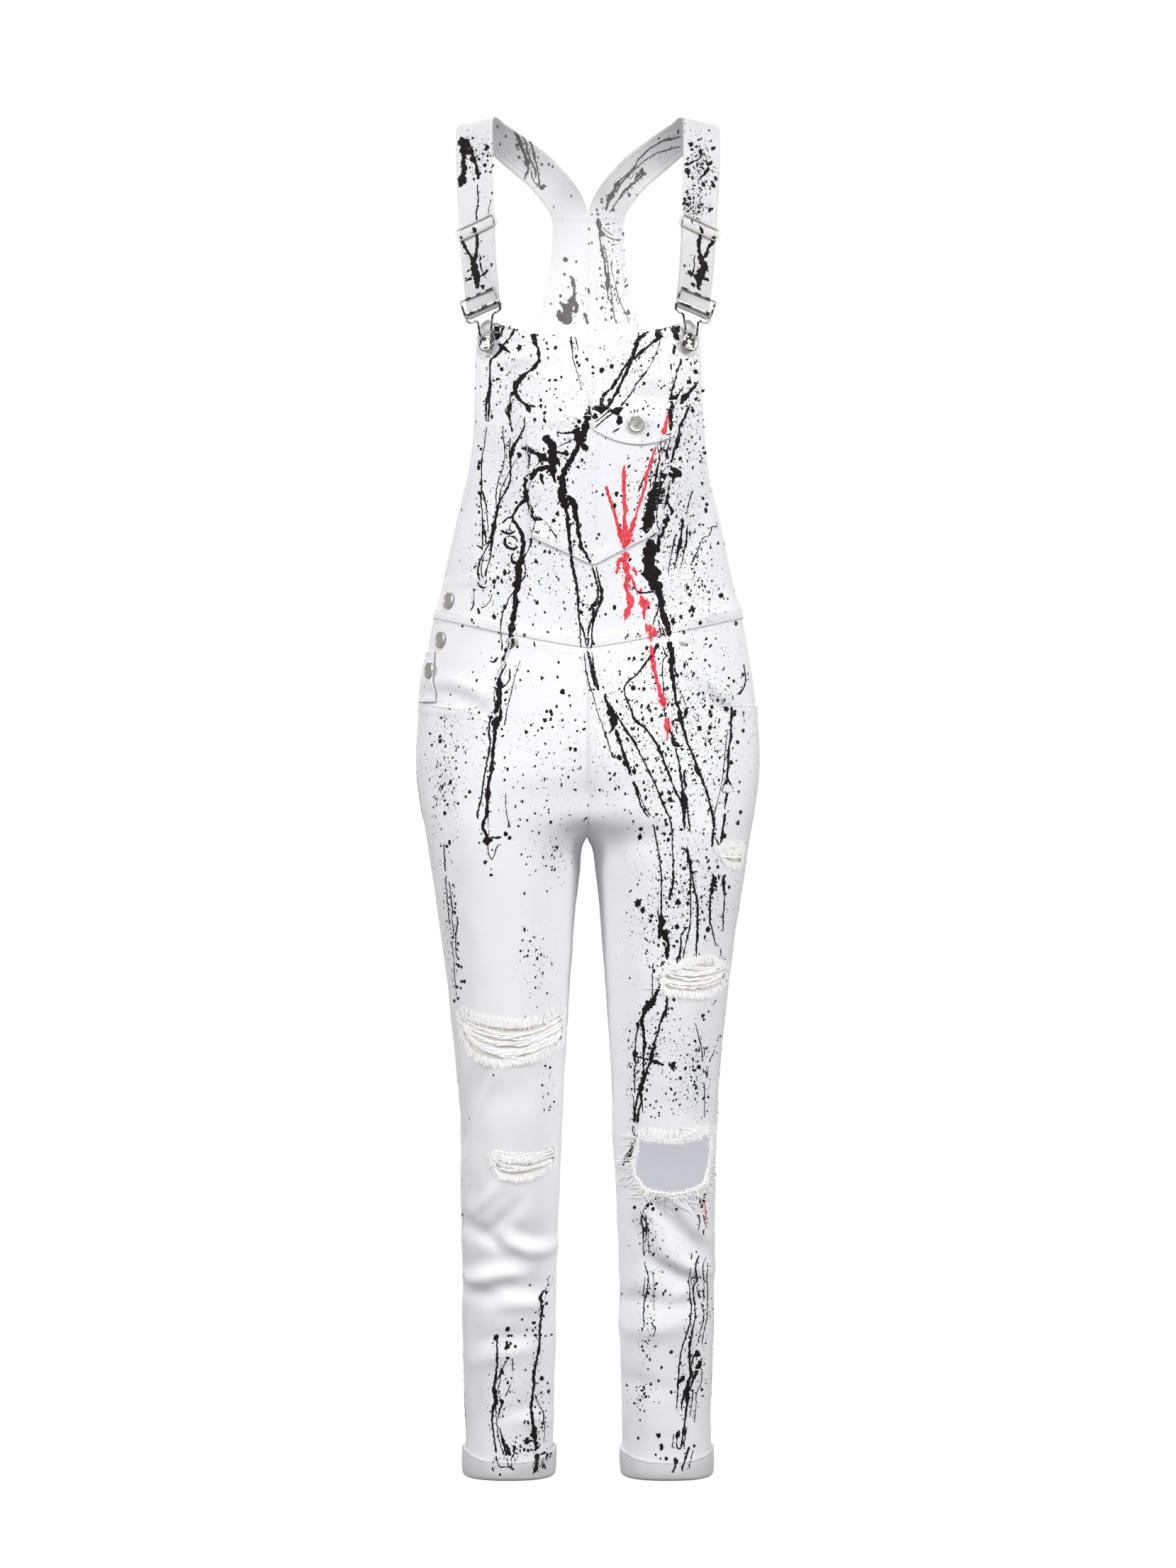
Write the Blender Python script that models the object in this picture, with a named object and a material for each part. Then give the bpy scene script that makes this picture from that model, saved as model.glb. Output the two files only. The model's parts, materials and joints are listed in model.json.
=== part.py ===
"""Denim overalls, filled out as when worn: cut and sewn cloth shells with their metal fittings.

Metres, +Z up. The wearer faces -Y, and the wearer's left is +X. The origin lies midway between
the two straps where they pass over the shoulders. Every cloth piece is a thin closed wall laid
on one worn form, which is a stack of rounded rings worked out from the SECTIONS table.
"""

import math
from collections import namedtuple

import bmesh
import bpy
from mathutils import Matrix, Vector

MM = 0.001
CLOTH = 1.4 * MM  # wall of one layer of denim
SEAM = 0.3 * MM  # gap kept between neighbouring pieces
LAYER = CLOTH + 0.6 * MM  # rise of each cloth piece that lies on another
RIGHT, LEFT = -1, 1  # the wearer's sides, as the sign of X
FRONT, OUTSIDE, BACK = 0.0, 90.0, 180.0  # degrees round a ring

# The worn form, in millimetres. Each row is half a body or one leg at a height. inner is how far
# its ring runs past the centre plane (negative) or stays outside it (a leg of its own).
Section = namedtuple("Section", "height outer inner front back")
SECTIONS = [
    Section(-60, 146, -146, -100, 97),
    Section(-130, 146, -146, -112, 101),
    Section(-220, 148, -148, -121, 104),
    Section(-300, 150, -150, -125, 103),
    Section(-370, 145, -145, -120, 96),
    Section(-430, 144, -144, -113, 90),
    Section(-482, 149, -149, -108, 89),
    Section(-525, 161, -161, -105, 93),
    Section(-557, 167, -167, -105, 98),
    Section(-600, 174, -170, -107, 110),
    Section(-650, 178, -150, -108, 121),
    Section(-685, 178, -100, -107, 122),
    Section(-715, 175, -45, -103, 117),
    Section(-745, 169, 0, -100, 107),
    Section(-790, 162, 9, -96, 92),
    Section(-850, 153, 15, -90, 80),
    Section(-920, 144, 20, -84, 70),
    Section(-1000, 136, 25, -75, 57),
    Section(-1060, 133, 27, -69, 50),
    Section(-1120, 132, 30, -62, 52),
    Section(-1200, 131, 33, -54, 57),
    Section(-1280, 130, 34, -47, 58),
    Section(-1345, 128, 36, -42, 55),
    Section(-1424, 127, 38, -39, 53),
]
SQUARENESS = 2.4  # exponent of the rings, where 2 is an ellipse

# Largest folds of the cloth, in millimetres. tilt is the fold's slope in degrees, and a negative
# rise is a trough.
Fold = namedtuple("Fold", "side face across height tilt length width rise")
FOLDS = [
    Fold(RIGHT, FRONT, 92, -345, -82, 200, 26, -7),
    Fold(RIGHT, FRONT, 118, -1035, -72, 90, 16, -4),
    Fold(RIGHT, FRONT, 66, -1165, 14, 62, 15, -5),
    Fold(RIGHT, FRONT, 98, -1192, -12, 66, 15, -5),
    Fold(RIGHT, FRONT, 72, -1215, 6, 54, 14, -4),
    Fold(LEFT, FRONT, 96, -1150, -52, 74, 16, -5),
    Fold(LEFT, FRONT, 84, -1200, -28, 76, 16, -5),
    Fold(LEFT, FRONT, 86, -1228, 2, 66, 14, -4),
    Fold(RIGHT, BACK, 80, -1045, 8, 90, 17, -6),
    Fold(LEFT, BACK, 82, -1052, -10, 86, 17, -6),
    Fold(RIGHT, BACK, 82, -1092, -8, 70, 15, -4),
    Fold(LEFT, BACK, 80, -1098, 9, 74, 15, -4),
    Fold(RIGHT, BACK, 74, -748, -10, 110, 20, -5),
    Fold(LEFT, BACK, 74, -752, 10, 110, 20, -5),
]

# Landmarks of the cut, in millimetres.
BIB_TOP_CENTRE, BIB_TOP_CORNER = -242, -219
SIDE_TOP = -482  # where bib and back meet at the side
WAIST_FRONT, WAIST_SIDE, WAIST_BACK = -557, -524, -516
HIP, FORK, HEM = -640, -745, -1410
PLACKET_TOP, PLACKET_FOOT = -559, -611
HOLE_TOP, HOLE_FOOT = -1058, -1117  # the open knee
CUFF_FOOT, CUFF_DIP = -1417, 10  # the turn-up's lower edge, and how far its top dips in front

# The scooped pocket mouths. start is the angle where each leaves the waist seam, lowest the
# height it drops to, bend how quickly it gets there, and rise how far it climbs to the side seam.
# columns are shares across a front panel, closest where its edge is steep or cut.
Scoop = namedtuple("Scoop", "start lowest bend rise columns")
SCOOPS = {
    RIGHT: Scoop(23.6, -619, 0.28, 9, (0, 0.14, 0.262, 0.295, 0.34, 0.41, 0.53, 0.68, 0.84, 1)),
    LEFT: Scoop(34.8, -615, 0.42, 0, (0, 0.15, 0.3117, 0.387, 0.43, 0.48, 0.55, 0.67, 0.8467, 1)),
}

# Half widths of the panels above the waist, in millimetres.
Edge = namedtuple("Edge", "height reach")
BIB_EDGE = [
    Edge(-219, 108),
    Edge(-245, 114),
    Edge(-286, 116),
    Edge(-329, 118),
    Edge(-371, 123),
    Edge(-413, 133),
    Edge(-455, 142),
    Edge(-482, 148.5),
]
BACK_EDGE = [
    Edge(-90, 37),
    Edge(-131, 38),
    Edge(-161, 42.5),
    Edge(-188, 50),
    Edge(-213, 57.5),
    Edge(-300, 81),
    Edge(-370, 102),
    Edge(-430, 126),
    Edge(-482, 148.5),
]

# The strap's middle line on the wearer's left, in millimetres, with the way its face looks.
Station = namedtuple("Station", "x y z look_x look_y look_z")
STRAP = [
    Station(105.5, -114, -221, 0.42, -1, 0),
    Station(108.5, -113, -196, 0.4, -1, 0),
    Station(112, -109, -155, 0.34, -1, 0.1),
    Station(114, -98, -112, 0.28, -1, 0.3),
    Station(116, -79, -70, 0.24, -1, 0.8),
    Station(117, -54, -35, 0.23, -1, 1.4),
    Station(117, -22, -11, 0.23, -0.4, 1),
    Station(113, 13, -4, 0.22, 0.1, 1),
    Station(104, 43, -8, 0.15, 0.5, 1),
    Station(92, 64, -15, 0.05, 1, 0.9),
    Station(74, 82.5, -27, 0, 1, 0.5),
    Station(52, 94.5, -43, 0, 1, 0.25),
    Station(34, 100.5, -62, 0, 1, 0.08),
    Station(22.5, 102.7, -80, 0, 1, 0),
    Station(18.6, 103.6, -97, 0, 1, 0),
    Station(18.6, 104.6, -114, 0, 1, 0),
]
STRAP_WIDTH, STRAP_FOOT_WIDTH = 37, 34.5  # it draws in towards the buckle
SHOULDER_SEAM = 160  # from the strap's foot to the seam between its two cuts
SLIDER_AT, BAR_AT = 93, 7  # from the strap's foot to the slider's bar and the buckle's bar
SLIDER_SKEW, BUCKLE_SKEW = -18, -12  # their slope across the strap, in degrees
BUCKLE_WIRE, SLIDER_WIRE = 1.1, 0.95  # radii
SLIDER_HUMP = 1.5  # how far the slider's bar lifts the strap

# Buttons on the wearer's right hip, as place on the form in millimetres and degrees. lift is how
# far each stands off the form: one is on the bib, one on the hip facing and one on the placket.
Button = namedtuple("Button", "height angle lift")
SIDE_BUTTONS = [Button(-507, 64.0, 0.3), Button(-547, 65.5, -2.3), Button(-579, 68.3, 1.5)]
PLACKET_LIFT = 1.2  # of the placket's outer face, whose flat cells lie over those of the panel
BUTTON_RADIUS, STRAP_BUTTON_RADIUS, RIVET_RADIUS = 8.9, 9.6, 4.6
FLAP_BUTTON_X, FLAP_BUTTON_HEIGHT = 48.5, -330
STRAP_BUTTON_X, STRAP_BUTTON_HEIGHT = 101, -246

# Rivets at the inner ends of the pocket mouths, by angle and by drop below the waist seam.
Rivet = namedtuple("Rivet", "side angle drop")
RIVETS = [Rivet(RIGHT, 23.0, 6.5), Rivet(LEFT, 31.6, 11)]


def clear_scene():
    for old in list(bpy.data.objects):
        bpy.data.objects.remove(old, do_unlink=True)


def material(name, colour, roughness, metallic=0.0):
    made = bpy.data.materials.new(name)
    made.use_nodes = True
    shader = made.node_tree.nodes["Principled BSDF"]
    shader.inputs["Base Color"].default_value = (*colour, 1)
    shader.inputs["Roughness"].default_value = roughness
    shader.inputs["Metallic"].default_value = metallic
    return made


def smooth_value(rows, key, value, at):
    """Reads column value of rows at key = at, along a smooth curve through the rows."""
    keys = [getattr(row, key) for row in rows]
    values = [getattr(row, value) for row in rows]
    if keys[0] > keys[-1]:
        keys, values = keys[::-1], values[::-1]
    at = min(max(at, keys[0]), keys[-1])
    i = max(k for k in range(len(keys) - 1) if keys[k] <= at)

    def slope(k):
        a, b = max(k - 1, 0), min(k + 1, len(keys) - 1)
        return (values[b] - values[a]) / (keys[b] - keys[a])

    span = keys[i + 1] - keys[i]
    t = (at - keys[i]) / span
    start = (2 * t**3 - 3 * t**2 + 1) * values[i] + (t**3 - 2 * t**2 + t) * span * slope(i)
    end = (3 * t**2 - 2 * t**3) * values[i + 1] + (t**3 - t**2) * span * slope(i + 1)
    return start + end


def rounded(share):
    """The ring's rule: an ellipse's sine or cosine made squarer."""
    return math.copysign(abs(share) ** (2 / SQUARENESS), share)


def section_at(height):
    columns = ("outer", "inner", "front", "back")
    return Section(height, *(smooth_value(SECTIONS, "height", c, height) for c in columns))


def fold_rise(side, face, across, height):
    """How far the folds lift the cloth at one place, in millimetres."""
    total = 0.0
    for fold in FOLDS:
        if (fold.side, fold.face) != (side, face):
            continue
        turn = math.radians(fold.tilt)
        dx, dz = across - fold.across, height - fold.height
        along = dx * math.cos(turn) + dz * math.sin(turn)
        off = dz * math.cos(turn) - dx * math.sin(turn)
        reach = (2 * along / fold.length) ** 4 + (off / fold.width) ** 2
        total += fold.rise * math.exp(-reach)
    return total


def bare_form(side, angle, height):
    ring = section_at(height)
    centre, half = (ring.outer + ring.inner) / 2, (ring.outer - ring.inner) / 2
    middle, depth = (ring.front + ring.back) / 2, (ring.back - ring.front) / 2
    turn = math.radians(angle)
    across = centre + half * rounded(math.sin(turn))
    return Vector((side * across, middle - depth * rounded(math.cos(turn)), height))


def form(side, angle, height):
    """A place on the worn form and the way its cloth faces. Heights are in millimetres."""
    place = bare_form(side, angle, height)
    round_it = bare_form(side, angle + 0.5, height) - bare_form(side, angle - 0.5, height)
    up = bare_form(side, angle, height + 1) - bare_form(side, angle, height - 1)
    facing = round_it.cross(up).normalized() * side
    face = FRONT if math.cos(math.radians(angle)) > 0 else BACK
    return place + facing * fold_rise(side, face, abs(place.x), height), facing


def centre_angle(height, face):
    """Where the ring meets the centre plane or, on a leg of its own, its innermost place."""
    ring = section_at(height)
    centre, half = (ring.outer + ring.inner) / 2, (ring.outer - ring.inner) / 2
    share = max(-1.0, -centre / half)
    inner = math.degrees(math.asin(math.copysign(abs(share) ** (SQUARENESS / 2), share)))
    return inner if face == FRONT else BACK - inner


def angle_at(across, height, face=FRONT):
    """The angle at which the ring of this height is so far from the centre plane."""
    ring = section_at(height)
    centre, half = (ring.outer + ring.inner) / 2, (ring.outer - ring.inner) / 2
    share = min(1.0, max(-1.0, (across - centre) / half))
    angle = math.degrees(math.asin(math.copysign(abs(share) ** (SQUARENESS / 2), share)))
    return angle if face == FRONT else BACK - angle


def add_object(name, mesh_data, finish):
    """Turns a bmesh into a closed object of one material, facing outwards."""
    bmesh.ops.recalc_face_normals(mesh_data, faces=mesh_data.faces[:])
    mesh = bpy.data.meshes.new(name)
    mesh_data.to_mesh(mesh)
    mesh_data.free()
    mesh.materials.append(finish)
    made = bpy.data.objects.new(name, mesh)
    bpy.context.scene.collection.objects.link(made)
    mesh.shade_smooth()
    mesh.set_sharp_from_angle(angle=math.radians(40))
    return made


def drawn_in(points):
    """Pulls the rim of a grid of points in by half a seam, so that neighbours stay apart."""
    half = SEAM / MM / 2

    def towards(a, b):
        return a + (b - a).normalized() * half

    grid = [list(row) for row in points]
    for row in grid:
        row[0], row[-1] = towards(row[0], row[1]), towards(row[-1], row[-2])
    grid[0] = [towards(a, b) for a, b in zip(grid[0], grid[1])]
    grid[-1] = [towards(a, b) for a, b in zip(grid[-1], grid[-2])]
    return grid


def split_cell(mesh, outer, inner):
    """Closes one cell of both skins, cutting each along the same, shorter diagonal."""
    a, b, c, d = outer
    across = (a.co - c.co).length > (b.co - d.co).length
    for skin, order in ((outer, 1), (inner, -1)):
        a, b, c, d = skin
        for half in ((a, b, d), (b, c, d)) if across else ((a, b, c), (a, c, d)):
            mesh.faces.new(half[::order])


def cloth_wall(name, places, finish, lift=0.0, missing=()):
    """A thin closed wall over a grid of (place, facing) in millimetres.

    Its outer face is lift above the form, and missing lists the grid cells that are left open.
    """
    skins = []
    for depth in (lift, lift - CLOTH / MM):
        points = [[place + facing * depth for place, facing in row] for row in places]
        skins.append(drawn_in(points))
    mesh = bmesh.new()
    outer, inner = ([[mesh.verts.new(p * MM) for p in row] for row in skin] for skin in skins)
    rows, columns = len(outer), len(outer[0])
    cells = [(i, j) for i in range(rows - 1) for j in range(columns - 1)]
    uses = {}
    for i, j in cells:
        if (i, j) in missing:
            continue
        corners = [(i, j), (i, j + 1), (i + 1, j + 1), (i + 1, j)]
        split_cell(mesh, *([skin[r][c] for r, c in corners] for skin in (outer, inner)))
        for start, end in zip(corners, corners[1:] + corners[:1]):
            uses.setdefault(frozenset((start, end)), []).append((start, end))
    for found in uses.values():
        if len(found) == 1:
            (a, b), (c, d) = found[0]
            mesh.faces.new([outer[a][b], inner[a][b], inner[c][d], outer[c][d]])
    bmesh.ops.delete(mesh, geom=[v for v in mesh.verts if not v.link_faces], context="VERTS")
    return add_object(name, mesh, finish)


def shares(count):
    return [i / count for i in range(count + 1)]


def between(a, b, share):
    return a + (b - a) * share


def side_name(side):
    return "left" if side == LEFT else "right"


# ---------------------------------------------------------------- bib and back, above the waist


def bib_top(share):
    """Height of the bib's top edge, which dips in a shallow curve to the centre seam."""
    return between(BIB_TOP_CENTRE, BIB_TOP_CORNER, share**1.6)


def waist_height(angle):
    """Height of the waist seam, a shallow V in front and a low rise behind."""
    turn = math.radians(angle)
    middle = WAIST_FRONT if math.cos(turn) > 0 else WAIST_BACK
    return between(middle, WAIST_SIDE, abs(math.sin(turn)))


BIB_ABOVE_SIDE, BACK_ABOVE_SIDE = 0.72, 0.86  # share of the rows above the side seams' tops


def make_bib(side, finish):
    grid = []
    for v in shares(13):
        row = []
        for u in shares(6):
            if v < BIB_ABOVE_SIDE:
                level = between(bib_top(u), SIDE_TOP, v / BIB_ABOVE_SIDE)
                angle = u * angle_at(smooth_value(BIB_EDGE, "height", "reach", level), level)
            else:
                angle = OUTSIDE * u
                share = (v - BIB_ABOVE_SIDE) / (1 - BIB_ABOVE_SIDE)
                level = between(SIDE_TOP, waist_height(angle), share)
            row.append(form(side, angle, level))
        grid.append(row)
    cloth_wall(f"bib_{side_name(side)}", grid, finish)


def make_back(side, finish):
    grid = []
    for v in shares(14):
        row = []
        for u in shares(5):
            if v < BACK_ABOVE_SIDE:
                level = between(BACK_EDGE[0].height, SIDE_TOP, v / BACK_ABOVE_SIDE)
                reach = smooth_value(BACK_EDGE, "height", "reach", level)
                angle = between(BACK, angle_at(reach, level, BACK), u)
            else:
                angle = between(BACK, OUTSIDE, u)
                share = (v - BACK_ABOVE_SIDE) / (1 - BACK_ABOVE_SIDE)
                level = between(SIDE_TOP, waist_height(angle), share)
            row.append(form(side, angle, level))
        grid.append(row)
    cloth_wall(f"back_{side_name(side)}", grid, finish)


# Corners of the bib pocket and its flap, as distance to the wearer's left and height.
Corner = namedtuple("Corner", "x height")
POCKET_TOP = (Corner(-63.5, -322), Corner(86.5, -322))
POCKET_FOOT = (Corner(-57, -444), Corner(5, -473), Corner(73.5, -438))
FLAP_TOP = (Corner(3.5, -304), Corner(88, -306))
FLAP_FOOT = (Corner(5.5, -336), Corner(51, -350.5), Corner(87, -340.5))


def on_front(across, height):
    """A place on the front of the form, from its distance to the centre plane."""
    side = LEFT if across >= 0 else RIGHT
    return form(side, angle_at(abs(across), height), height)


def hung_patch(top, foot, bow, rows, columns):
    """Places between a patch's straight top edge and its foot, through the foot's three corners.

    bow is the exponent of the two halves of the foot: 1 is a point, and more is a curve.
    """
    left, middle, right = foot
    bend = (middle.x - left.x) / (right.x - left.x)
    grid = []
    for v in shares(rows):
        row = []
        for u in shares(columns):
            half = min(1.0, u / bend) if u < bend else (1 - u) / (1 - bend)
            end = left if u < bend else right
            x = between(between(top[0].x, top[1].x, u), between(left.x, right.x, u), v)
            low = between(end.height, middle.height, 1 - (1 - half) ** bow)
            row.append(on_front(x, between(between(top[0].height, top[1].height, u), low, v)))
        grid.append(row)
    return grid


def make_bib_pocket(finish):
    grid = hung_patch(POCKET_TOP, POCKET_FOOT, 1, rows=5, columns=9)
    cloth_wall("bib_pocket", grid, finish, lift=LAYER / MM)


def make_flap(finish):
    """The flap that buttons over the wearer's left half of the bib pocket."""
    grid = hung_patch(FLAP_TOP, FLAP_FOOT, 2, rows=3, columns=8)
    cloth_wall("bib_pocket_flap", grid, finish, lift=2 * LAYER / MM)


# ---------------------------------------------------------------------- trousers and turn-ups


def leg_heights():
    """Heights of the rows of the leg panels, which meet every landmark."""
    marks = [(WAIST_FRONT, 4), (HIP, 5), (FORK, 9), (HOLE_TOP, 2), (HOLE_FOOT, 9), (HEM, 0)]
    heights = []
    for (top, count), (foot, _) in zip(marks, marks[1:]):
        heights += [between(top, foot, i / count) for i in range(count)]
    return heights + [HEM]


def scoop_height(side, angle):
    """Height of a front panel's top edge, which leaves the waist seam for the pocket mouth."""
    scoop = SCOOPS[side]
    if angle <= scoop.start:
        return waist_height(angle)
    share = (angle - scoop.start) / (OUTSIDE - scoop.start)
    drop = 1 - max(0.0, 1 - share / scoop.bend) ** 3
    climb = scoop.rise * max(0.0, share - scoop.bend) / (1 - scoop.bend)
    return between(waist_height(scoop.start), scoop.lowest, drop) + climb


def make_front_leg(side, finish):
    heights = leg_heights()
    columns = SCOOPS[side].columns
    grid = []
    for height in heights:
        fade = max(0.0, (height - HIP) / (WAIST_FRONT - HIP))
        row = []
        for u in columns:
            angle = between(centre_angle(height, FRONT), OUTSIDE, u)
            level = height + (scoop_height(side, angle) - WAIST_FRONT) * fade
            row.append(form(side, angle, level))
        grid.append(row)
    missing = set()
    if side == LEFT:
        first, last = heights.index(HOLE_TOP), heights.index(HOLE_FOOT)
        inner, outer = 2, 8
        missing = {(i, j) for i in range(first, last) for j in range(inner, outer)}
        for i, j, up, over in (
            (first, inner, -4, 5),
            (last, inner, 11, 3),
            (last, outer, 15, -5),
            (last, outer - 1, 5, 0),
        ):
            angle = between(centre_angle(heights[i], FRONT), OUTSIDE, columns[j])
            grid[i][j] = form(side, angle + over, heights[i] + up)
    cloth_wall(f"front_leg_{side_name(side)}", grid, finish, missing=missing)


def make_back_leg(side, finish):
    grid = []
    for height in leg_heights():
        fade = max(0.0, (height - HIP) / (WAIST_FRONT - HIP))
        row = []
        for u in shares(7):
            angle = between(OUTSIDE, centre_angle(height, BACK), u)
            level = height + (waist_height(angle) - WAIST_FRONT) * fade
            angle = between(OUTSIDE, centre_angle(level, BACK), u)
            row.append(form(side, angle, level))
        grid.append(row)
    cloth_wall(f"back_leg_{side_name(side)}", grid, finish)


def make_pocket_facing(side, finish):
    """The hip piece that shows inside the pocket mouth and reaches a little under its edge."""
    under = 14
    scoop = SCOOPS[side]
    angles = [OUTSIDE * u for u in scoop.columns if OUTSIDE * u > scoop.start]
    grid = []
    for v in shares(5):
        row = []
        for angle in [scoop.start - 5, *angles]:
            top, foot = waist_height(angle), scoop.lowest - under
            row.append(form(side, angle, between(top, foot, v)))
        grid.append(row)
    cloth_wall(f"pocket_facing_{side_name(side)}", grid, finish, lift=-LAYER / MM)


def make_placket(finish):
    """The buttoned strip down the wearer's right hip, whose front edge slopes forward."""
    grid = []
    for v in shares(5):
        row = []
        for u in shares(4):
            angle = between(between(69, 61, v), 88.5, u)
            row.append(form(RIGHT, angle, between(PLACKET_TOP, PLACKET_FOOT, v)))
        grid.append(row)
    cloth_wall("side_placket", grid, finish, lift=PLACKET_LIFT)


# Cross-section of a turn-up, as distance out from the leg's outer face, height over its foot, and
# the share of the front's dip that this point takes.
CuffPoint = namedtuple("CuffPoint", "out up dip")
CUFF_PROFILE = [
    CuffPoint(0.4, 29, 1),
    CuffPoint(2.8, 29.6, 1),
    CuffPoint(4.3, 19, 0.6),
    CuffPoint(4.5, 8, 0.1),
    CuffPoint(3.2, 1.2, 0),
    CuffPoint(0.4, 0, 0),
    CuffPoint(-2.6, 1.4, 0),
    CuffPoint(-3.4, 5, 0),
    CuffPoint(-2.2, 5.4, 0),
    CuffPoint(-0.6, 3.2, 0),
    CuffPoint(0.5, 8, 0.1),
]


def make_cuff(side, finish):
    """A turned-up hem: cloth folded under the leg's foot and up its outside."""
    turns = [between(-OUTSIDE, OUTSIDE, u) for u in SCOOPS[side].columns[:-1]]
    turns += [between(OUTSIDE, 3 * OUTSIDE, u) for u in shares(7)[:-1]]
    mesh = bmesh.new()
    rings = []
    for angle in turns:
        ring = []
        dip = CUFF_DIP * max(0.0, math.cos(math.radians(angle))) ** 1.5
        for point in CUFF_PROFILE:
            place, facing = form(side, angle, CUFF_FOOT + point.up - point.dip * dip)
            flat = Vector((facing.x, facing.y, 0)).normalized()
            ring.append(mesh.verts.new((place + flat * point.out) * MM))
        rings.append(ring)
    for here, after in zip(rings, rings[1:] + rings[:1]):
        for k in range(len(CUFF_PROFILE)):
            n = (k + 1) % len(CUFF_PROFILE)
            mesh.faces.new([here[k], after[k], after[n], here[n]])
    add_object(f"cuff_{side_name(side)}", mesh, finish)


# ------------------------------------------------------------------------------------ straps


def strap_skew(distance):
    """Slope of the fittings across the strap there, which dies away at the shoulder seam."""
    share = (distance - BAR_AT) / (SLIDER_AT - BAR_AT)
    slope = between(BUCKLE_SKEW, SLIDER_SKEW, min(1.0, max(0.0, share)))
    return slope * min(1.0, max(0.0, (SHOULDER_SEAM - 10 - distance) / 50))


Knot = namedtuple("Knot", ("order", *Station._fields))


class StrapLine:
    """The strap's middle line, read by distance from its foot in millimetres."""

    def __init__(self, side):
        self.side = side
        knots = [Knot(i, *station) for i, station in enumerate(STRAP)]
        self.places = []
        for share in shares(12 * (len(knots) - 1)):
            at = share * (len(knots) - 1)
            values = Station(*(smooth_value(knots, "order", c, at) for c in Station._fields))
            place = Vector((side * values.x, values.y, values.z))
            look = Vector((side * values.look_x, values.look_y, values.look_z)).normalized()
            self.places.append((place, look))
        self.distances = [0.0]
        for (a, _), (b, _) in zip(self.places, self.places[1:]):
            self.distances.append(self.distances[-1] + (b - a).length)
        self.length = self.distances[-1]

    def at(self, distance):
        """Place, face and across of the strap there. across is skewed as its fittings are."""
        distance = min(max(distance, 0.0), self.length - 0.01)
        i = max(k for k, d in enumerate(self.distances[:-1]) if d <= distance)
        t = (distance - self.distances[i]) / (self.distances[i + 1] - self.distances[i])
        (a, look_a), (b, look_b) = self.places[i], self.places[i + 1]
        along = (b - a).normalized()
        across = along.cross(look_a.lerp(look_b, t)).normalized()
        face = across.cross(along).normalized()
        turn = Matrix.Rotation(math.radians(self.side * strap_skew(distance)), 3, face)
        return a.lerp(b, t), face, turn @ across


def ribbon(name, line, route, finish):
    """A strap of cloth along route, a list of (distance, height off the strap's middle line)."""
    middles = []
    for distance, off in route:
        place, face, across = line.at(distance)
        widened = min(1.0, max(0.0, distance - BAR_AT) / (SHOULDER_SEAM - BAR_AT)) ** 2
        width = between(STRAP_FOOT_WIDTH, STRAP_WIDTH, widened)
        stretch = 1 / math.cos(math.radians(strap_skew(distance)))
        middles.append((place + face * off, across, width / 2 * stretch))
    mesh = bmesh.new()
    half = CLOTH / MM / 2
    rings = []
    for i, (middle, across, half_width) in enumerate(middles):
        before, after = middles[max(i - 1, 0)][0], middles[min(i + 1, len(middles) - 1)][0]
        normal = across.cross(after - before).normalized()
        reach = across * half_width
        corners = [-reach - normal * half, reach - normal * half]
        corners += [reach + normal * half, -reach + normal * half]
        rings.append([mesh.verts.new((middle + c) * MM) for c in corners])
    for here, after in zip(rings, rings[1:]):
        outer = [here[3], here[2], after[2], after[3]]
        split_cell(mesh, outer, [here[0], here[1], after[1], after[0]])
        for k, n in ((1, 2), (3, 0)):
            mesh.faces.new([here[k], here[n], after[n], after[k]])
    mesh.faces.new(rings[0][::-1])
    mesh.faces.new(rings[-1])
    add_object(name, mesh, finish)


def loop_radius(wire_radius):
    """Radius of the middle of a cloth layer that is folded round a wire."""
    return wire_radius + (SEAM + CLOTH / 2) / MM


def slider_bar_depth():
    """How far the slider's bar lies behind the strap's middle line, under two layers of cloth."""
    return loop_radius(SLIDER_WIRE) + (CLOTH + SEAM) / MM - SLIDER_HUMP


def front_strap_route():
    """Down from the shoulder seam, behind the buckle's plate, round its bar and up to the slider.

    Each entry is a distance from the strap's foot and a height off its middle line. The end goes
    over the slider's bar from behind.
    """
    route = [(between(SHOULDER_SEAM - 0.2, SLIDER_AT + 9, v), 0.0) for v in shares(5)]
    route += [(SLIDER_AT + 5.5, 0.1), (SLIDER_AT + 2.7, 1.1), (SLIDER_AT, SLIDER_HUMP)]
    route += [(SLIDER_AT - 2.7, 1.1), (SLIDER_AT - 5.5, 0.1), (SLIDER_AT - 9, 0)]
    route += [(between(SLIDER_AT - 9, BAR_AT, v), 0.0) for v in shares(6)[1:]]
    turn = loop_radius(BUCKLE_WIRE)
    for i in range(1, 6):
        a = math.pi * i / 6
        route.append((BAR_AT - turn * math.sin(a), turn * math.cos(a) - turn))
    route += [(BAR_AT, -2 * turn), (BAR_AT + 14, -2 * turn + 0.8), (BAR_AT + 34, -2.8)]
    route += [(SLIDER_AT - 26, -2.8), (SLIDER_AT - 12, -3.2), (SLIDER_AT - 6, -4)]
    turn = loop_radius(SLIDER_WIRE)
    for i in range(7):
        a = math.radians(between(-95, 75, i / 6))
        route.append((SLIDER_AT + turn * math.cos(a), turn * math.sin(a) - slider_bar_depth()))
    return route


def back_strap_route(line):
    return [(between(SHOULDER_SEAM + 0.2, line.length - 0.1, v), 0.0) for v in shares(16)]


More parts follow.
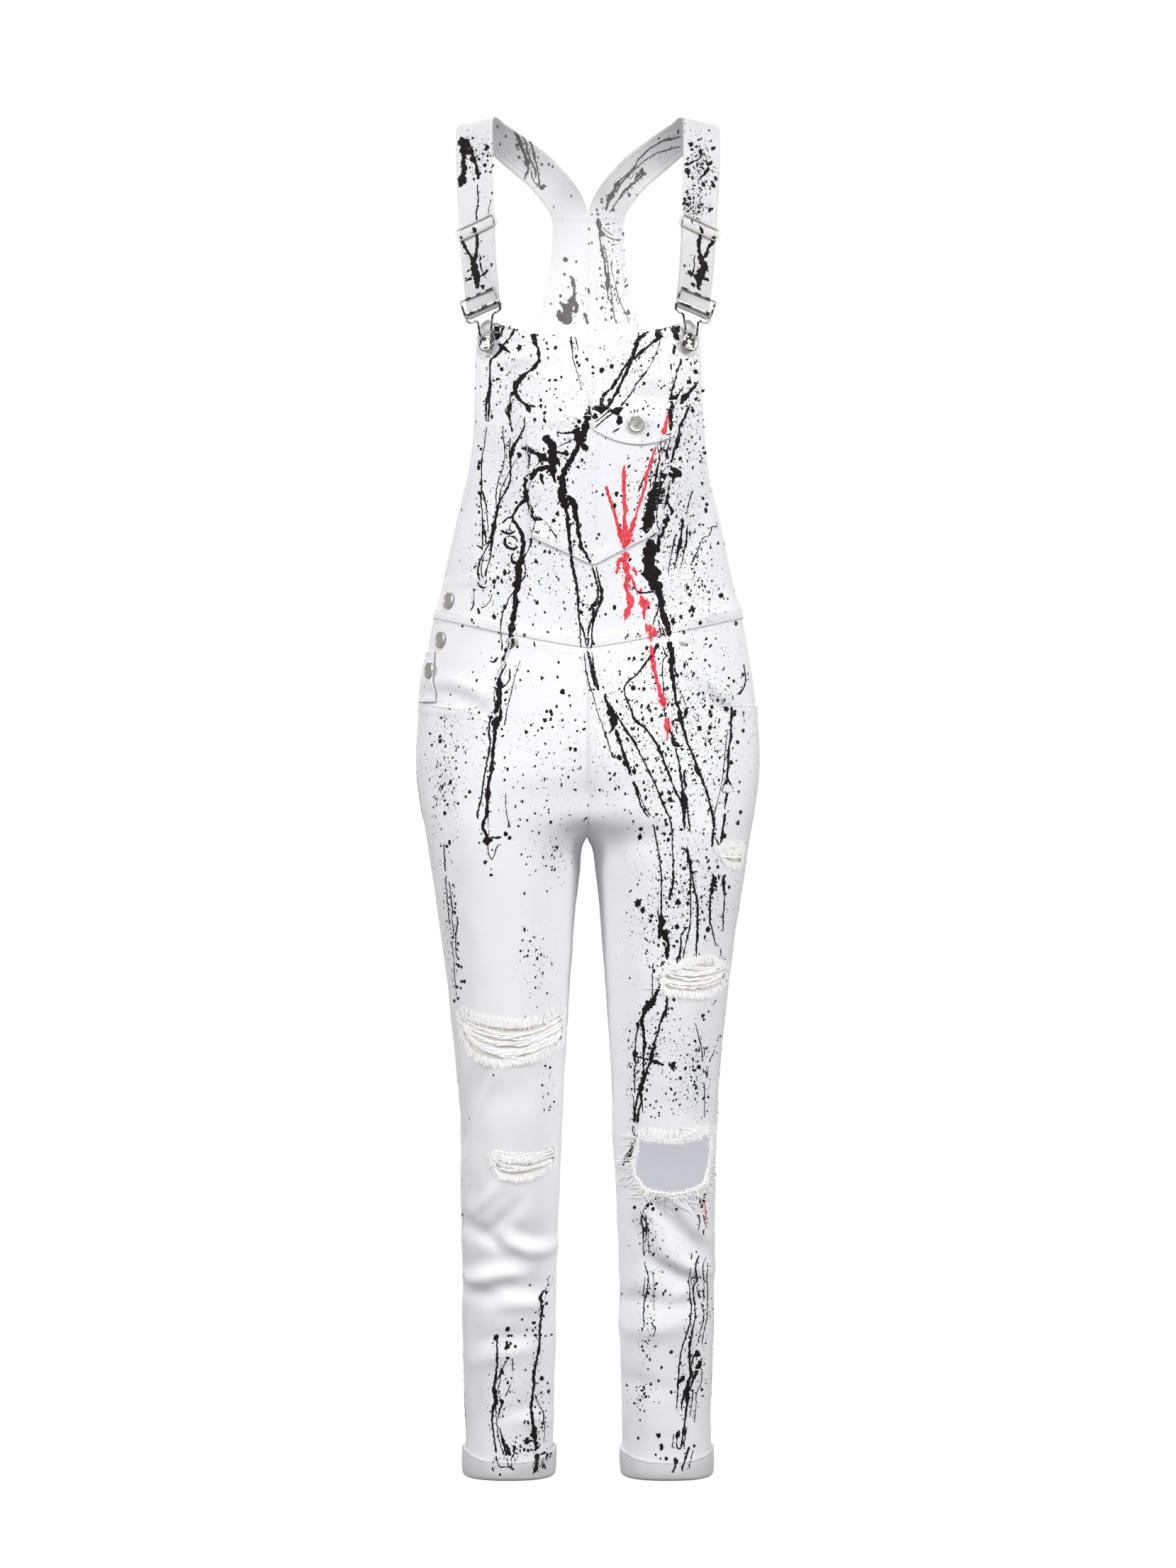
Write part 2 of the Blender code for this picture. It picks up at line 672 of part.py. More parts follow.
def wire(points, radius, sides=6, closed=False):
    """A round bar through points, in millimetres, as a bmesh."""
    mesh = bmesh.new()
    rings = []
    count = len(points)
    frame = None
    for i, point in enumerate(points):
        before = points[(i - 1) % count] if closed or i else point
        after = points[(i + 1) % count] if closed or i < count - 1 else point
        along = (after - before).normalized()
        if frame is None:
            frame = along.orthogonal().normalized()
        frame = (frame - along * frame.dot(along)).normalized()
        other = along.cross(frame)
        ring = []
        for k in range(sides):
            a = 2 * math.pi * k / sides
            out = frame * math.cos(a) + other * math.sin(a)
            ring.append(mesh.verts.new((point + out * radius) * MM))
        rings.append(ring)
    pairs = list(zip(rings, rings[1:]))
    if closed:
        pairs.append((rings[-1], rings[0]))
    for here, after in pairs:
        shift = 0
        if here is rings[-1]:
            gaps = [(here[0].co - after[k].co).length for k in range(sides)]
            shift = gaps.index(min(gaps))
        for k in range(sides):
            n = (k + 1) % sides
            far = [after[(n + shift) % sides], after[(k + shift) % sides]]
            mesh.faces.new([here[k], here[n], *far])
    if not closed:
        mesh.faces.new(rings[0][::-1])
        mesh.faces.new(rings[-1])
    return mesh


def join_solids(base, tools):
    """Unites tools into base with Booleans and removes them."""
    for tool in tools:
        union = base.modifiers.new(tool.name, "BOOLEAN")
        union.operation = "UNION"
        union.object = tool
        tool.hide_render = True
        tool.display_type = "WIRE"


def arc(centre, radius, start, end, steps):
    """Points on an arc in a fitting's own plane, as (across, down), in degrees."""
    points = []
    for i in range(steps + 1):
        a = math.radians(between(start, end, i / steps))
        points.append((centre[0] + radius * math.cos(a), centre[1] + radius * math.sin(a)))
    return points


def fitting_place(line, distance, off):
    """A function from (across, down, out) in a fitting's own plane to millimetres."""
    place, face, across = line.at(distance)
    if across.x < 0:
        across = -across
    down = across.cross(face).normalized()
    if down.z > 0:
        down = -down

    def put(over, below, out=0.0):
        return place + face * (off + out) + across * over + down * below

    return put


# The buckle's wire on one side of its middle, from its top rail down to the button's neck, as
# distance across and distance below its bar.
BucklePoint = namedtuple("BucklePoint", "across below")
BUCKLE_WIRE_PATH = [
    BucklePoint(16.6, -17),
    BucklePoint(18.9, -16.2),
    BucklePoint(19.8, -14),
    BucklePoint(20, -4),
    BucklePoint(19.6, 3.4),
    BucklePoint(18.4, 6),
    BucklePoint(16, 7.2),
    BucklePoint(11.4, 7.4),
    BucklePoint(9.2, 8.4),
    BucklePoint(8.3, 11),
    BucklePoint(7.4, 17),
    BucklePoint(6.4, 24),
]
BUCKLE_HALF, PLATE_BELOW, PLATE_TALL = 20, -2.6, 3.6
HOOK_RADIUS = 6.2  # of the wire's loop round the button's neck
SLIDER_HALF, SLIDER_TALL, SLIDER_CORNER = 21.2, 6.2, 3.2


def make_buckle(side, line, finish):
    """The wire hook that joins a strap to its bib button, with its plate and hidden bar."""
    turn = loop_radius(BUCKLE_WIRE)
    out = CLOTH / MM / 2 + SEAM / MM + BUCKLE_WIRE
    put = fitting_place(line, BAR_AT, 0)
    seat, facing = strap_button_seat(side)
    neck = seat + facing * (SEAM / MM + STRAP_BUTTON_NECK / 2)
    over, below = put(1, 0) - put(0, 0), put(0, 1) - put(0, 0)
    reach = (neck - put(0, 0)).dot(below)
    over = (over - facing * over.dot(facing)).normalized()
    below = (below - facing * below.dot(facing)).normalized()
    kink = BUCKLE_WIRE_PATH[5].below

    def hooked(x, y):
        """A place on the wire, which leaves the strap's plane for the button's below its kink."""
        share = min(1.0, max(0.0, (y - kink) / 14))
        share = share * share * (3 - 2 * share)
        at_button = neck + over * x + below * (y - reach)
        return put(x, y, out).lerp(at_button, share)

    right = [(point.across, point.below) for point in BUCKLE_WIRE_PATH if point.below < reach - 3]
    foot = arc((0, reach - 0.5), HOOK_RADIUS, 5, 175, 6)
    left = [(-x, y) for x, y in reversed(right)]
    outline = [hooked(x, y) for x, y in right + foot + left]
    loop = wire(outline, BUCKLE_WIRE, closed=True)
    buckle = add_object(f"buckle_{side_name(side)}", loop, finish)
    plate = bmesh.new()
    bmesh.ops.create_cube(plate, size=1)
    for v in plate.verts:
        x, y, z = v.co
        v.co = put(x * 2 * BUCKLE_HALF, y * PLATE_TALL + PLATE_BELOW, out + z * 1.7) * MM
    end = BUCKLE_HALF - 0.2
    hidden = [(-end, 2, out), (-end, 1, 0), (-end, 0, -turn)]
    hidden += [(end, 0, -turn), (end, 1, 0), (end, 2, out)]
    bar = wire([put(*place) for place in hidden], BUCKLE_WIRE * 0.98)
    parts = [add_object(f"{buckle.name}_plate", plate, finish)]
    parts.append(add_object(f"{buckle.name}_bar", bar, finish))
    join_solids(buckle, parts)


def make_slider(side, line, finish):
    """The wire frame that the strap's end is looped on, with its middle bar set behind."""
    out = 0.2 + CLOTH / MM / 2 + SEAM / MM + SLIDER_WIRE
    put = fitting_place(line, SLIDER_AT, 0)
    outline = []
    for across, down, start in ((1, -1, -90), (1, 1, 0), (-1, 1, 90), (-1, -1, 180)):
        corner = (across * (SLIDER_HALF - SLIDER_CORNER), down * (SLIDER_TALL - SLIDER_CORNER))
        outline += arc(corner, SLIDER_CORNER, start, start + 90, 3)
    frame = wire([put(x, y, out) for x, y in outline], SLIDER_WIRE, closed=True)
    slider = add_object(f"slider_{side_name(side)}", frame, finish)
    end, deep = SLIDER_HALF - 0.2, -slider_bar_depth()
    route = [(-end, 0, out), (-end, 0, deep), (end, 0, deep), (end, 0, out)]
    bar = wire([put(*place) for place in route], SLIDER_WIRE * 0.98)
    join_solids(slider, [add_object(f"{slider.name}_bar", bar, finish)])


# ----------------------------------------------------------------------------------- buttons

# Profiles of turned pieces, as radius and height over the cloth in millimetres.
Ring = namedtuple("Ring", "radius height")


def button_profile(radius, neck):
    """A jeans button: a narrow neck under a domed cap with a rim and a sunk middle."""
    return [
        Ring(radius * 0.42, 0),
        Ring(radius * 0.42, neck),
        Ring(radius * 0.9, neck),
        Ring(radius, neck + 0.9),
        Ring(radius * 0.93, neck + 2.1),
        Ring(radius * 0.76, neck + 2.3),
        Ring(radius * 0.66, neck + 1.8),
        Ring(radius * 0.3, neck + 1.9),
    ]


def rivet_profile():
    return [Ring(RIVET_RADIUS, 0), Ring(RIVET_RADIUS * 0.9, 0.7), Ring(RIVET_RADIUS * 0.4, 1.1)]


def turned(name, profile, place, facing, finish, sides=14):
    """A round piece on the cloth at place, in millimetres, turned about facing."""
    mesh = bmesh.new()
    turn = facing.to_track_quat("Z", "Y").to_matrix()
    rings = []
    for ring in profile:
        row = []
        for k in range(sides):
            a = 2 * math.pi * k / sides
            flat = Vector((ring.radius * math.cos(a), ring.radius * math.sin(a), ring.height))
            row.append(mesh.verts.new((place + turn @ flat) * MM))
        rings.append(row)
    for here, after in zip(rings, rings[1:]):
        for k in range(sides):
            n = (k + 1) % sides
            mesh.faces.new([here[k], here[n], after[n], after[k]])
    mesh.faces.new(rings[0][::-1])
    mesh.faces.new(rings[-1])
    return add_object(name, mesh, finish)


def strap_button_seat(side):
    return on_front(side * STRAP_BUTTON_X, STRAP_BUTTON_HEIGHT)


STRAP_BUTTON_NECK = 5.0


def make_buttons(finish):
    on_cloth = SEAM / MM
    for side in (RIGHT, LEFT):
        seat, facing = strap_button_seat(side)
        profile = button_profile(STRAP_BUTTON_RADIUS, STRAP_BUTTON_NECK)
        turned(f"strap_button_{side_name(side)}", profile, seat + facing * on_cloth, facing, finish)
    seat, facing = on_front(FLAP_BUTTON_X, FLAP_BUTTON_HEIGHT)
    lifted = seat + facing * (2 * LAYER + SEAM) / MM
    turned("flap_button", button_profile(BUTTON_RADIUS, 0.8), lifted, facing, finish)
    for number, button in enumerate(SIDE_BUTTONS, 1):
        seat, facing = form(RIGHT, button.angle, button.height)
        place = seat + facing * button.lift
        turned(f"side_button_{number}", button_profile(BUTTON_RADIUS, 0.8), place, facing, finish)
    for rivet in RIVETS:
        seat, facing = form(rivet.side, rivet.angle, waist_height(rivet.angle) - rivet.drop)
        name = f"rivet_{side_name(rivet.side)}"
        turned(name, rivet_profile(), seat + facing * on_cloth, facing, finish)


def build():
    clear_scene()
    denim = material("white_denim", (0.86, 0.86, 0.89), 0.85)
    metal = material("nickel", (0.62, 0.59, 0.55), 0.3, 1.0)
    for side in (RIGHT, LEFT):
        make_bib(side, denim)
        make_back(side, denim)
        make_front_leg(side, denim)
        make_back_leg(side, denim)
        make_pocket_facing(side, denim)
        make_cuff(side, denim)
        line = StrapLine(side)
        ribbon(f"strap_front_{side_name(side)}", line, front_strap_route(), denim)
        ribbon(f"strap_back_{side_name(side)}", line, back_strap_route(line), denim)
        make_buckle(side, line, metal)
        make_slider(side, line, metal)
    make_bib_pocket(denim)
    make_flap(denim)
    make_placket(denim)
    make_buttons(metal)


build()
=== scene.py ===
"""Denim overalls with drips and spatter of paint: cloth, fittings, tears, stitches and paint.

Every table is in millimetres and degrees. +Z is up, the wearer faces -Y and the wearer's left is
+X. All the cloth lies on one worn form, the same stack of rounded rings that the solids lie on.
"""

import json
import math
from collections import namedtuple

import bmesh
import bpy
import numpy as np
from mathutils import Matrix, Vector
from mathutils.bvhtree import BVHTree

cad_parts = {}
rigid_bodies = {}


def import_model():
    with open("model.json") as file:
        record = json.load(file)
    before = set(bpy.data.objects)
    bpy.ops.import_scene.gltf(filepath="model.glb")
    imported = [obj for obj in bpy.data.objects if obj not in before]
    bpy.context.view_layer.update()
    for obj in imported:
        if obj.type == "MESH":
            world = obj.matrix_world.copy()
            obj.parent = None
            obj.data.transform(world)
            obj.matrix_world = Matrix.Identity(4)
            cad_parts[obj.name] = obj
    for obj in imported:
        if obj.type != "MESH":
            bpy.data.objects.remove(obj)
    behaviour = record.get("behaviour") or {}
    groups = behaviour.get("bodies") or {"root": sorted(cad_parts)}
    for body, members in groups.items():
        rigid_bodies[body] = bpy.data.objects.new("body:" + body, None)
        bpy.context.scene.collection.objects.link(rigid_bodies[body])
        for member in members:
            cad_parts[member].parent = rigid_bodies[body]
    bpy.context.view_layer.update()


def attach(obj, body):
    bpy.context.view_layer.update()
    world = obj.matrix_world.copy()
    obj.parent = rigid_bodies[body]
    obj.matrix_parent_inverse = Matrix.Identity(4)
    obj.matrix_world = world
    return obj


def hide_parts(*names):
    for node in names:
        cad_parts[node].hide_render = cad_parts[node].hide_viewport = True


bl_info = {
    "name": "Spattered overalls",
    "version": (1, 0, 0),
    "blender": (4, 5, 0),
    "location": "3D View > Sidebar > Overalls",
    "description": "Dresses the packed overalls with cloth, fittings, tears, stitches and paint",
    "category": "Object",
}

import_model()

MM = 0.001
CLOTH = 1.4  # wall of one layer of denim
RIGHT, LEFT = -1, 1  # the wearer's sides, as the sign of X
FRONT, OUTSIDE, BACK = 0.0, 90.0, 180.0  # degrees round a ring

# ------------------------------------------------------------------------------- worn form

# Each row is half a body or one leg at a height. inner is how far its ring runs past the centre
# plane (negative) or stays outside it (a leg of its own).
Section = namedtuple("Section", "height outer inner front back")
SECTIONS = [
    Section(-1424, 127, 38, -39, 53),
    Section(-1345, 128, 36, -42, 55),
    Section(-1280, 130, 34, -47, 58),
    Section(-1200, 131, 33, -54, 57),
    Section(-1120, 132, 30, -62, 52),
    Section(-1060, 133, 27, -69, 50),
    Section(-1000, 136, 25, -75, 57),
    Section(-920, 144, 20, -84, 70),
    Section(-850, 153, 15, -90, 80),
    Section(-790, 162, 9, -96, 92),
    Section(-745, 169, 0, -100, 107),
    Section(-715, 175, -45, -103, 117),
    Section(-685, 178, -100, -107, 122),
    Section(-650, 178, -150, -108, 121),
    Section(-600, 174, -170, -107, 110),
    Section(-557, 167, -167, -105, 98),
    Section(-525, 161, -161, -105, 93),
    Section(-482, 149, -149, -108, 89),
    Section(-430, 144, -144, -113, 90),
    Section(-370, 145, -145, -120, 96),
    Section(-300, 150, -150, -125, 103),
    Section(-220, 148, -148, -121, 104),
    Section(-130, 146, -146, -112, 101),
    Section(-60, 146, -146, -100, 97),
]
SQUARENESS = 2.4  # exponent of the rings, where 2 is an ellipse
EYE_HEIGHT = -696  # level of the camera

# Folds of the cloth. tilt is the fold's slope, bend how much it curves along its length, and a
# negative rise is a trough.
Fold = namedtuple("Fold", "side face across height tilt length width rise bend", defaults=(0.0,))
FOLDS = [
    Fold(RIGHT, FRONT, 92, -345, -82, 200, 26, -7),
    Fold(RIGHT, FRONT, 118, -1035, -72, 90, 16, -4),
    Fold(RIGHT, FRONT, 66, -1165, 14, 62, 15, -5),
    Fold(RIGHT, FRONT, 98, -1192, -12, 66, 15, -5),
    Fold(RIGHT, FRONT, 72, -1215, 6, 54, 14, -4),
    Fold(LEFT, FRONT, 96, -1150, -52, 74, 16, -5),
    Fold(LEFT, FRONT, 84, -1200, -28, 76, 16, -5),
    Fold(LEFT, FRONT, 86, -1228, 2, 66, 14, -4),
    Fold(RIGHT, BACK, 80, -1045, 8, 90, 17, -6),
    Fold(LEFT, BACK, 82, -1052, -10, 86, 17, -6),
    Fold(RIGHT, BACK, 82, -1092, -8, 70, 15, -4),
    Fold(LEFT, BACK, 80, -1098, 9, 74, 15, -4),
    Fold(RIGHT, BACK, 74, -748, -10, 110, 20, -5),
    Fold(LEFT, BACK, 74, -752, 10, 110, 20, -5),
]
CREASES = [
    # bib: soft hollows beside the pocket and under the top hem
    Fold(RIGHT, FRONT, 60, -262, -8, 60, 7, 1.2),
    Fold(LEFT, FRONT, 46, -284, 4, 70, 8, 1.0),
    Fold(LEFT, FRONT, 60, -306, 2, 60, 6, -0.8),
    Fold(RIGHT, FRONT, 118, -440, -66, 90, 12, 1.8),
    Fold(LEFT, FRONT, 112, -430, 68, 110, 14, -1.6),
    Fold(LEFT, FRONT, 128, -520, 12, 70, 8, 1.2),
    Fold(RIGHT, FRONT, 128, -488, -6, 60, 6, 0.6),
    # hips: pulls that run to the pocket mouths and the fork
    Fold(RIGHT, FRONT, 128, -596, 22, 74, 9, 1.8, -0.006),
    Fold(RIGHT, FRONT, 122, -610, 26, 84, 7, -1.4, -0.006),
    Fold(LEFT, FRONT, 116, -590, -40, 84, 9, 2.6, 0.004),
    Fold(LEFT, FRONT, 124, -604, -52, 60, 8, -2.4, 0.004),
    Fold(RIGHT, FRONT, 20, -738, -30, 80, 24, 2.6),
    Fold(LEFT, FRONT, 20, -738, 30, 80, 24, 2.6),
    Fold(LEFT, FRONT, 60, -752, 8, 60, 12, -0.9),
    # right leg: drag lines above the lower tear and the folds behind the knee
    Fold(RIGHT, FRONT, 112, -1030, -70, 110, 7, 1.5, -0.004),
    Fold(RIGHT, FRONT, 66, -1010, -34, 70, 12, -0.5),
    Fold(RIGHT, FRONT, 98, -1118, -48, 60, 6, 1.1, 0.004),
    Fold(RIGHT, FRONT, 86, -1144, -42, 60, 7, -1.6, 0.004),
    Fold(RIGHT, FRONT, 62, -1176, 12, 58, 9, 4.2, 0.008),
    Fold(RIGHT, FRONT, 100, -1204, -10, 60, 9, 4.0, -0.004),
    Fold(RIGHT, FRONT, 112, -1160, 30, 54, 9, -2.4),
    Fold(RIGHT, FRONT, 116, -1222, 14, 60, 9, -2.0),
    Fold(RIGHT, FRONT, 70, -1232, 2, 54, 9, 2.2),
    Fold(RIGHT, FRONT, 84, -1268, -4, 60, 8, -1.2),
    Fold(RIGHT, FRONT, 92, -1288, -12, 70, 9, 1.2),
    Fold(RIGHT, FRONT, 70, -1344, -24, 60, 8, -0.9),
    Fold(RIGHT, FRONT, 58, -1356, 4, 54, 7, 0.9),
    Fold(RIGHT, FRONT, 106, -1330, -70, 120, 9, -1.2),
    # left leg: folds that spread from under the open knee
    Fold(LEFT, FRONT, 98, -1140, -56, 80, 8, 3.4, 0.004),
    Fold(LEFT, FRONT, 78, -1140, -66, 60, 9, -2.6),
    Fold(LEFT, FRONT, 70, -1182, -46, 80, 10, -2.6, 0.005),
    Fold(LEFT, FRONT, 92, -1192, -26, 70, 9, 3.8, 0.004),
    Fold(LEFT, FRONT, 90, -1224, 6, 66, 9, 2.6, 0.006),
    Fold(LEFT, FRONT, 58, -1228, 10, 60, 9, -1.6),
    Fold(LEFT, FRONT, 66, -1262, 4, 70, 10, 1.6, 0.006),
    Fold(LEFT, FRONT, 60, -1318, -12, 60, 10, -1.2),
    Fold(LEFT, FRONT, 98, -1330, -78, 110, 9, -1.3),
    Fold(LEFT, FRONT, 110, -1110, -84, 70, 6, 1.6),
    # back: seat, knees and ankles
    Fold(RIGHT, BACK, 92, -733, 14, 120, 11, -2.4, 0.003),
    Fold(LEFT, BACK, 94, -729, -14, 120, 11, -2.4, 0.003),
    Fold(RIGHT, BACK, 70, -772, 4, 110, 11, 2.2, 0.004),
    Fold(LEFT, BACK, 72, -776, -4, 110, 11, 2.2, 0.004),
    Fold(RIGHT, BACK, 60, -560, -24, 90, 12, -1.6),
    Fold(LEFT, BACK, 64, -556, 24, 90, 12, -1.6),
    Fold(RIGHT, BACK, 78, -1068, -4, 86, 9, 3.4, 0.006),
    Fold(LEFT, BACK, 80, -1074, 5, 86, 9, 3.4, 0.006),
    Fold(RIGHT, BACK, 86, -1118, 10, 78, 9, 2.6, 0.004),
    Fold(LEFT, BACK, 78, -1124, -9, 78, 9, 2.6, 0.004),
    Fold(RIGHT, BACK, 76, -1140, -6, 70, 9, -2.2),
    Fold(LEFT, BACK, 84, -1146, 6, 70, 9, -2.2),
    Fold(RIGHT, BACK, 90, -1010, -40, 90, 10, -2.0),
    Fold(LEFT, BACK, 70, -1014, 40, 90, 10, -2.0),
    Fold(RIGHT, BACK, 80, -1300, 8, 80, 10, -1.6),
    Fold(LEFT, BACK, 84, -1310, -8, 80, 10, -1.6),
    Fold(RIGHT, BACK, 66, -330, -70, 120, 12, 1.4),
    Fold(LEFT, BACK, 60, -360, 72, 120, 12, 1.4),
]

# Landmarks of the cut.
BIB_TOP_CENTRE, BIB_TOP_CORNER = -242, -219
BIB_CORNER_DROP = 12  # how far the rounded ends of the bib's top edge fall
SIDE_TOP = -482  # where bib and back meet at the side
WAIST_FRONT, WAIST_SIDE, WAIST_BACK = -557, -524, -516
HIP, FORK, HEM = -640, -745, -1410
MOUTH_HEIGHT = np.array(-565.0)  # level at which the pocket mouths leave the waist seam
FORK_FILL, FORK_FRONT = 0.6, -103  # share by which the cloth fills the hollow over the fork
PLACKET_TOP, PLACKET_FOOT = -559, -611
CUFF_FOOT, CUFF_DIP = -1417, 10  # the turn-up's lower edge, and how far its top dips in front

# The scooped pocket mouths. start is the angle where each leaves the waist seam, lowest the
# height it drops to, bend how quickly it gets there, and rise how far it climbs to the side seam.
Scoop = namedtuple("Scoop", "start lowest bend rise")
SCOOPS = {RIGHT: Scoop(23.6, -619, 0.28, 9), LEFT: Scoop(34.8, -615, 0.42, 0)}

# Half widths of the panels above the waist.
Edge = namedtuple("Edge", "height reach")
BIB_EDGE = [
    Edge(-482, 148.5),
    Edge(-455, 142),
    Edge(-413, 133),
    Edge(-371, 123),
    Edge(-329, 118),
    Edge(-286, 116),
    Edge(-245, 114),
    Edge(-219, 108),
]
BACK_EDGE = [
    Edge(-482, 148.5),
    Edge(-430, 126),
    Edge(-370, 102),
    Edge(-300, 81),
    Edge(-213, 57.5),
    Edge(-188, 50),
    Edge(-161, 42.5),
    Edge(-131, 38),
    Edge(-90, 37),
]
BIB_ABOVE_SIDE, BACK_ABOVE_SIDE = 0.72, 0.86  # share of the rows above the side seams' tops

# Corners of the bib pocket and its flap, as distance to the wearer's left and height.
Corner = namedtuple("Corner", "x height")
POCKET_TOP = (Corner(-63.5, -322), Corner(86.5, -322))
POCKET_FOOT = (Corner(-57, -444), Corner(5, -473), Corner(73.5, -438))
FLAP_TOP = (Corner(3.5, -304), Corner(88, -306))
FLAP_FOOT = (Corner(5.5, -336), Corner(51, -350.5), Corner(87, -340.5))

# The strap's middle line on the wearer's left, with the way its face looks.
Station = namedtuple("Station", "x y z look_x look_y look_z")
STRAP = [
    Station(105.5, -114, -221, 0.42, -1, 0),
    Station(108.5, -113, -196, 0.4, -1, 0),
    Station(112, -109, -155, 0.34, -1, 0.1),
    Station(114, -98, -112, 0.28, -1, 0.3),
    Station(116, -79, -70, 0.24, -1, 0.8),
    Station(117, -54, -35, 0.23, -1, 1.4),
    Station(117, -22, -11, 0.23, -0.4, 1),
    Station(113, 13, -4, 0.22, 0.1, 1),
    Station(104, 43, -8, 0.15, 0.5, 1),
    Station(92, 64, -15, 0.05, 1, 0.9),
    Station(74, 82.5, -27, 0, 1, 0.5),
    Station(52, 94.5, -43, 0, 1, 0.25),
    Station(34, 100.5, -62, 0, 1, 0.08),
    Station(22.5, 102.7, -80, 0, 1, 0),
    Station(18.6, 103.6, -97, 0, 1, 0),
    Station(18.6, 104.6, -114, 0, 1, 0),
]
STRAP_WIDTH, STRAP_FOOT_WIDTH = 37, 34.5  # it draws in towards the buckle
SHOULDER_SEAM = 160  # from the strap's foot to the seam between its two cuts
SLIDER_AT, BAR_AT = 93, 7  # from the strap's foot to the slider's bar and the buckle's bar
SLIDER_SKEW, BUCKLE_SKEW = -18, -12  # their slope across the strap
BUCKLE_WIRE, SLIDER_WIRE = 1.1, 0.95  # radii
SLIDER_HUMP = 1.5  # how far the slider's bar lifts the strap
SEAM = 0.3  # gap kept between neighbouring pieces

Button = namedtuple("Button", "height angle lift")
SIDE_BUTTONS = [Button(-507, 64.0, 0.2), Button(-547, 65.5, -1.5), Button(-579, 68.3, 1.8)]
BUTTON_RADIUS, STRAP_BUTTON_RADIUS, RIVET_RADIUS = 8.9, 9.6, 4.6
FLAP_BUTTON_X, FLAP_BUTTON_HEIGHT = 48.5, -330
STRAP_BUTTON_X, STRAP_BUTTON_HEIGHT = 101, -246
STRAP_BUTTON_NECK = 5.0
Rivet = namedtuple("Rivet", "side angle drop")
RIVETS = [Rivet(RIGHT, 23.0, 6.5), Rivet(LEFT, 31.6, 11)]


def between(a, b, share):
    return a + (b - a) * share


def shares(count):
    return [i / count for i in range(count + 1)]


def eased(low, high, value):
    """0 below low and 1 above high, along a smooth step."""
    t = np.clip((np.asarray(value, float) - low) / (high - low), 0, 1)
    return t * t * (3 - 2 * t)


def side_name(side):
    return "left" if side == LEFT else "right"


def curve_through(rows, key, value, at):
    """Reads column value of rows at key = at, along a smooth curve. Keys rise down the rows."""
    keys = np.array([getattr(row, key) for row in rows], float)
    values = np.array([getattr(row, value) for row in rows], float)
    at = np.clip(np.asarray(at, float), keys[0], keys[-1])
    i = np.clip(np.searchsorted(keys, at, side="right") - 1, 0, len(keys) - 2)
    reach = np.arange(len(keys))
    low, high = np.maximum(reach - 1, 0), np.minimum(reach + 1, len(keys) - 1)
    slope = (values[high] - values[low]) / (keys[high] - keys[low])
    span = keys[i + 1] - keys[i]
    t = (at - keys[i]) / span
    start = (2 * t**3 - 3 * t**2 + 1) * values[i] + (t**3 - 2 * t**2 + t) * span * slope[i]
    end = (3 * t**2 - 2 * t**3) * values[i + 1] + (t**3 - t**2) * span * slope[i + 1]
    return start + end


def power(value, exponent):
    return np.copysign(np.abs(value) ** exponent, value)


def ring_at(height):
    """Middle across, half width, middle depth and half depth of the rings at these heights."""
    read = (curve_through(SECTIONS, "height", c, height) for c in Section._fields[1:])
    outer, inner, front, back = read
    return (outer + inner) / 2, (outer - inner) / 2, (front + back) / 2, (back - front) / 2


def bare_form(side, angle, height):
    centre, half, middle, depth = ring_at(height)
    turn = np.radians(angle)
    across = centre + half * power(np.sin(turn), 2 / SQUARENESS)
    out = middle - depth * power(np.cos(turn), 2 / SQUARENESS)
    return np.stack(np.broadcast_arrays(side * across, out, height), axis=-1)


def fold_rise(folds, side, face, across, height):
    total = np.zeros(np.shape(across))
    for fold in folds:
        turn = math.radians(fold.tilt)
        dx, dz = across - fold.across, height - fold.height
        along = dx * math.cos(turn) + dz * math.sin(turn)
        off = dz * math.cos(turn) - dx * math.sin(turn) - fold.bend * along**2
        reach = (2 * along / fold.length) ** 4 + (off / fold.width) ** 2
        total += np.where((side == fold.side) & (face == fold.face), fold.rise, 0) * np.exp(-reach)
    return total


def unit(vectors):
    length = np.linalg.norm(vectors, axis=-1, keepdims=True)
    return vectors / np.maximum(length, 1e-9)


def slack(place):
    """The small unevenness of washed denim, in millimetres, from a few crossing waves."""
    rng = np.random.default_rng(11)
    total = np.zeros(place.shape[:-1])
    for _ in range(14):
        wave = rng.normal(size=3)
        wave *= 2 * math.pi / rng.uniform(22, 75) / np.linalg.norm(wave)
        total += np.sin(place @ wave + rng.uniform(0, 2 * math.pi))
    return total / 14


def worn(side, angle, height, creased=True):
    """Places on the worn form and the way its cloth faces."""
    side, angle, height = np.broadcast_arrays(side, np.asarray(angle, float), height)
    height = np.asarray(height, float)
    place = bare_form(side, angle, height)
    round_it = bare_form(side, angle + 0.5, height) - bare_form(side, angle - 0.5, height)
    up = bare_form(side, angle, height + 1) - bare_form(side, angle, height - 1)
    facing = unit(np.cross(round_it, up)) * side[..., None]
    face = np.where(np.cos(np.radians(angle)) > 0, FRONT, BACK)
    across = np.abs(place[..., 0])
    rise = fold_rise(FOLDS, side, face, across, height)
    if creased:
        near = FORK_FILL * np.exp(-(((height - FORK - 17) / 26) ** 2) - (across / 38) ** 2)
        place[..., 1] = between(place[..., 1], FORK_FRONT, np.where(face == FRONT, near, 0))
        depth = bpy.context.scene.overalls_cloth.crease_depth
        rise = rise + depth * fold_rise(CREASES, side, face, across, height)
        rise = rise + 0.75 * depth * slack(place)
    return place + facing * rise[..., None], facing


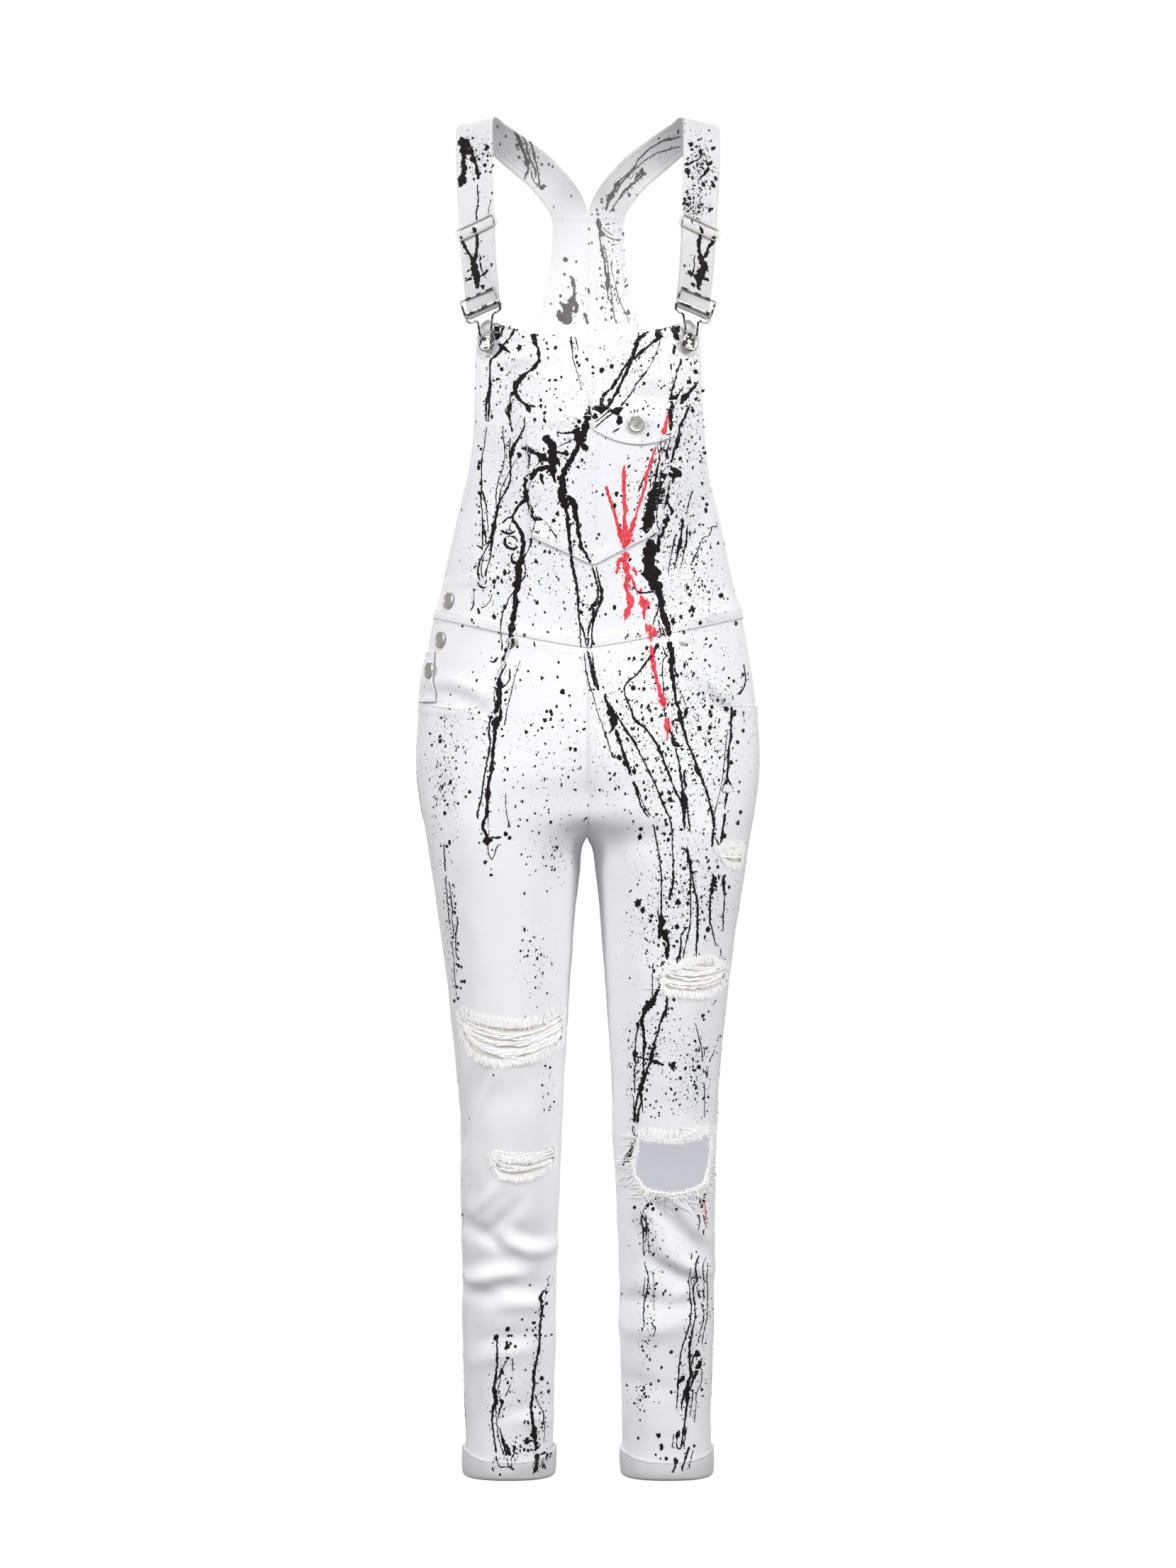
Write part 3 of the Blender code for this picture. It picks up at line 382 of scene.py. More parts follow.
def centre_angle(height, face):
    """Where the ring meets the centre plane or, on a leg of its own, its innermost place."""
    centre, half, _, _ = ring_at(height)
    share = np.maximum(-1.0, -centre / half)
    inner = np.degrees(np.arcsin(power(share, SQUARENESS / 2)))
    return inner if face == FRONT else BACK - inner


def angle_at(across, height, face=FRONT):
    """The angle at which the ring of this height is so far from the centre plane."""
    centre, half, _, _ = ring_at(height)
    share = np.clip((across - centre) / half, -1, 1)
    angle = np.degrees(np.arcsin(power(share, SQUARENESS / 2)))
    return angle if face == FRONT else BACK - angle


def on_front(across, height):
    """Places on the front of the form, from their distance to the centre plane."""
    across = np.asarray(across, float)
    side = np.where(across >= 0, LEFT, RIGHT)
    return worn(side, angle_at(np.abs(across), height), height)


def one_place(found):
    """The first place and facing of what worn or on_front gives, as vectors in millimetres."""
    place, facing = found
    return Vector(place.reshape(-1, 3)[0]), Vector(facing.reshape(-1, 3)[0])


def bib_top(share):
    """Height of the bib's top edge, which dips in a shallow curve to the centre seam."""
    return between(BIB_TOP_CENTRE, BIB_TOP_CORNER, share**1.6)


def waist_height(angle):
    """Height of the waist seam, a shallow V in front and a low rise behind."""
    turn = np.radians(angle)
    middle = np.where(np.cos(turn) > 0, WAIST_FRONT, WAIST_BACK)
    return between(middle, WAIST_SIDE, np.abs(np.sin(turn)))


def scoop_height(side, angle):
    """Height of a front panel's top edge, which leaves the waist seam for the pocket mouth."""
    scoop = SCOOPS[side]
    share = np.maximum(0, (angle - scoop.start) / (OUTSIDE - scoop.start))
    drop = 1 - np.maximum(0.0, 1 - share / scoop.bend) ** 3
    climb = scoop.rise * np.maximum(0.0, share - scoop.bend) / (1 - scoop.bend)
    mouth = between(waist_height(scoop.start), scoop.lowest, drop) + climb
    return np.where(angle <= scoop.start, waist_height(angle), mouth)


# -------------------------------------------------------------------------------- settings


def size(name, text, default, unit="NONE", low=0.0, high=1000.0):
    return bpy.props.FloatProperty(
        name=name, description=text, default=default, min=low, max=high, unit=unit
    )


def colour(name, text, default):
    return bpy.props.FloatVectorProperty(
        name=name, description=text, default=default, size=3, min=0, max=1, subtype="COLOR"
    )


class OverallsCloth(bpy.types.PropertyGroup):
    white: colour("Cloth", "Colour of the denim's outside", (0.87, 0.87, 0.895))
    inside: colour("Inside", "Colour of the denim's inside on the legs", (0.86, 0.86, 0.895))
    # bright: painted light, a separate copy of the denim's colour for the inside of the back and
    # the straps' inner faces, set apart from the outside's to offset the shade that falls there
    bright: colour("Bright", "Colour of the inside of the back and its straps", (0.86, 0.86, 0.87))
    # glow: strength of the painted light, an emission that brightens the shaded inside of the legs
    # and, at half strength, the loose yarn
    glow: size("Glow", "Light that comes through the cloth into the legs", 0.19, high=1)
    thread: colour("Thread", "Colour of the sewing thread", (0.84, 0.84, 0.87))
    crease_depth: size("Crease depth", "How deep the small creases are", 1.6, high=2)
    twill_pitch: size("Twill pitch", "Distance between twill lines", 0.0015, "LENGTH", 0.0005, 0.01)
    stitch_pitch: size("Stitch pitch", "Distance between stitches", 0.0031, "LENGTH", 0.001, 0.01)


class OverallsTears(bpy.types.PropertyGroup):
    weft: colour("Weft", "Colour of the loose white yarn", (0.96, 0.955, 0.95))
    backing: colour("Backing", "Colour of the cloth behind the tears", (0.88, 0.85, 0.80))
    fringe: size("Fringe", "Length of the frayed pile", 0.006, "LENGTH", 0.001, 0.02)
    yarn: size("Yarn", "Radius of one loose yarn", 0.00034, "LENGTH", 0.0001, 0.001)


class OverallsMetal(bpy.types.PropertyGroup):
    nickel: colour("Nickel", "Colour of the buckles and buttons", (0.60, 0.565, 0.52))
    pale: colour("Pale", "Colour of the worn button and rivet", (0.86, 0.84, 0.79))
    shine: size("Roughness", "Roughness of the plating", 0.27, high=1)


class OverallsPaint(bpy.types.PropertyGroup):
    black: colour("Black", "Colour of the black paint", (0.009, 0.0068, 0.0064))
    red: colour("Red", "Colour of the red paint", (0.74, 0.030, 0.052))
    soaked: colour("Soaked", "Colour of the paint on the inside", (0.135, 0.130, 0.128))
    lift: size("Lift", "How far the paint stands off the cloth", 0.00022, "LENGTH", 0, 0.002)
    plenty: size("Plenty", "How much fine spatter there is", 2.5, high=3)


class OverallsStage(bpy.types.PropertyGroup):
    ground: colour("Ground", "Colour of floor and backdrop", (1.0, 1.0, 1.0))
    key: size("Lamps", "Share of every lamp's power", 0.91, high=20)
    fill: size("Fill light", "Strength of the light from all round", 0.43, high=5)


# ------------------------------------------------------------------------------- materials


def node(tree, kind, links=(), **values):
    """Adds a node. links pairs input names with sockets, and values set its properties."""
    made = tree.nodes.new(kind)
    for name, value in values.items():
        setattr(made, name, value)
    for name, value in links:
        if isinstance(value, bpy.types.NodeSocket):
            tree.links.new(value, made.inputs[name])
        else:
            made.inputs[name].default_value = value
    return made


def new_material(name, roughness, metallic=0.0):
    made = bpy.data.materials.new(name)
    made.use_nodes = True
    shader = made.node_tree.nodes["Principled BSDF"]
    shader.inputs["Roughness"].default_value = roughness
    shader.inputs["Metallic"].default_value = metallic
    return made, made.node_tree, shader


def ramp(tree, factor, stops):
    made = node(tree, "ShaderNodeValToRGB", [("Fac", factor)])
    elements = made.color_ramp.elements
    for element, (position, shade) in zip(elements, stops):
        element.position, element.color = position, (*shade, 1)
    for position, shade in stops[2:]:
        elements.new(position).color = (*shade, 1)
    return made.outputs["Color"]


def add_painted_glow(made, base, strength):
    """Painted light: an emission in the colour itself, so the part glows though it is no lamp. It
    stands in for the light that white cloth passes on from behind and that fine yarn scatters among
    itself, and is not sampled as a lamp.
    """
    shader = made.node_tree.nodes["Principled BSDF"]
    shader.inputs["Emission Color"].default_value = (*base, 1)
    shader.inputs["Emission Strength"].default_value = strength
    made.cycles.emission_sampling = "NONE"
    return made


def twill_material(name, base, shade, depth, lines=0.5):
    """Denim: slanting twill lines on the piece's own UVs, slubs, fuzz and slight unevenness."""
    cloth = bpy.context.scene.overalls_cloth
    made, tree, shader = new_material(name, 0.86)
    uv = node(tree, "ShaderNodeUVMap", uv_map="cloth")
    turned = node(
        tree,
        "ShaderNodeMapping",
        [("Vector", uv.outputs["UV"]), ("Rotation", (0, 0, math.radians(35)))],
    )
    wave = node(
        tree,
        "ShaderNodeTexWave",
        [
            ("Vector", turned.outputs["Vector"]),
            ("Scale", math.pi / 10 / cloth.twill_pitch),
            ("Distortion", 1.4),
            ("Detail", 2.0),
            ("Detail Scale", 0.6),
        ],
        wave_type="BANDS",
        bands_direction="X",
    )
    place = node(tree, "ShaderNodeTexCoord").outputs["Object"]
    fuzz = node(
        tree, "ShaderNodeTexNoise", [("Vector", place), ("Scale", 900), ("Detail", 3)]
    )
    cloud = node(
        tree, "ShaderNodeTexNoise", [("Vector", place), ("Scale", 16), ("Detail", 4)]
    )
    fine = ramp(tree, wave.outputs["Fac"], [(0.25, shade), (0.6, base)])
    plain = ramp(
        tree, cloud.outputs["Fac"], [(0.35, [c * 0.975 for c in base]), (0.62, base)]
    )
    mixed = node(tree, "ShaderNodeMix", data_type="RGBA")
    mixed.inputs[0].default_value = lines
    tree.links.new(plain, mixed.inputs[6])
    tree.links.new(fine, mixed.inputs[7])
    tree.links.new(mixed.outputs[2], shader.inputs["Base Color"])
    weave = node(
        tree,
        "ShaderNodeMath",
        [(0, wave.outputs["Fac"]), (1, fuzz.outputs["Fac"])],
        operation="ADD",
    )
    bump = node(
        tree,
        "ShaderNodeBump",
        [("Height", weave.outputs["Value"]), ("Strength", depth), ("Distance", 0.0003)],
    )
    tree.links.new(bump.outputs["Normal"], shader.inputs["Normal"])
    shader.inputs["Sheen Weight"].default_value = 0.08
    shader.inputs["Sheen Roughness"].default_value = 0.5
    return made


def yarn_material(name, base):
    """Soft spun yarn: slightly uneven in tone, with a fibrous surface."""
    made, tree, shader = new_material(name, 0.9)
    place = node(tree, "ShaderNodeTexCoord").outputs["Object"]
    fibre = node(
        tree, "ShaderNodeTexNoise", [("Vector", place), ("Scale", 700), ("Detail", 3)]
    )
    tone = ramp(
        tree, fibre.outputs["Fac"], [(0.3, [c * 0.94 for c in base]), (0.6, base)]
    )
    tree.links.new(tone, shader.inputs["Base Color"])
    bump = node(
        tree,
        "ShaderNodeBump",
        [("Height", fibre.outputs["Fac"]), ("Strength", 0.25), ("Distance", 0.0002)],
    )
    tree.links.new(bump.outputs["Normal"], shader.inputs["Normal"])
    shader.inputs["Sheen Weight"].default_value = 0.15
    return made


def paint_material(name, base, thin):
    """Paint soaked into cloth: a near-even colour, thinner at places, over a woven surface."""
    made, tree, shader = new_material(name, 0.62)
    shader.inputs["Specular IOR Level"].default_value = 0.12
    place = node(tree, "ShaderNodeTexCoord").outputs["Object"]
    streak = node(
        tree, "ShaderNodeTexNoise", [("Vector", place), ("Scale", 260), ("Detail", 4)]
    )
    tone = ramp(tree, streak.outputs["Fac"], [(0.36, base), (0.75, thin)])
    tree.links.new(tone, shader.inputs["Base Color"])
    bump = node(
        tree,
        "ShaderNodeBump",
        [("Height", streak.outputs["Fac"]), ("Strength", 0.3), ("Distance", 0.0002)],
    )
    tree.links.new(bump.outputs["Normal"], shader.inputs["Normal"])
    return made


def metal_material(name, base, paint=None):
    """Plate with fine scratches and, where paint is given, dried spots of it."""
    metal = bpy.context.scene.overalls_metal
    made, tree, shader = new_material(name, metal.shine, 1.0)
    place = node(tree, "ShaderNodeTexCoord").outputs["Object"]
    grime = node(
        tree, "ShaderNodeTexNoise", [("Vector", place), ("Scale", 190), ("Detail", 5)]
    )
    tone = ramp(
        tree, grime.outputs["Fac"], [(0.3, [c * 0.62 for c in base]), (0.58, base)]
    )
    rough = node(
        tree,
        "ShaderNodeMapRange",
        [("Value", grime.outputs["Fac"]), ("To Min", metal.shine - 0.06), ("To Max", 0.44)],
    )
    metallic = None
    if paint is not None:
        spots = node(
            tree, "ShaderNodeTexNoise", [("Vector", place), ("Scale", 118), ("Detail", 2.5)]
        )
        mask = ramp(tree, spots.outputs["Fac"], [(0.49, (0, 0, 0)), (0.515, (1, 1, 1))])
        mixed = node(tree, "ShaderNodeMix", data_type="RGBA")
        tree.links.new(mask, mixed.inputs[0])
        tree.links.new(tone, mixed.inputs[6])
        mixed.inputs[7].default_value = (*paint, 1)
        tone = mixed.outputs[2]
        metallic = node(tree, "ShaderNodeMath", [(0, 1.0), (1, mask)], operation="SUBTRACT")
        tree.links.new(metallic.outputs["Value"], shader.inputs["Metallic"])
    tree.links.new(tone, shader.inputs["Base Color"])
    tree.links.new(rough.outputs["Result"], shader.inputs["Roughness"])
    bump = node(
        tree,
        "ShaderNodeBump",
        [("Height", grime.outputs["Fac"]), ("Strength", 0.12), ("Distance", 0.0002)],
    )
    tree.links.new(bump.outputs["Normal"], shader.inputs["Normal"])
    return made


def finish(name):
    """The material of this name, which is made when it is first asked for."""
    if name in bpy.data.materials:
        return bpy.data.materials[name]
    scene = bpy.context.scene
    cloth, tears, paint = scene.overalls_cloth, scene.overalls_tears, scene.overalls_paint
    white, inside, bright = tuple(cloth.white), tuple(cloth.inside), tuple(cloth.bright)
    nickel, pale = tuple(scene.overalls_metal.nickel), tuple(scene.overalls_metal.pale)
    weft, glow = tuple(tears.weft), cloth.glow
    makers = {
        "white_denim": lambda: twill_material(name, white, [c * 0.93 for c in white], 0.25),
        # Painted shade: a darker copy of the denim for the straps' outer faces and the turn-ups. It
        # darkens what the lamps light too strongly there: the straps' upward faces, and the
        # turn-ups, where the light falls off towards the floor.
        "strap_denim": lambda: twill_material(
            name, [c * 0.79 for c in white], [c * 0.68 for c in white], 0.35, 0.7
        ),
        # Painted light: a copy of the denim for the inside of the back and of the straps, whose
        # colour is set to offset the shade there.
        "bright_denim": lambda: twill_material(name, bright, [c * 0.95 for c in bright], 0.25),
        # The inside of the legs carries a painted glow, an emission that lifts the shade inside
        # them.
        "inside_denim": lambda: add_painted_glow(
            twill_material(name, inside, [c * 0.76 for c in inside], 0.5, 0.9), inside, glow
        ),
        "sewing_thread": lambda: yarn_material(name, tuple(cloth.thread)),
        # The loose yarn carries half the painted glow, an emission that lifts the shade among its
        # fibres.
        "weft_yarn": lambda: add_painted_glow(yarn_material(name, weft), weft, 0.5 * glow),
        "backing_cloth": lambda: yarn_material(name, tuple(tears.backing)),
        "black_paint": lambda: paint_material(name, tuple(paint.black), (0.018, 0.014, 0.013)),
        "red_paint": lambda: paint_material(name, tuple(paint.red), (0.84, 0.14, 0.15)),
        "soaked_paint": lambda: paint_material(name, tuple(paint.soaked), (0.2, 0.195, 0.195)),
        "nickel": lambda: metal_material(name, nickel),
        "pale_nickel": lambda: metal_material(name, pale),
        "spotted_nickel": lambda: metal_material(name, nickel, tuple(paint.black)),
    }
    return makers[name]()


# ----------------------------------------------------------------------- making of meshes

PIECES = {}  # every finished piece by name
SKINS = {}  # the outer face of every cloth piece, as a grid of places and facings


def keep(name, mesh, finishes, replaced=()):
    """Makes the piece that rides on the one body, with its materials and its CAD nodes."""
    piece = bpy.data.objects.new(f"{name}_made", mesh)
    bpy.context.scene.collection.objects.link(piece)
    if mesh.materials:
        mesh.materials.clear()
    for each in finishes:
        mesh.materials.append(finish(each))
    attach(piece, "root")
    if replaced:
        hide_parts(*replaced)
    PIECES[name] = piece
    return piece


def mesh_from(name, places, faces, smooth=True):
    """A mesh of places in millimetres."""
    mesh = bpy.data.meshes.new(name)
    mesh.from_pydata((np.asarray(places, float) * MM).tolist(), [], faces)
    mesh.validate()
    if smooth:
        mesh.shade_smooth()
    return mesh


def steps_between(length, pitch, marks=(0, 1), edge=12.0, fine=1.1):
    """Shares along a length, whose steps are fine near the marks and wider between them."""
    at = np.linspace(0, 1, 2000)
    gap = np.min([np.abs(at - mark) for mark in marks], axis=0) * length
    step = between(fine, pitch, eased(edge - 2, edge + 4, gap))
    crowd = (1 / step[1:] + 1 / step[:-1]) / 2 * length / (len(at) - 1)
    count = np.concatenate([[0], np.cumsum(crowd)])
    whole = max(2, round(count[-1]))
    return np.interp(np.linspace(0, count[-1], whole + 1), count, at)


def run_from(place, axis):
    """Distance of each place from the grid's first row or column, along the cloth."""
    steps = np.linalg.norm(np.diff(place, axis=axis), axis=-1)
    first = np.zeros_like(np.take(steps, [0], axis=axis))
    return np.concatenate([first, np.cumsum(steps, axis=axis)], axis=axis)


def grid_facing(place, facing):
    """Facings of a grid after its relief, on the same side as before."""
    down, over = np.gradient(place, axis=0), np.gradient(place, axis=1)
    fresh = unit(np.cross(over, down))
    turn = np.sign(np.sum(fresh * facing, axis=-1, keepdims=True))
    return fresh * np.where(turn == 0, 1, turn)


FOLDED = "folded"  # folded double, standing a little proud, with a rounded rim
LAPPED = "lapped"  # lies over its neighbour along a felled seam
TUCKED = "tucked"  # dips under its neighbour
PLAIN = "plain"  # ends as it lies
FOLD_DEPTH = 10.0  # width of the fold along a folded or lapped edge
Relief = namedtuple("Relief", "top foot start end", defaults=(PLAIN,) * 4)


def edge_relief(kind, distance):
    """Rise of the cloth so far from an edge of this kind."""
    if kind == FOLDED:
        ridge = 0.55 * (1 - eased(FOLD_DEPTH - 1, FOLD_DEPTH + 1.2, distance))
        rows = np.exp(-(((distance - 2.2) / 0.9) ** 2)) + np.exp(-(((distance - 8.2) / 0.9) ** 2))
        return ridge - 0.32 * rows
    if kind == LAPPED:
        ridge = 0.6 * (1 - eased(FOLD_DEPTH, FOLD_DEPTH + 1.6, distance))
        rows = np.exp(-(((distance - 2.4) / 0.9) ** 2)) + np.exp(-(((distance - 8.4) / 0.9) ** 2))
        return ridge - 0.3 * rows - 0.5 * np.exp(-((distance / 0.8) ** 2))
    if kind == TUCKED:
        return -0.9 * np.exp(-((distance / 1.6) ** 2))
    return np.zeros(np.shape(distance))


def puckers(run, distance, seed):
    """Small waves that the stitches draw into a seam, along it by run."""
    wave = np.sin(run * 2 * math.pi / 9.3 + seed) + 0.7 * np.sin(run * 2 * math.pi / 5.9 + 2 * seed)
    return 0.17 * wave * np.exp(-(((distance - 5) / 5) ** 2))


def shell(name, grid, lift=0.0, wall=CLOTH, relief=Relief(), rise=None, nodes=(), finishes=None):
    """A closed thin wall of cloth over a grid of (places, facings), with its seams in relief.

    Its outer face is lift above the grid, and rise adds to that at each place. The rim is
    rounded. The outer face is kept in SKINS for stitches.
    """
    place, facing = grid
    over, down = run_from(place, 1), run_from(place, 0)
    total = np.full(over.shape, float(lift)) + (0 if rise is None else rise)
    lengths = {
        "top": down,
        "foot": down[-1:] - down,
        "start": over,
        "end": over[:, -1:] - over,
    }
    for seed, (edge, distance) in enumerate(lengths.items()):
        kind = getattr(relief, edge)
        total = total + edge_relief(kind, distance)
        if kind in (FOLDED, LAPPED):
            total = total + puckers(over if edge in ("top", "foot") else down, distance, seed)
    outer = place + facing * total[..., None]
    facing = grid_facing(outer, facing)
    inner = outer - facing * wall
    SKINS[name] = (outer, facing)
    rows, columns = over.shape
    count = rows * columns
    number = np.arange(count).reshape(rows, columns)
    corners = [number[:-1, :-1], number[:-1, 1:], number[1:, 1:], number[1:, :-1]]
    quads = np.stack([c.ravel() for c in corners], axis=1)
    cross = np.cross(outer[:-1, 1:] - outer[:-1, :-1], outer[1:, :-1] - outer[:-1, :-1])
    inward = np.sum(cross * facing[:-1, :-1]) < 0
    loop = [*number[0, :-1], *number[:-1, -1], *number[-1, :0:-1], *number[:0:-1, 0]]
    flat_outer, flat_inner = outer.reshape(-1, 3), inner.reshape(-1, 3)
    away = np.zeros((count, 3))
    grid_away = away.reshape(rows, columns, 3)
    grid_away[0] += unit(outer[0] - outer[1])
    grid_away[-1] += unit(outer[-1] - outer[-2])
    grid_away[:, 0] += unit(outer[:, 0] - outer[:, 1])
    grid_away[:, -1] += unit(outer[:, -1] - outer[:, -2])
    rim = (flat_outer[loop] + flat_inner[loop]) / 2 + unit(away[loop]) * wall * 0.42
    faces = quads.tolist() + (quads[:, ::-1] + count).tolist()
    for k, a in enumerate(loop):
        n = (k + 1) % len(loop)
        b = loop[n]
        faces.append([b, a, 2 * count + k, 2 * count + n])
        faces.append([2 * count + n, 2 * count + k, a + count, b + count])
    if inward:
        faces = [face[::-1] for face in faces]
    mesh = mesh_from(name, np.concatenate([flat_outer, flat_inner, rim]), faces)
    middle = over[:, columns // 2][:, None]
    spread = np.stack([over - middle, -down], axis=-1).reshape(-1, 2) * MM
    spread = np.concatenate([spread, spread, spread[loop]])
    layer = mesh.uv_layers.new(name="cloth")
    corner = np.zeros(len(mesh.loops), np.int32)
    mesh.loops.foreach_get("vertex_index", corner)
    layer.data.foreach_set("uv", spread[corner].astype(np.float32).ravel())
    is_inner = np.zeros(len(mesh.polygons), np.int32)
    is_inner[len(quads) : 2 * len(quads)] = 1
    mesh.polygons.foreach_set("material_index", is_inner)
    return keep(name, mesh, finishes or ("white_denim", "white_denim"), nodes)


def tube(points, radius, sides=6, closed=False):
    """Places and faces of a round bar. radius is a number or one for each point."""
    points = np.asarray(points, float)
    count = len(points)
    radii = np.broadcast_to(np.asarray(radius, float), (count,))
    ahead = np.roll(points, -1, axis=0) - np.roll(points, 1, axis=0)
    if not closed:
        ahead[0], ahead[-1] = points[1] - points[0], points[-1] - points[-2]
    ahead = unit(ahead)
    frame_x = np.zeros_like(points)
    first = np.array(Vector(ahead[0]).orthogonal().normalized())
    for i in range(count):
        first = first - ahead[i] * (first @ ahead[i])
        first = first / np.linalg.norm(first)
        frame_x[i] = first
    frame_y = np.cross(ahead, frame_x)
    if closed:  # the twist that is left over at the join is spread along the bar
        last = frame_x[-1] - ahead[0] * (frame_x[-1] @ ahead[0])
        twist = math.atan2(last @ frame_y[0], last @ frame_x[0])
        turn = -twist * np.arange(count) / count
        cosine, sine = np.cos(turn)[:, None], np.sin(turn)[:, None]
        frame_x, frame_y = (
            frame_x * cosine + frame_y * sine,
            frame_y * cosine - frame_x * sine,
        )
    places = []
    for k in range(sides):
        a = 2 * math.pi * k / sides
        places.append(points + (frame_x * math.cos(a) + frame_y * math.sin(a)) * radii[:, None])
    places = np.stack(places, axis=1).reshape(-1, 3)
    faces = []
    for i in range(count if closed else count - 1):
        j = (i + 1) % count
        for k in range(sides):
            n = (k + 1) % sides
            faces.append([i * sides + k, i * sides + n, j * sides + n, j * sides + k])
    if not closed:
        faces.append(list(range(sides))[::-1])
        faces.append([(count - 1) * sides + k for k in range(sides)])
    return places, faces


def joined(parts):
    """Several (places, faces) as one."""
    places, faces, start = [], [], 0
    for part_places, part_faces in parts:
        places.append(np.asarray(part_places, float))
        faces += [[start + v for v in face] for face in part_faces]
        start += len(part_places)
    return np.concatenate(places), faces


def smoothed(points, steps, closed=False):
    """A Catmull-Rom curve through points, with steps places between each two."""
    points = np.asarray(points, float)
    count = len(points)
    found = []
    for i in range(count if closed else count - 1):
        if closed:
            a, b, c, d = (points[(i + k) % count] for k in (-1, 0, 1, 2))
        else:
            a, b = points[max(i - 1, 0)], points[i]
            c, d = points[i + 1], points[min(i + 2, count - 1)]
        for k in range(steps):
            t = k / steps
            found.append(
                0.5
                * (
                    2 * b
                    + (c - a) * t
                    + (2 * a - 5 * b + 4 * c - d) * t * t
                    + (3 * b - a - 3 * c + d) * t**3
                )
            )
    if not closed:
        found.append(points[-1])
    return np.array(found)


def evaluated_mesh(piece):
    """What the piece's modifiers make, as a plain mesh."""
    graph = bpy.context.evaluated_depsgraph_get()
    return bpy.data.meshes.new_from_object(piece.evaluated_get(graph))


# A tree of Geometry Nodes that puts a shape on every point, for stitches, pile and spatter.
SPOT_TREE = "shapes_on_points"


def spot_tree():
    if SPOT_TREE in bpy.data.node_groups:
        return bpy.data.node_groups[SPOT_TREE]
    tree = bpy.data.node_groups.new(SPOT_TREE, "GeometryNodeTree")
    face = tree.interface
    for name, kind in (
        ("Geometry", "NodeSocketGeometry"),
        ("Shapes", "NodeSocketCollection"),
        ("Scale", "NodeSocketFloat"),
        ("Spread", "NodeSocketFloat"),
        ("Seed", "NodeSocketInt"),
        ("Finish", "NodeSocketMaterial"),
    ):
        face.new_socket(name, in_out="INPUT", socket_type=kind)
    face.new_socket("Geometry", in_out="OUTPUT", socket_type="NodeSocketGeometry")
    given = node(tree, "NodeGroupInput").outputs

    def stored(name, kind):
        return node(tree, "GeometryNodeInputNamedAttribute", [("Name", name)], data_type=kind)

    turn = node(
        tree, "FunctionNodeEulerToRotation", [("Euler", stored("turn", "FLOAT_VECTOR").outputs[0])]
    )
    shapes = node(
        tree,
        "GeometryNodeCollectionInfo",
        [("Collection", given["Shapes"]), ("Separate Children", True), ("Reset Children", True)],
    )
    chance = node(tree, "FunctionNodeRandomValue", [("Seed", given["Seed"])], data_type="FLOAT")
    low = node(tree, "ShaderNodeMath", [(0, 1.0), (1, given["Spread"])], operation="SUBTRACT")
    high = node(tree, "ShaderNodeMath", [(0, 1.0), (1, given["Spread"])], operation="ADD")
    tree.links.new(low.outputs[0], chance.inputs[2])
    tree.links.new(high.outputs[0], chance.inputs[3])
    scale = node(
        tree,
        "ShaderNodeMath",
        [(0, chance.outputs[1]), (1, given["Scale"])],
        operation="MULTIPLY",
    )
    extent = node(
        tree,
        "ShaderNodeVectorMath",
        [(0, stored("extent", "FLOAT_VECTOR").outputs[0])],
        operation="SCALE",
    )
    tree.links.new(scale.outputs[0], extent.inputs["Scale"])
    spots = node(
        tree,
        "GeometryNodeInstanceOnPoints",
        [
            ("Points", given["Geometry"]),
            ("Instance", shapes.outputs["Instances"]),
            ("Pick Instance", True),
            ("Instance Index", stored("kind", "INT").outputs[0]),
            ("Rotation", turn.outputs[0]),
            ("Scale", extent.outputs[0]),
        ],
    )
    real = node(tree, "GeometryNodeRealizeInstances", [("Geometry", spots.outputs[0])])
    painted = node(
        tree,
        "GeometryNodeSetMaterial",
        [("Geometry", real.outputs[0]), ("Material", given["Finish"])],
    )
    node(tree, "NodeGroupOutput", [("Geometry", painted.outputs[0])])
    return tree


Spot = namedtuple("Spot", "place along facing extent kind", defaults=(0,))


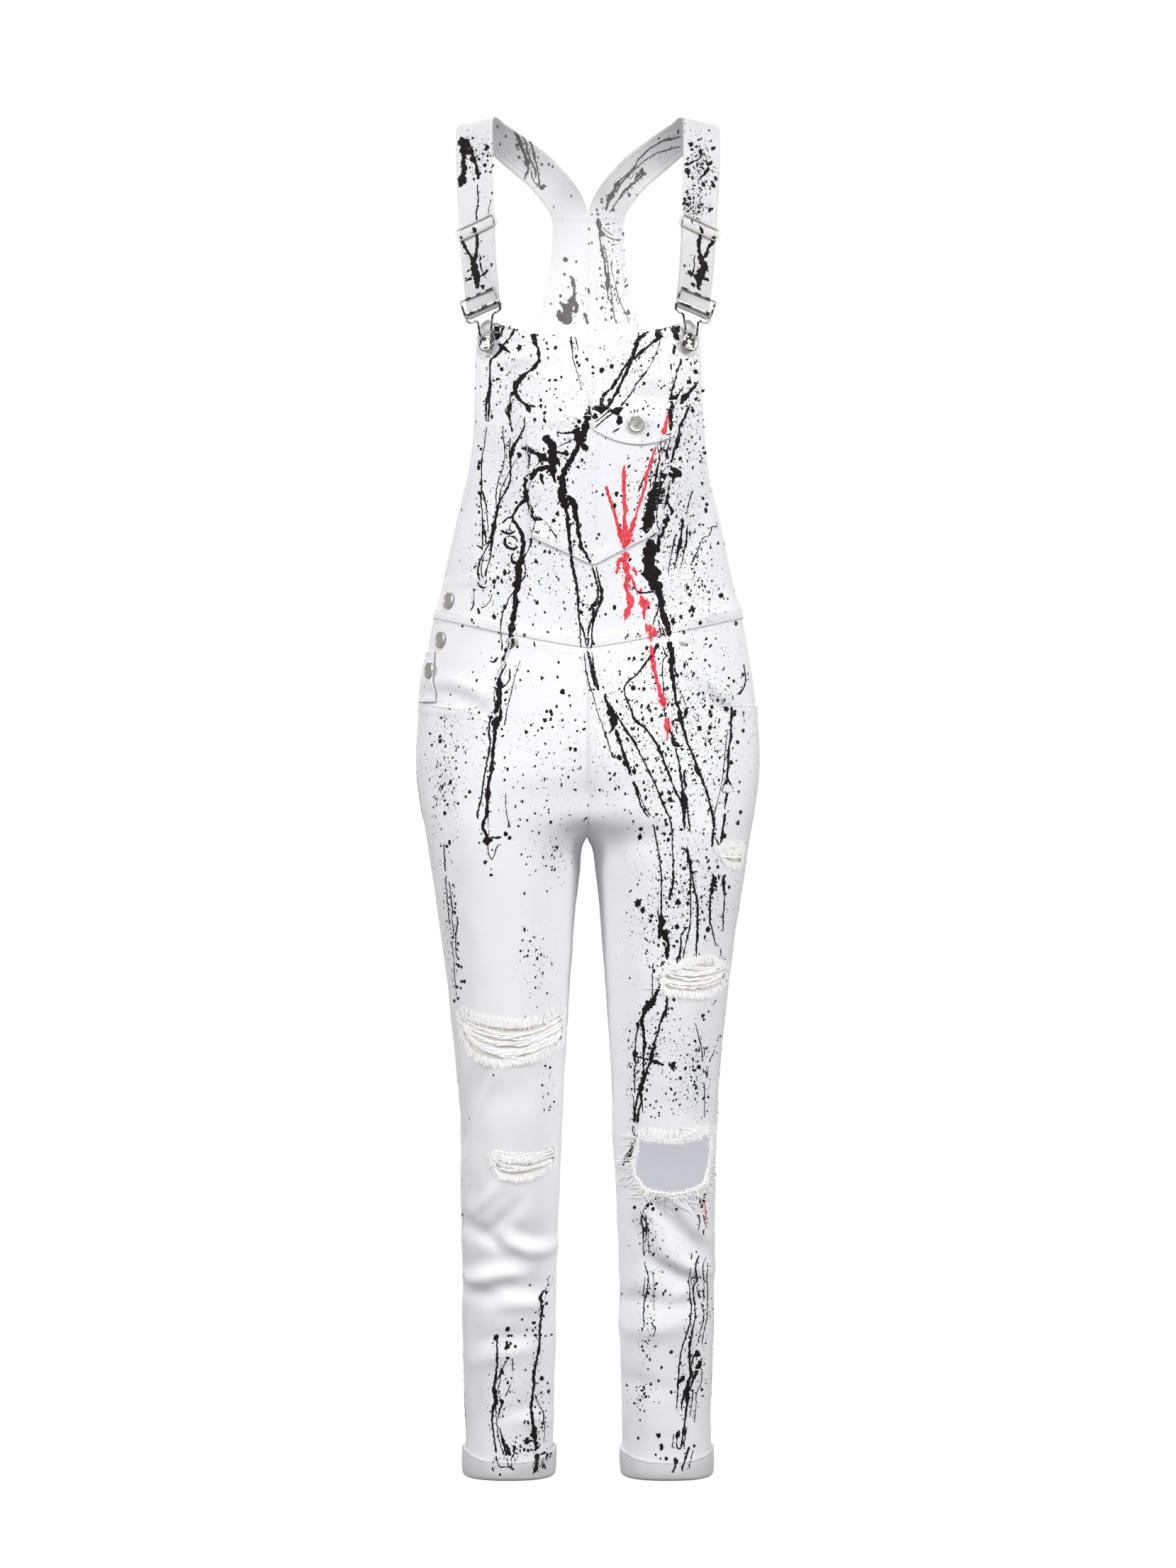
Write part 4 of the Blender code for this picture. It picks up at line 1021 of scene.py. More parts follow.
def spots_piece(name, spots, shapes, finish_name, spread=0.0, smooth=True):
    """One piece with a shape on every spot. shapes are (places, faces) one unit long."""
    mesh = bpy.data.meshes.new(f"{name}_points")
    mesh.from_pydata([tuple(c * MM for c in spot.place) for spot in spots], [], [])
    turns, extents = [], []
    for spot in spots:
        z = Vector(spot.facing).normalized()
        x = Vector(spot.along)
        x = (x - z * x.dot(z)).normalized()
        turns += Matrix((x, z.cross(x), z)).transposed().to_euler()[:]
        extents += [c * MM for c in spot.extent]
    for key, kind, values in (
        ("turn", "FLOAT_VECTOR", turns),
        ("extent", "FLOAT_VECTOR", extents),
        ("kind", "INT", [spot.kind for spot in spots]),
    ):
        field = "value" if kind == "INT" else "vector"
        mesh.attributes.new(key, kind, "POINT").data.foreach_set(field, values)
    holder = bpy.data.objects.new(f"{name}_points", mesh)
    bpy.context.scene.collection.objects.link(holder)
    store = bpy.data.collections.new(f"{name}_shapes")
    for k, (places, faces) in enumerate(shapes):
        shape = bpy.data.meshes.new(f"{name}_shape_{k:02d}")
        shape.from_pydata(np.asarray(places, float).tolist(), [], faces)
        if smooth:
            shape.shade_smooth()
        store.objects.link(bpy.data.objects.new(shape.name, shape))
    scatter = holder.modifiers.new("scatter", "NODES")
    scatter.node_group = spot_tree()
    inputs = {s.name: s.identifier for s in scatter.node_group.interface.items_tree}
    values = {
        "Shapes": store,
        "Scale": 1.0,
        "Spread": float(spread),
        "Seed": 5,
        "Finish": finish(finish_name),
    }
    for key, value in values.items():
        scatter[inputs[key]] = value
    made = evaluated_mesh(holder)
    bpy.data.objects.remove(holder)
    for each in list(store.objects):
        bpy.data.objects.remove(each)
    bpy.data.collections.remove(store)
    for attribute in ("turn", "extent", "kind"):
        if attribute in made.attributes:
            made.attributes.remove(made.attributes[attribute])
    return keep(name, made, (finish_name,))


# --------------------------------------------------------------------------------- panels


def panel_grid(shape, width, length, pitch=3.6, marks=(0, 1)):
    """Places and facings over u and v, whose steps are fine beside the seams."""
    over = steps_between(width, pitch, marks)
    down = steps_between(length, pitch)
    v, u = np.meshgrid(down, over, indexing="ij")
    return shape(u, v)


def bib_shape(u, v):
    """The bib from the wearer's right edge, u = 0, to the left one."""
    across = 2 * u - 1
    side, share = np.where(across < 0, RIGHT, LEFT), np.abs(across)
    corner = BIB_CORNER_DROP * np.maximum(0, (share - 0.9) / 0.1) ** 2
    upper = v < BIB_ABOVE_SIDE
    high = between(bib_top(share) - corner, SIDE_TOP, v / BIB_ABOVE_SIDE)
    reach = curve_through(BIB_EDGE, "height", "reach", high)
    low_share = np.clip((v - BIB_ABOVE_SIDE) / (1 - BIB_ABOVE_SIDE), 0, 1)
    low = between(SIDE_TOP, waist_height(OUTSIDE * share), low_share)
    angle = np.where(upper, share * angle_at(reach, high), OUTSIDE * share)
    return worn(side, angle, np.where(upper, high, low))


def back_shape(u, v):
    """The back from the wearer's left edge, u = 0, to the right one."""
    across = 1 - 2 * u
    side, share = np.where(across < 0, RIGHT, LEFT), np.abs(across)
    upper = v < BACK_ABOVE_SIDE
    high = between(BACK_EDGE[-1].height, SIDE_TOP, v / BACK_ABOVE_SIDE)
    reach = curve_through(BACK_EDGE, "height", "reach", high)
    low_share = np.clip((v - BACK_ABOVE_SIDE) / (1 - BACK_ABOVE_SIDE), 0, 1)
    low = between(SIDE_TOP, waist_height(between(BACK, OUTSIDE, share)), low_share)
    edge = np.where(upper, angle_at(reach, high, BACK), OUTSIDE)
    return worn(side, between(BACK, edge, share), np.where(upper, high, low))


def leg_fade(height):
    return np.maximum(0.0, (height - HIP) / (WAIST_FRONT - HIP))


def front_leg_shape(side):
    def shape(u, v):
        height = between(WAIST_FRONT, HEM, v)
        angle = between(centre_angle(height, FRONT), OUTSIDE, u)
        level = height + (scoop_height(side, angle) - WAIST_FRONT) * leg_fade(height)
        return worn(side, angle, level)

    return shape


def back_leg_shape(side):
    def shape(u, v):
        height = between(WAIST_FRONT, HEM, v)
        angle = between(OUTSIDE, centre_angle(height, BACK), u)
        level = height + (waist_height(angle) - WAIST_FRONT) * leg_fade(height)
        return worn(side, between(OUTSIDE, centre_angle(level, BACK), u), level)

    return shape


def facing_shape(side):
    """The hip piece that shows inside the pocket mouth and reaches under its edge."""
    scoop = SCOOPS[side]

    def shape(u, v):
        angle = between(scoop.start - 5, OUTSIDE, u)
        return worn(side, angle, between(waist_height(angle), scoop.lowest - 14, v))

    return shape


def placket_shape(u, v):
    angle = between(between(69, 61, v), 88.5, u)
    return worn(RIGHT, angle, between(PLACKET_TOP, PLACKET_FOOT, v))


def patch_shape(top, foot, bow):
    """Places between a patch's straight top edge and its foot, through the foot's corners.

    bow is the exponent of the two halves of the foot: 1 is a point, and more is a curve.
    """
    left, middle, right = foot
    bend = (middle.x - left.x) / (right.x - left.x)

    def shape(u, v):
        half = np.where(u < bend, np.minimum(1.0, u / bend), (1 - u) / (1 - bend))
        end = np.where(u < bend, left.height, right.height)
        x = between(between(top[0].x, top[1].x, u), between(left.x, right.x, u), v)
        low = between(end, middle.height, 1 - (1 - half) ** bow)
        level = between(between(top[0].height, top[1].height, u), low, v)
        return on_front(x, level)

    return shape


def seam_groove(grid, line=0.0, width=1.3, depth=0.8):
    """A seam down the front or back of a panel, where its distance to a line is nought."""
    across = grid[0][..., 0] - line
    lap = 0.45 * (eased(0.2, 1.4, across) - eased(8.5, 10.5, across))
    return lap - depth * np.exp(-((across / width) ** 2))


# ----------------------------------------------------------------------- bib, back and legs


def make_bib():
    grid = panel_grid(bib_shape, 300, 330, marks=(0, 0.51, 1))
    nodes = ("bib_left", "bib_right")
    relief = Relief(FOLDED, LAPPED, FOLDED, FOLDED)
    shell("bib", grid, 0, relief=relief, rise=seam_groove(grid, 2), nodes=nodes)


def make_back():
    grid = panel_grid(back_shape, 300, 430, marks=(0, 0.51, 1))
    nodes = ("back_left", "back_right")
    relief = Relief(FOLDED, LAPPED, FOLDED, FOLDED)
    # The inner face takes the lighter copy of the denim, painted light against the shade inside the
    # back.
    finishes = ("white_denim", "bright_denim")
    shell("back", grid, 0, relief=relief, rise=seam_groove(grid), nodes=nodes, finishes=finishes)


def make_front_leg(side):
    """A front leg panel, hemmed at the pocket mouth and tucked under the waist seam."""
    grid = panel_grid(front_leg_shape(side), 190, 860)
    down = run_from(grid[0], 0)
    centre, half, _, _ = ring_at(MOUTH_HEIGHT)
    mouth_from = centre + half * power(np.sin(np.radians(SCOOPS[side].start)), 2 / SQUARENESS)
    mouth = eased(mouth_from - 2, mouth_from + 2, np.abs(grid[0][:1, :, 0]))
    rise = edge_relief(FOLDED, down) * mouth + edge_relief(TUCKED, down) * (1 - mouth)
    relief = Relief(start=LAPPED if side == LEFT else TUCKED, end=LAPPED)
    name = f"front_leg_{side_name(side)}"
    # The inner face takes the inside denim with its painted glow.
    finishes = ("white_denim", "inside_denim")
    shell(name, grid, 0, relief=relief, rise=rise, nodes=(name,), finishes=finishes)


def make_back_leg(side):
    grid = panel_grid(back_leg_shape(side), 230, 890)
    name = f"back_leg_{side_name(side)}"
    end = LAPPED if side == LEFT else TUCKED
    relief = Relief(top=TUCKED, start=TUCKED, end=end)
    # The inner face takes the inside denim with its painted glow.
    finishes = ("white_denim", "inside_denim")
    shell(name, grid, 0, relief=relief, nodes=(name,), finishes=finishes)


def rim_rise(grid, depth=0.35, width=4.0):
    """A folded rim all round a small patch."""
    over, down = run_from(grid[0], 1), run_from(grid[0], 0)
    lengths = [down, down[-1:] - down, over, over[:, -1:] - over]
    near = np.minimum.reduce(lengths)
    row = 0.3 * np.exp(-(((near - 2.3) / 0.8) ** 2))
    return depth * (1 - eased(width - 1, width + 1, near)) - row


def make_pockets():
    for side in (RIGHT, LEFT):
        grid = panel_grid(facing_shape(side), 110, 90)
        name = f"pocket_facing_{side_name(side)}"
        shell(name, grid, -1.6, nodes=(name,))
    grid = panel_grid(patch_shape(POCKET_TOP, POCKET_FOOT, 1), 150, 140)
    down = run_from(grid[0], 0)
    across = grid[0][..., 0]
    pen = 0.4 * (eased(-44, -43, across) - eased(-36.5, -35.5, across))
    rise = seam_groove(grid, 4.0) + pen * eased(0, 3, down)
    relief = Relief(FOLDED, FOLDED, FOLDED, FOLDED)
    shell("bib_pocket", grid, 1.55, relief=relief, rise=rise, nodes=("bib_pocket",))
    grid = panel_grid(patch_shape(FLAP_TOP, FLAP_FOOT, 2), 84, 42)
    down = run_from(grid[0], 0)
    curl = np.exp(-(((grid[0][..., 0] - 84) / 7) ** 2)) * eased(14, 36, down) * 2.6
    rise = rim_rise(grid) + curl - 1.4 * (1 - eased(3, 17, down))
    shell("bib_pocket_flap", grid, 3.1, rise=rise, nodes=("bib_pocket_flap",))
    grid = panel_grid(placket_shape, 40, 52)
    shell("side_placket", grid, 1.6, rise=rim_rise(grid), nodes=("side_placket",))


# Cross-section of a turn-up, as distance out from the leg's outer face, height over its foot, and
# the share of the front's dip that this point takes.
CuffPoint = namedtuple("CuffPoint", "out up dip")
CUFF_PROFILE = [
    CuffPoint(0.5, 29, 1),
    CuffPoint(1.7, 30.1, 1),
    CuffPoint(2.9, 29.2, 1),
    CuffPoint(3.3, 27.4, 0.95),
    CuffPoint(2.9, 26.2, 0.9),
    CuffPoint(3.3, 25, 0.85),
    CuffPoint(4.0, 17, 0.55),
    CuffPoint(4.2, 8, 0.1),
    CuffPoint(3.5, 2.0, 0),
    CuffPoint(0.8, 0, 0),
    CuffPoint(-2.2, 1.0, 0),
    CuffPoint(-3.2, 4.4, 0),
    CuffPoint(-2.2, 5.6, 0),
    CuffPoint(-0.8, 3.4, 0),
    CuffPoint(0.3, 8, 0.1),
]


def make_cuff(side):
    """A turned-up hem: cloth folded under the leg's foot and up its outside."""
    out, up, dip = smoothed(CUFF_PROFILE, 3, closed=True).T
    turns = np.linspace(-OUTSIDE, 3 * OUTSIDE, 201)
    front_dip = CUFF_DIP * np.maximum(0, np.cos(np.radians(turns))) ** 1.5
    height = CUFF_FOOT + up[None] - dip[None] * front_dip[:, None]
    place, facing = worn(side, turns[:, None] + 0 * height, height)
    flat = unit(facing * np.array([1.0, 1.0, 0.0]))
    run = run_from(place, 0)[:, :1]
    sway = 0.35 * np.sin(run / 7.5) + 0.3 * np.sin(run / 3.1 + 1) + 0.5 * np.sin(run / 19 + side)
    seams = sum(np.exp(-(((turns[:, None] - a) / 1.2) ** 2)) for a in (-90, 90, 270))
    reach = out[None] + sway * eased(6, 26, up)[None] * eased(0.5, 2.5, out)[None]
    place = place + flat * (reach - 0.8 * seams * eased(1, 3, out)[None])[..., None]
    rows, columns = place.shape[:2]
    around = np.concatenate([run_from(place, 0), run_from(place, 0)[:, :1]], axis=1)
    wrapped = np.concatenate([place, place[:, :1]], axis=1)
    along = run_from(wrapped, 1)
    places = place[:-1].reshape(-1, 3)
    number = np.arange(len(places)).reshape(rows - 1, columns)
    faces, spread = [], []
    for i in range(rows - 1):
        for k in range(columns):
            j, n = (i + 1) % (rows - 1), (k + 1) % columns
            faces.append([number[i, k], number[j, k], number[j, n], number[i, n]])
            for a, b in ((i, k), (i + 1, k), (i + 1, k + 1), (i, k + 1)):
                spread.append((around[a, b] * MM, along[a, b] * MM))
    name = f"cuff_{side_name(side)}"
    mesh = bpy.data.meshes.new(name)
    mesh.from_pydata((places * MM).tolist(), [], faces)
    layer = mesh.uv_layers.new(name="cloth")
    layer.data.foreach_set("uv", np.array(spread, np.float32).ravel())
    rebuilt = bmesh.new()
    rebuilt.from_mesh(mesh)
    bmesh.ops.recalc_face_normals(rebuilt, faces=rebuilt.faces[:])
    rebuilt.to_mesh(mesh)
    rebuilt.free()
    mesh.shade_smooth()
    row = int(np.argmin(np.abs(up - 25.6) + 4 * (out < 2)))
    SKINS[name] = (place[:, row][None].repeat(2, axis=0), flat[:, row][None].repeat(2, axis=0))
    # The turn-up takes the darker copy of the denim: painted shade for the light that falls off
    # towards the floor.
    keep(name, mesh, ("strap_denim",), (name,))


# ------------------------------------------------------------------------------------ straps


def strap_skew(distance):
    """Slope of the fittings across the strap there, which dies away at the shoulder seam."""
    share = min(1.0, max(0.0, (distance - BAR_AT) / (SLIDER_AT - BAR_AT)))
    slope = between(BUCKLE_SKEW, SLIDER_SKEW, share)
    return slope * min(1.0, max(0.0, (SHOULDER_SEAM - 10 - distance) / 50))


Knot = namedtuple("Knot", ("order", *Station._fields))


class StrapLine:
    """The strap's middle line, read by distance from its foot in millimetres."""

    def __init__(self, side):
        self.side = side
        knots = [Knot(i, *station) for i, station in enumerate(STRAP)]
        at = np.linspace(0, len(knots) - 1, 12 * (len(knots) - 1) + 1)
        read = [curve_through(knots, "order", column, at) for column in Station._fields]
        read[0], read[3] = read[0] * side, read[3] * side
        self.places = np.stack(read[:3], axis=1)
        self.looks = unit(np.stack(read[3:], axis=1))
        steps = np.linalg.norm(np.diff(self.places, axis=0), axis=1)
        self.distances = np.concatenate([[0], np.cumsum(steps)])
        self.length = self.distances[-1]

    def at(self, distance):
        """Place, face and across of the strap there. across is skewed as its fittings are."""
        distance = min(max(distance, 0.0), self.length - 0.01)
        i = int(np.searchsorted(self.distances, distance, side="right")) - 1
        t = (distance - self.distances[i]) / (self.distances[i + 1] - self.distances[i])
        a, b = Vector(self.places[i]), Vector(self.places[i + 1])
        along = (b - a).normalized()
        look = Vector(self.looks[i]).lerp(Vector(self.looks[i + 1]), t)
        across = along.cross(look).normalized()
        face = across.cross(along).normalized()
        turn = Matrix.Rotation(math.radians(self.side * strap_skew(distance)), 3, face)
        return a.lerp(b, t), face, turn @ across


def loop_radius(wire_radius):
    """Radius of the middle of a cloth layer that is folded round a wire."""
    return wire_radius + SEAM + CLOTH / 2


def slider_bar_depth():
    """How far the slider's bar lies behind the strap's middle line, under two layers of cloth."""
    return loop_radius(SLIDER_WIRE) + CLOTH + SEAM - SLIDER_HUMP


def front_strap_route():
    """Down from the shoulder seam, behind the buckle's plate, round its bar and up to the slider.

    Each entry is a distance from the strap's foot and a height off its middle line. The end goes
    over the slider's bar from behind.
    """
    route = [(between(SHOULDER_SEAM - 0.2, SLIDER_AT + 9, v), 0.0) for v in shares(20)]
    route += [(SLIDER_AT + 5.5, 0.1), (SLIDER_AT + 2.7, 1.1), (SLIDER_AT, SLIDER_HUMP)]
    route += [(SLIDER_AT - 2.7, 1.1), (SLIDER_AT - 5.5, 0.1), (SLIDER_AT - 9, 0)]
    route += [(between(SLIDER_AT - 9, BAR_AT, v), 0.0) for v in shares(22)[1:]]
    turn = loop_radius(BUCKLE_WIRE)
    for i in range(1, 8):
        a = math.pi * i / 8
        route.append((BAR_AT - turn * math.sin(a), turn * math.cos(a) - turn))
    route += [(BAR_AT, -2 * turn), (BAR_AT + 14, -2 * turn + 0.8), (BAR_AT + 34, -2.8)]
    route += [(SLIDER_AT - 26, -2.8), (SLIDER_AT - 12, -3.2), (SLIDER_AT - 6, -4)]
    turn = loop_radius(SLIDER_WIRE)
    for i in range(9):
        a = math.radians(between(-95, 75, i / 8))
        route.append((SLIDER_AT + turn * math.cos(a), turn * math.sin(a) - slider_bar_depth()))
    return route


def make_strap(name, line, route):
    """A strap of cloth with turned-in, stitched edges along route."""
    route = smoothed(route, 2)
    middles, acrosses, faces, halves = [], [], [], []
    for distance, off in route:
        place, face, across = line.at(distance)
        widened = min(1.0, max(0.0, distance - BAR_AT) / (SHOULDER_SEAM - BAR_AT)) ** 2
        width = between(STRAP_FOOT_WIDTH, STRAP_WIDTH, widened)
        middles.append(place + face * off)
        acrosses.append(across)
        faces.append(face)
        halves.append(width / 2 / math.cos(math.radians(strap_skew(distance))))
    middles, acrosses = np.array(middles), np.array(acrosses)
    normals = unit(np.cross(acrosses, np.gradient(middles, axis=0)))
    normals *= np.sign(np.sum(normals * np.array(faces)))
    over = 2 * steps_between(STRAP_WIDTH, 2.6, edge=6, fine=0.9) - 1
    reach = np.array(halves)[:, None] * over[None]
    place = middles[:, None] + acrosses[:, None] * reach[..., None]
    facing = np.broadcast_to(normals[:, None], place.shape)
    near = np.array(halves)[:, None] - np.abs(reach)
    rise = 0.3 * (1 - eased(5, 6.5, near)) - 0.3 * np.exp(-(((near - 2.6) / 0.8) ** 2))
    run = run_from(place, 0)
    rise = rise + 0.12 * np.sin(run / 2.1) * np.exp(-(((near - 3) / 2) ** 2))
    # Outer faces take the darker copy of the denim, painted shade; inner faces take the lighter
    # copy, painted light.
    finishes = ("strap_denim", "bright_denim")
    shell(name, (place, facing), CLOTH / 2, rise=rise, nodes=(name,), finishes=finishes)


# ---------------------------------------------------------------------------------- fittings


def fitting_place(line, distance, off=0.0):
    """A function from (across, down, out) in a fitting's own plane to millimetres."""
    place, face, across = line.at(distance)
    if across.x < 0:
        across = -across
    down = across.cross(face).normalized()
    if down.z > 0:
        down = -down

    def put(over, below, out=0.0):
        return place + face * (off + out) + across * over + down * below

    return put


def arc(centre, radius, start, end, steps):
    """Points on an arc in a fitting's own plane, as (across, down), in degrees."""
    angles = [math.radians(between(start, end, i / steps)) for i in range(steps + 1)]
    return [(centre[0] + radius * math.cos(a), centre[1] + radius * math.sin(a)) for a in angles]


# The buckle's wire on one side of its middle, from its top rail down to the button's neck, as
# distance across and distance below its bar.
BUCKLE_WIRE_PATH = [
    (16.6, -17),
    (18.9, -16.2),
    (19.8, -14),
    (20, -4),
    (19.6, 3.4),
    (18.4, 6),
    (16, 7.2),
    (11.4, 7.4),
    (9.2, 8.4),
    (8.3, 11),
    (7.4, 17),
    (6.4, 24),
]
BUCKLE_KINK = 6  # below this the wire leaves the strap's plane for the button's
BUCKLE_HALF, PLATE_BELOW, PLATE_TALL, PLATE_THICK = 20, -2.6, 3.6, 1.7
HOOK_RADIUS = 6.2  # of the wire's loop round the button's neck
SLIDER_HALF, SLIDER_TALL, SLIDER_CORNER = 21.2, 6.2, 3.2


def metal_piece(name, parts, finish_name):
    places, faces = joined(parts)
    mesh = mesh_from(name, places, faces)
    mesh.set_sharp_from_angle(angle=math.radians(50))
    keep(name, mesh, (finish_name,), (name,))


def make_buckle(side, line):
    """The wire hook that joins a strap to its bib button, with its plate and hidden bar."""
    turn = loop_radius(BUCKLE_WIRE)
    out = CLOTH / 2 + SEAM + BUCKLE_WIRE + 0.25
    put = fitting_place(line, BAR_AT)
    seat, facing = one_place(on_front(side * STRAP_BUTTON_X, STRAP_BUTTON_HEIGHT))
    neck = seat + facing * (SEAM + STRAP_BUTTON_NECK / 2)
    over, below = put(1, 0) - put(0, 0), put(0, 1) - put(0, 0)
    reach = (neck - put(0, 0)).dot(below)
    over = (over - facing * over.dot(facing)).normalized()
    below = (below - facing * below.dot(facing)).normalized()

    def hooked(x, y):
        share = float(eased(BUCKLE_KINK, BUCKLE_KINK + 14, y))
        return put(x, y, out).lerp(neck + over * x + below * (y - reach), share)

    right = [(x, y) for x, y in BUCKLE_WIRE_PATH if y < reach - 3]
    foot = arc((0, reach - 0.5), HOOK_RADIUS, 5, 175, 6)
    outline = [hooked(x, y) for x, y in right + foot + [(-x, y) for x, y in right[::-1]]]
    parts = [tube(smoothed(outline, 4, closed=True), BUCKLE_WIRE, 10, closed=True)]
    rings = []
    for x, scale in ((-1, 0.6), (-0.985, 0.86), (-0.96, 1), (0.96, 1), (0.985, 0.86), (1, 0.6)):
        ring = []
        for k in range(16):
            a = 2 * math.pi * k / 16
            tall = float(power(math.cos(a), 0.6)) * PLATE_TALL / 2 * scale
            thick = float(power(math.sin(a), 0.7)) * PLATE_THICK / 2 * scale
            ring.append(put(x * (BUCKLE_HALF + 1), PLATE_BELOW + tall, out + thick))
        rings.append(ring)
    faces = [
        [i * 16 + k, i * 16 + (k + 1) % 16, (i + 1) * 16 + (k + 1) % 16, (i + 1) * 16 + k]
        for i in range(len(rings) - 1)
        for k in range(16)
    ]
    faces += [list(range(16))[::-1], [16 * (len(rings) - 1) + k for k in range(16)]]
    parts.append((np.array([p for ring in rings for p in ring]), faces))
    end = BUCKLE_HALF - 0.2
    hidden = [(-end, 2, out), (-end, 1, 0), (-end, 0, -turn)]
    hidden += [(end, 0, -turn), (end, 1, 0), (end, 2, out)]
    parts.append(tube([put(*each) for each in hidden], BUCKLE_WIRE * 0.98, 8))
    metal_piece(f"buckle_{side_name(side)}", parts, "spotted_nickel")


def make_slider(side, line):
    """The wire frame that the strap's end is looped on, with its middle bar set behind."""
    out = 0.5 + CLOTH / 2 + SEAM + SLIDER_WIRE
    put = fitting_place(line, SLIDER_AT)
    outline = []
    for across, down, start in ((1, -1, -90), (1, 1, 0), (-1, 1, 90), (-1, -1, 180)):
        corner = (across * (SLIDER_HALF - SLIDER_CORNER), down * (SLIDER_TALL - SLIDER_CORNER))
        outline += arc(corner, SLIDER_CORNER, start, start + 90, 5)
    rim = [put(x, y, out) for x, y in outline]
    parts = [tube(rim, SLIDER_WIRE, 10, closed=True)]
    end, deep = SLIDER_HALF - 0.2, -slider_bar_depth()
    route = [(-end, 0, out), (-end, 0, deep), (end, 0, deep), (end, 0, out)]
    parts.append(tube([put(*each) for each in route], SLIDER_WIRE * 0.98, 8))
    metal_piece(f"slider_{side_name(side)}", parts, "nickel")


# Turned pieces, as radius in shares of the button's and height over the cloth in millimetres.
BUTTON_RINGS = [
    (0.42, 0),
    (0.42, 0.01),
    (0.86, 0.05),
    (0.97, 0.35),
    (1.0, 0.9),
    (0.985, 1.5),
    (0.93, 2.05),
    (0.86, 2.3),
    (0.78, 2.25),
    (0.73, 1.95),
    (0.68, 1.75),
    (0.63, 1.93),
    (0.57, 1.97),
    (0.52, 1.8),
    (0.3, 1.86),
    (0.22, 2.0),
    (0.16, 1.9),
    (0, 1.92),
]
RIVET_RINGS = [(1, 0), (1, 0.35), (0.94, 0.75), (0.8, 0.95), (0.62, 0.7), (0.4, 1.15), (0, 1.25)]


def turned(name, rings, place, facing, finish_name, sides=40):
    """A round piece on the cloth, turned about its facing. The last ring is its middle."""
    turn = facing.to_track_quat("Z", "Y").to_matrix()
    places, faces = [], []
    for radius, height in rings[:-1]:
        for k in range(sides):
            a = 2 * math.pi * k / sides
            spoke = Vector((radius * math.cos(a), radius * math.sin(a), height))
            places.append(place + turn @ spoke)
    places.append(place + turn @ Vector((0, 0, rings[-1][1])))
    for i in range(len(rings) - 2):
        for k in range(sides):
            n = (k + 1) % sides
            faces.append([i * sides + k, i * sides + n, (i + 1) * sides + n, (i + 1) * sides + k])
    last = (len(rings) - 2) * sides
    faces += [[last + k, last + (k + 1) % sides, len(places) - 1] for k in range(sides)]
    faces.append(list(range(sides))[::-1])
    metal_piece(name, [(np.array(places), faces)], finish_name)


def button_rings(radius, neck):
    rings = [(share * radius, height + neck) for share, height in BUTTON_RINGS[1:]]
    return [(BUTTON_RINGS[0][0] * radius, 0), *rings]


def make_buttons():
    for side in (RIGHT, LEFT):
        seat, facing = one_place(on_front(side * STRAP_BUTTON_X, STRAP_BUTTON_HEIGHT))
        rings = button_rings(STRAP_BUTTON_RADIUS, STRAP_BUTTON_NECK)
        turned(f"strap_button_{side_name(side)}", rings, seat, facing, "spotted_nickel")
    seat, facing = one_place(on_front(FLAP_BUTTON_X, FLAP_BUTTON_HEIGHT))
    rings = button_rings(BUTTON_RADIUS, 0.8)
    turned("flap_button", rings, seat + facing * 3.2, facing, "pale_nickel")
    for number, button in enumerate(SIDE_BUTTONS, 1):
        seat, facing = one_place(worn(RIGHT, button.angle, button.height))
        place = seat + facing * button.lift
        turned(f"side_button_{number}", button_rings(BUTTON_RADIUS, 0.8), place, facing, "nickel")
    for rivet in RIVETS:
        height = waist_height(rivet.angle) - rivet.drop
        seat, facing = one_place(worn(rivet.side, rivet.angle, height))
        rings = [(share * RIVET_RADIUS, rise) for share, rise in RIVET_RINGS]
        plate = "pale_nickel" if rivet.side == LEFT else "nickel"
        turned(f"rivet_{side_name(rivet.side)}", rings, seat + facing * 0.3, facing, plate)


# ------------------------------------------------------------------------------------- tears

# Openings in the legs, as (distance to the wearer's left, height) round their rims. sag is how far
# the loose yarns hang, rows how many bundles cross, and pile how tall the frayed ends stand.
Tear = namedtuple("Tear", "name leg rim sag rows pile backed")
TEARS = [
    Tear(
        "right_knee",
        "front_leg_right",
        [(-131, -932), (-112, -938), (-84, -942), (-56, -941), (-30, -931)]
        + [(-27, -958), (-38, -968), (-60, -976), (-92, -980), (-114, -974), (-128, -956)],
        sag=16,
        rows=15,
        pile=8,
        backed=True,
    ),
    Tear(
        "right_shin",
        "front_leg_right",
        [(-99, -1078), (-80, -1082), (-58, -1082), (-38, -1070)]
        + [(-36, -1086), (-54, -1097), (-72, -1101), (-92, -1096)],
        sag=6,
        rows=6,
        pile=6,
        backed=True,
    ),
    Tear(
        "left_thigh",
        "front_leg_left",
        [(80, -885), (100, -881), (115, -877), (126, -877), (136, -882), (143, -884)]
        + [(137, -903), (120, -911), (98, -909), (78, -905)],
        sag=7,
        rows=7,
        pile=7,
        backed=True,
    ),
    Tear(
        "left_hip",
        "front_leg_left",
        [(135, -764), (142, -759), (150, -757), (158, -760), (157, -776), (149, -779), (141, -775)],
        sag=3,
        rows=5,
        pile=5,
        backed=True,
    ),
    Tear(
        "left_knee",
        "front_leg_left",
        [(53, -1059), (70, -1061), (89, -1062), (108, -1060), (125, -1057)]
        + [(126, -1072), (125, -1087), (121, -1104), (111, -1112), (96, -1117)]
        + [(80, -1118), (62, -1115), (51, -1104), (47, -1090), (50, -1072)],
        sag=0,
        rows=0,
        pile=12,
        backed=False,
    ),
]


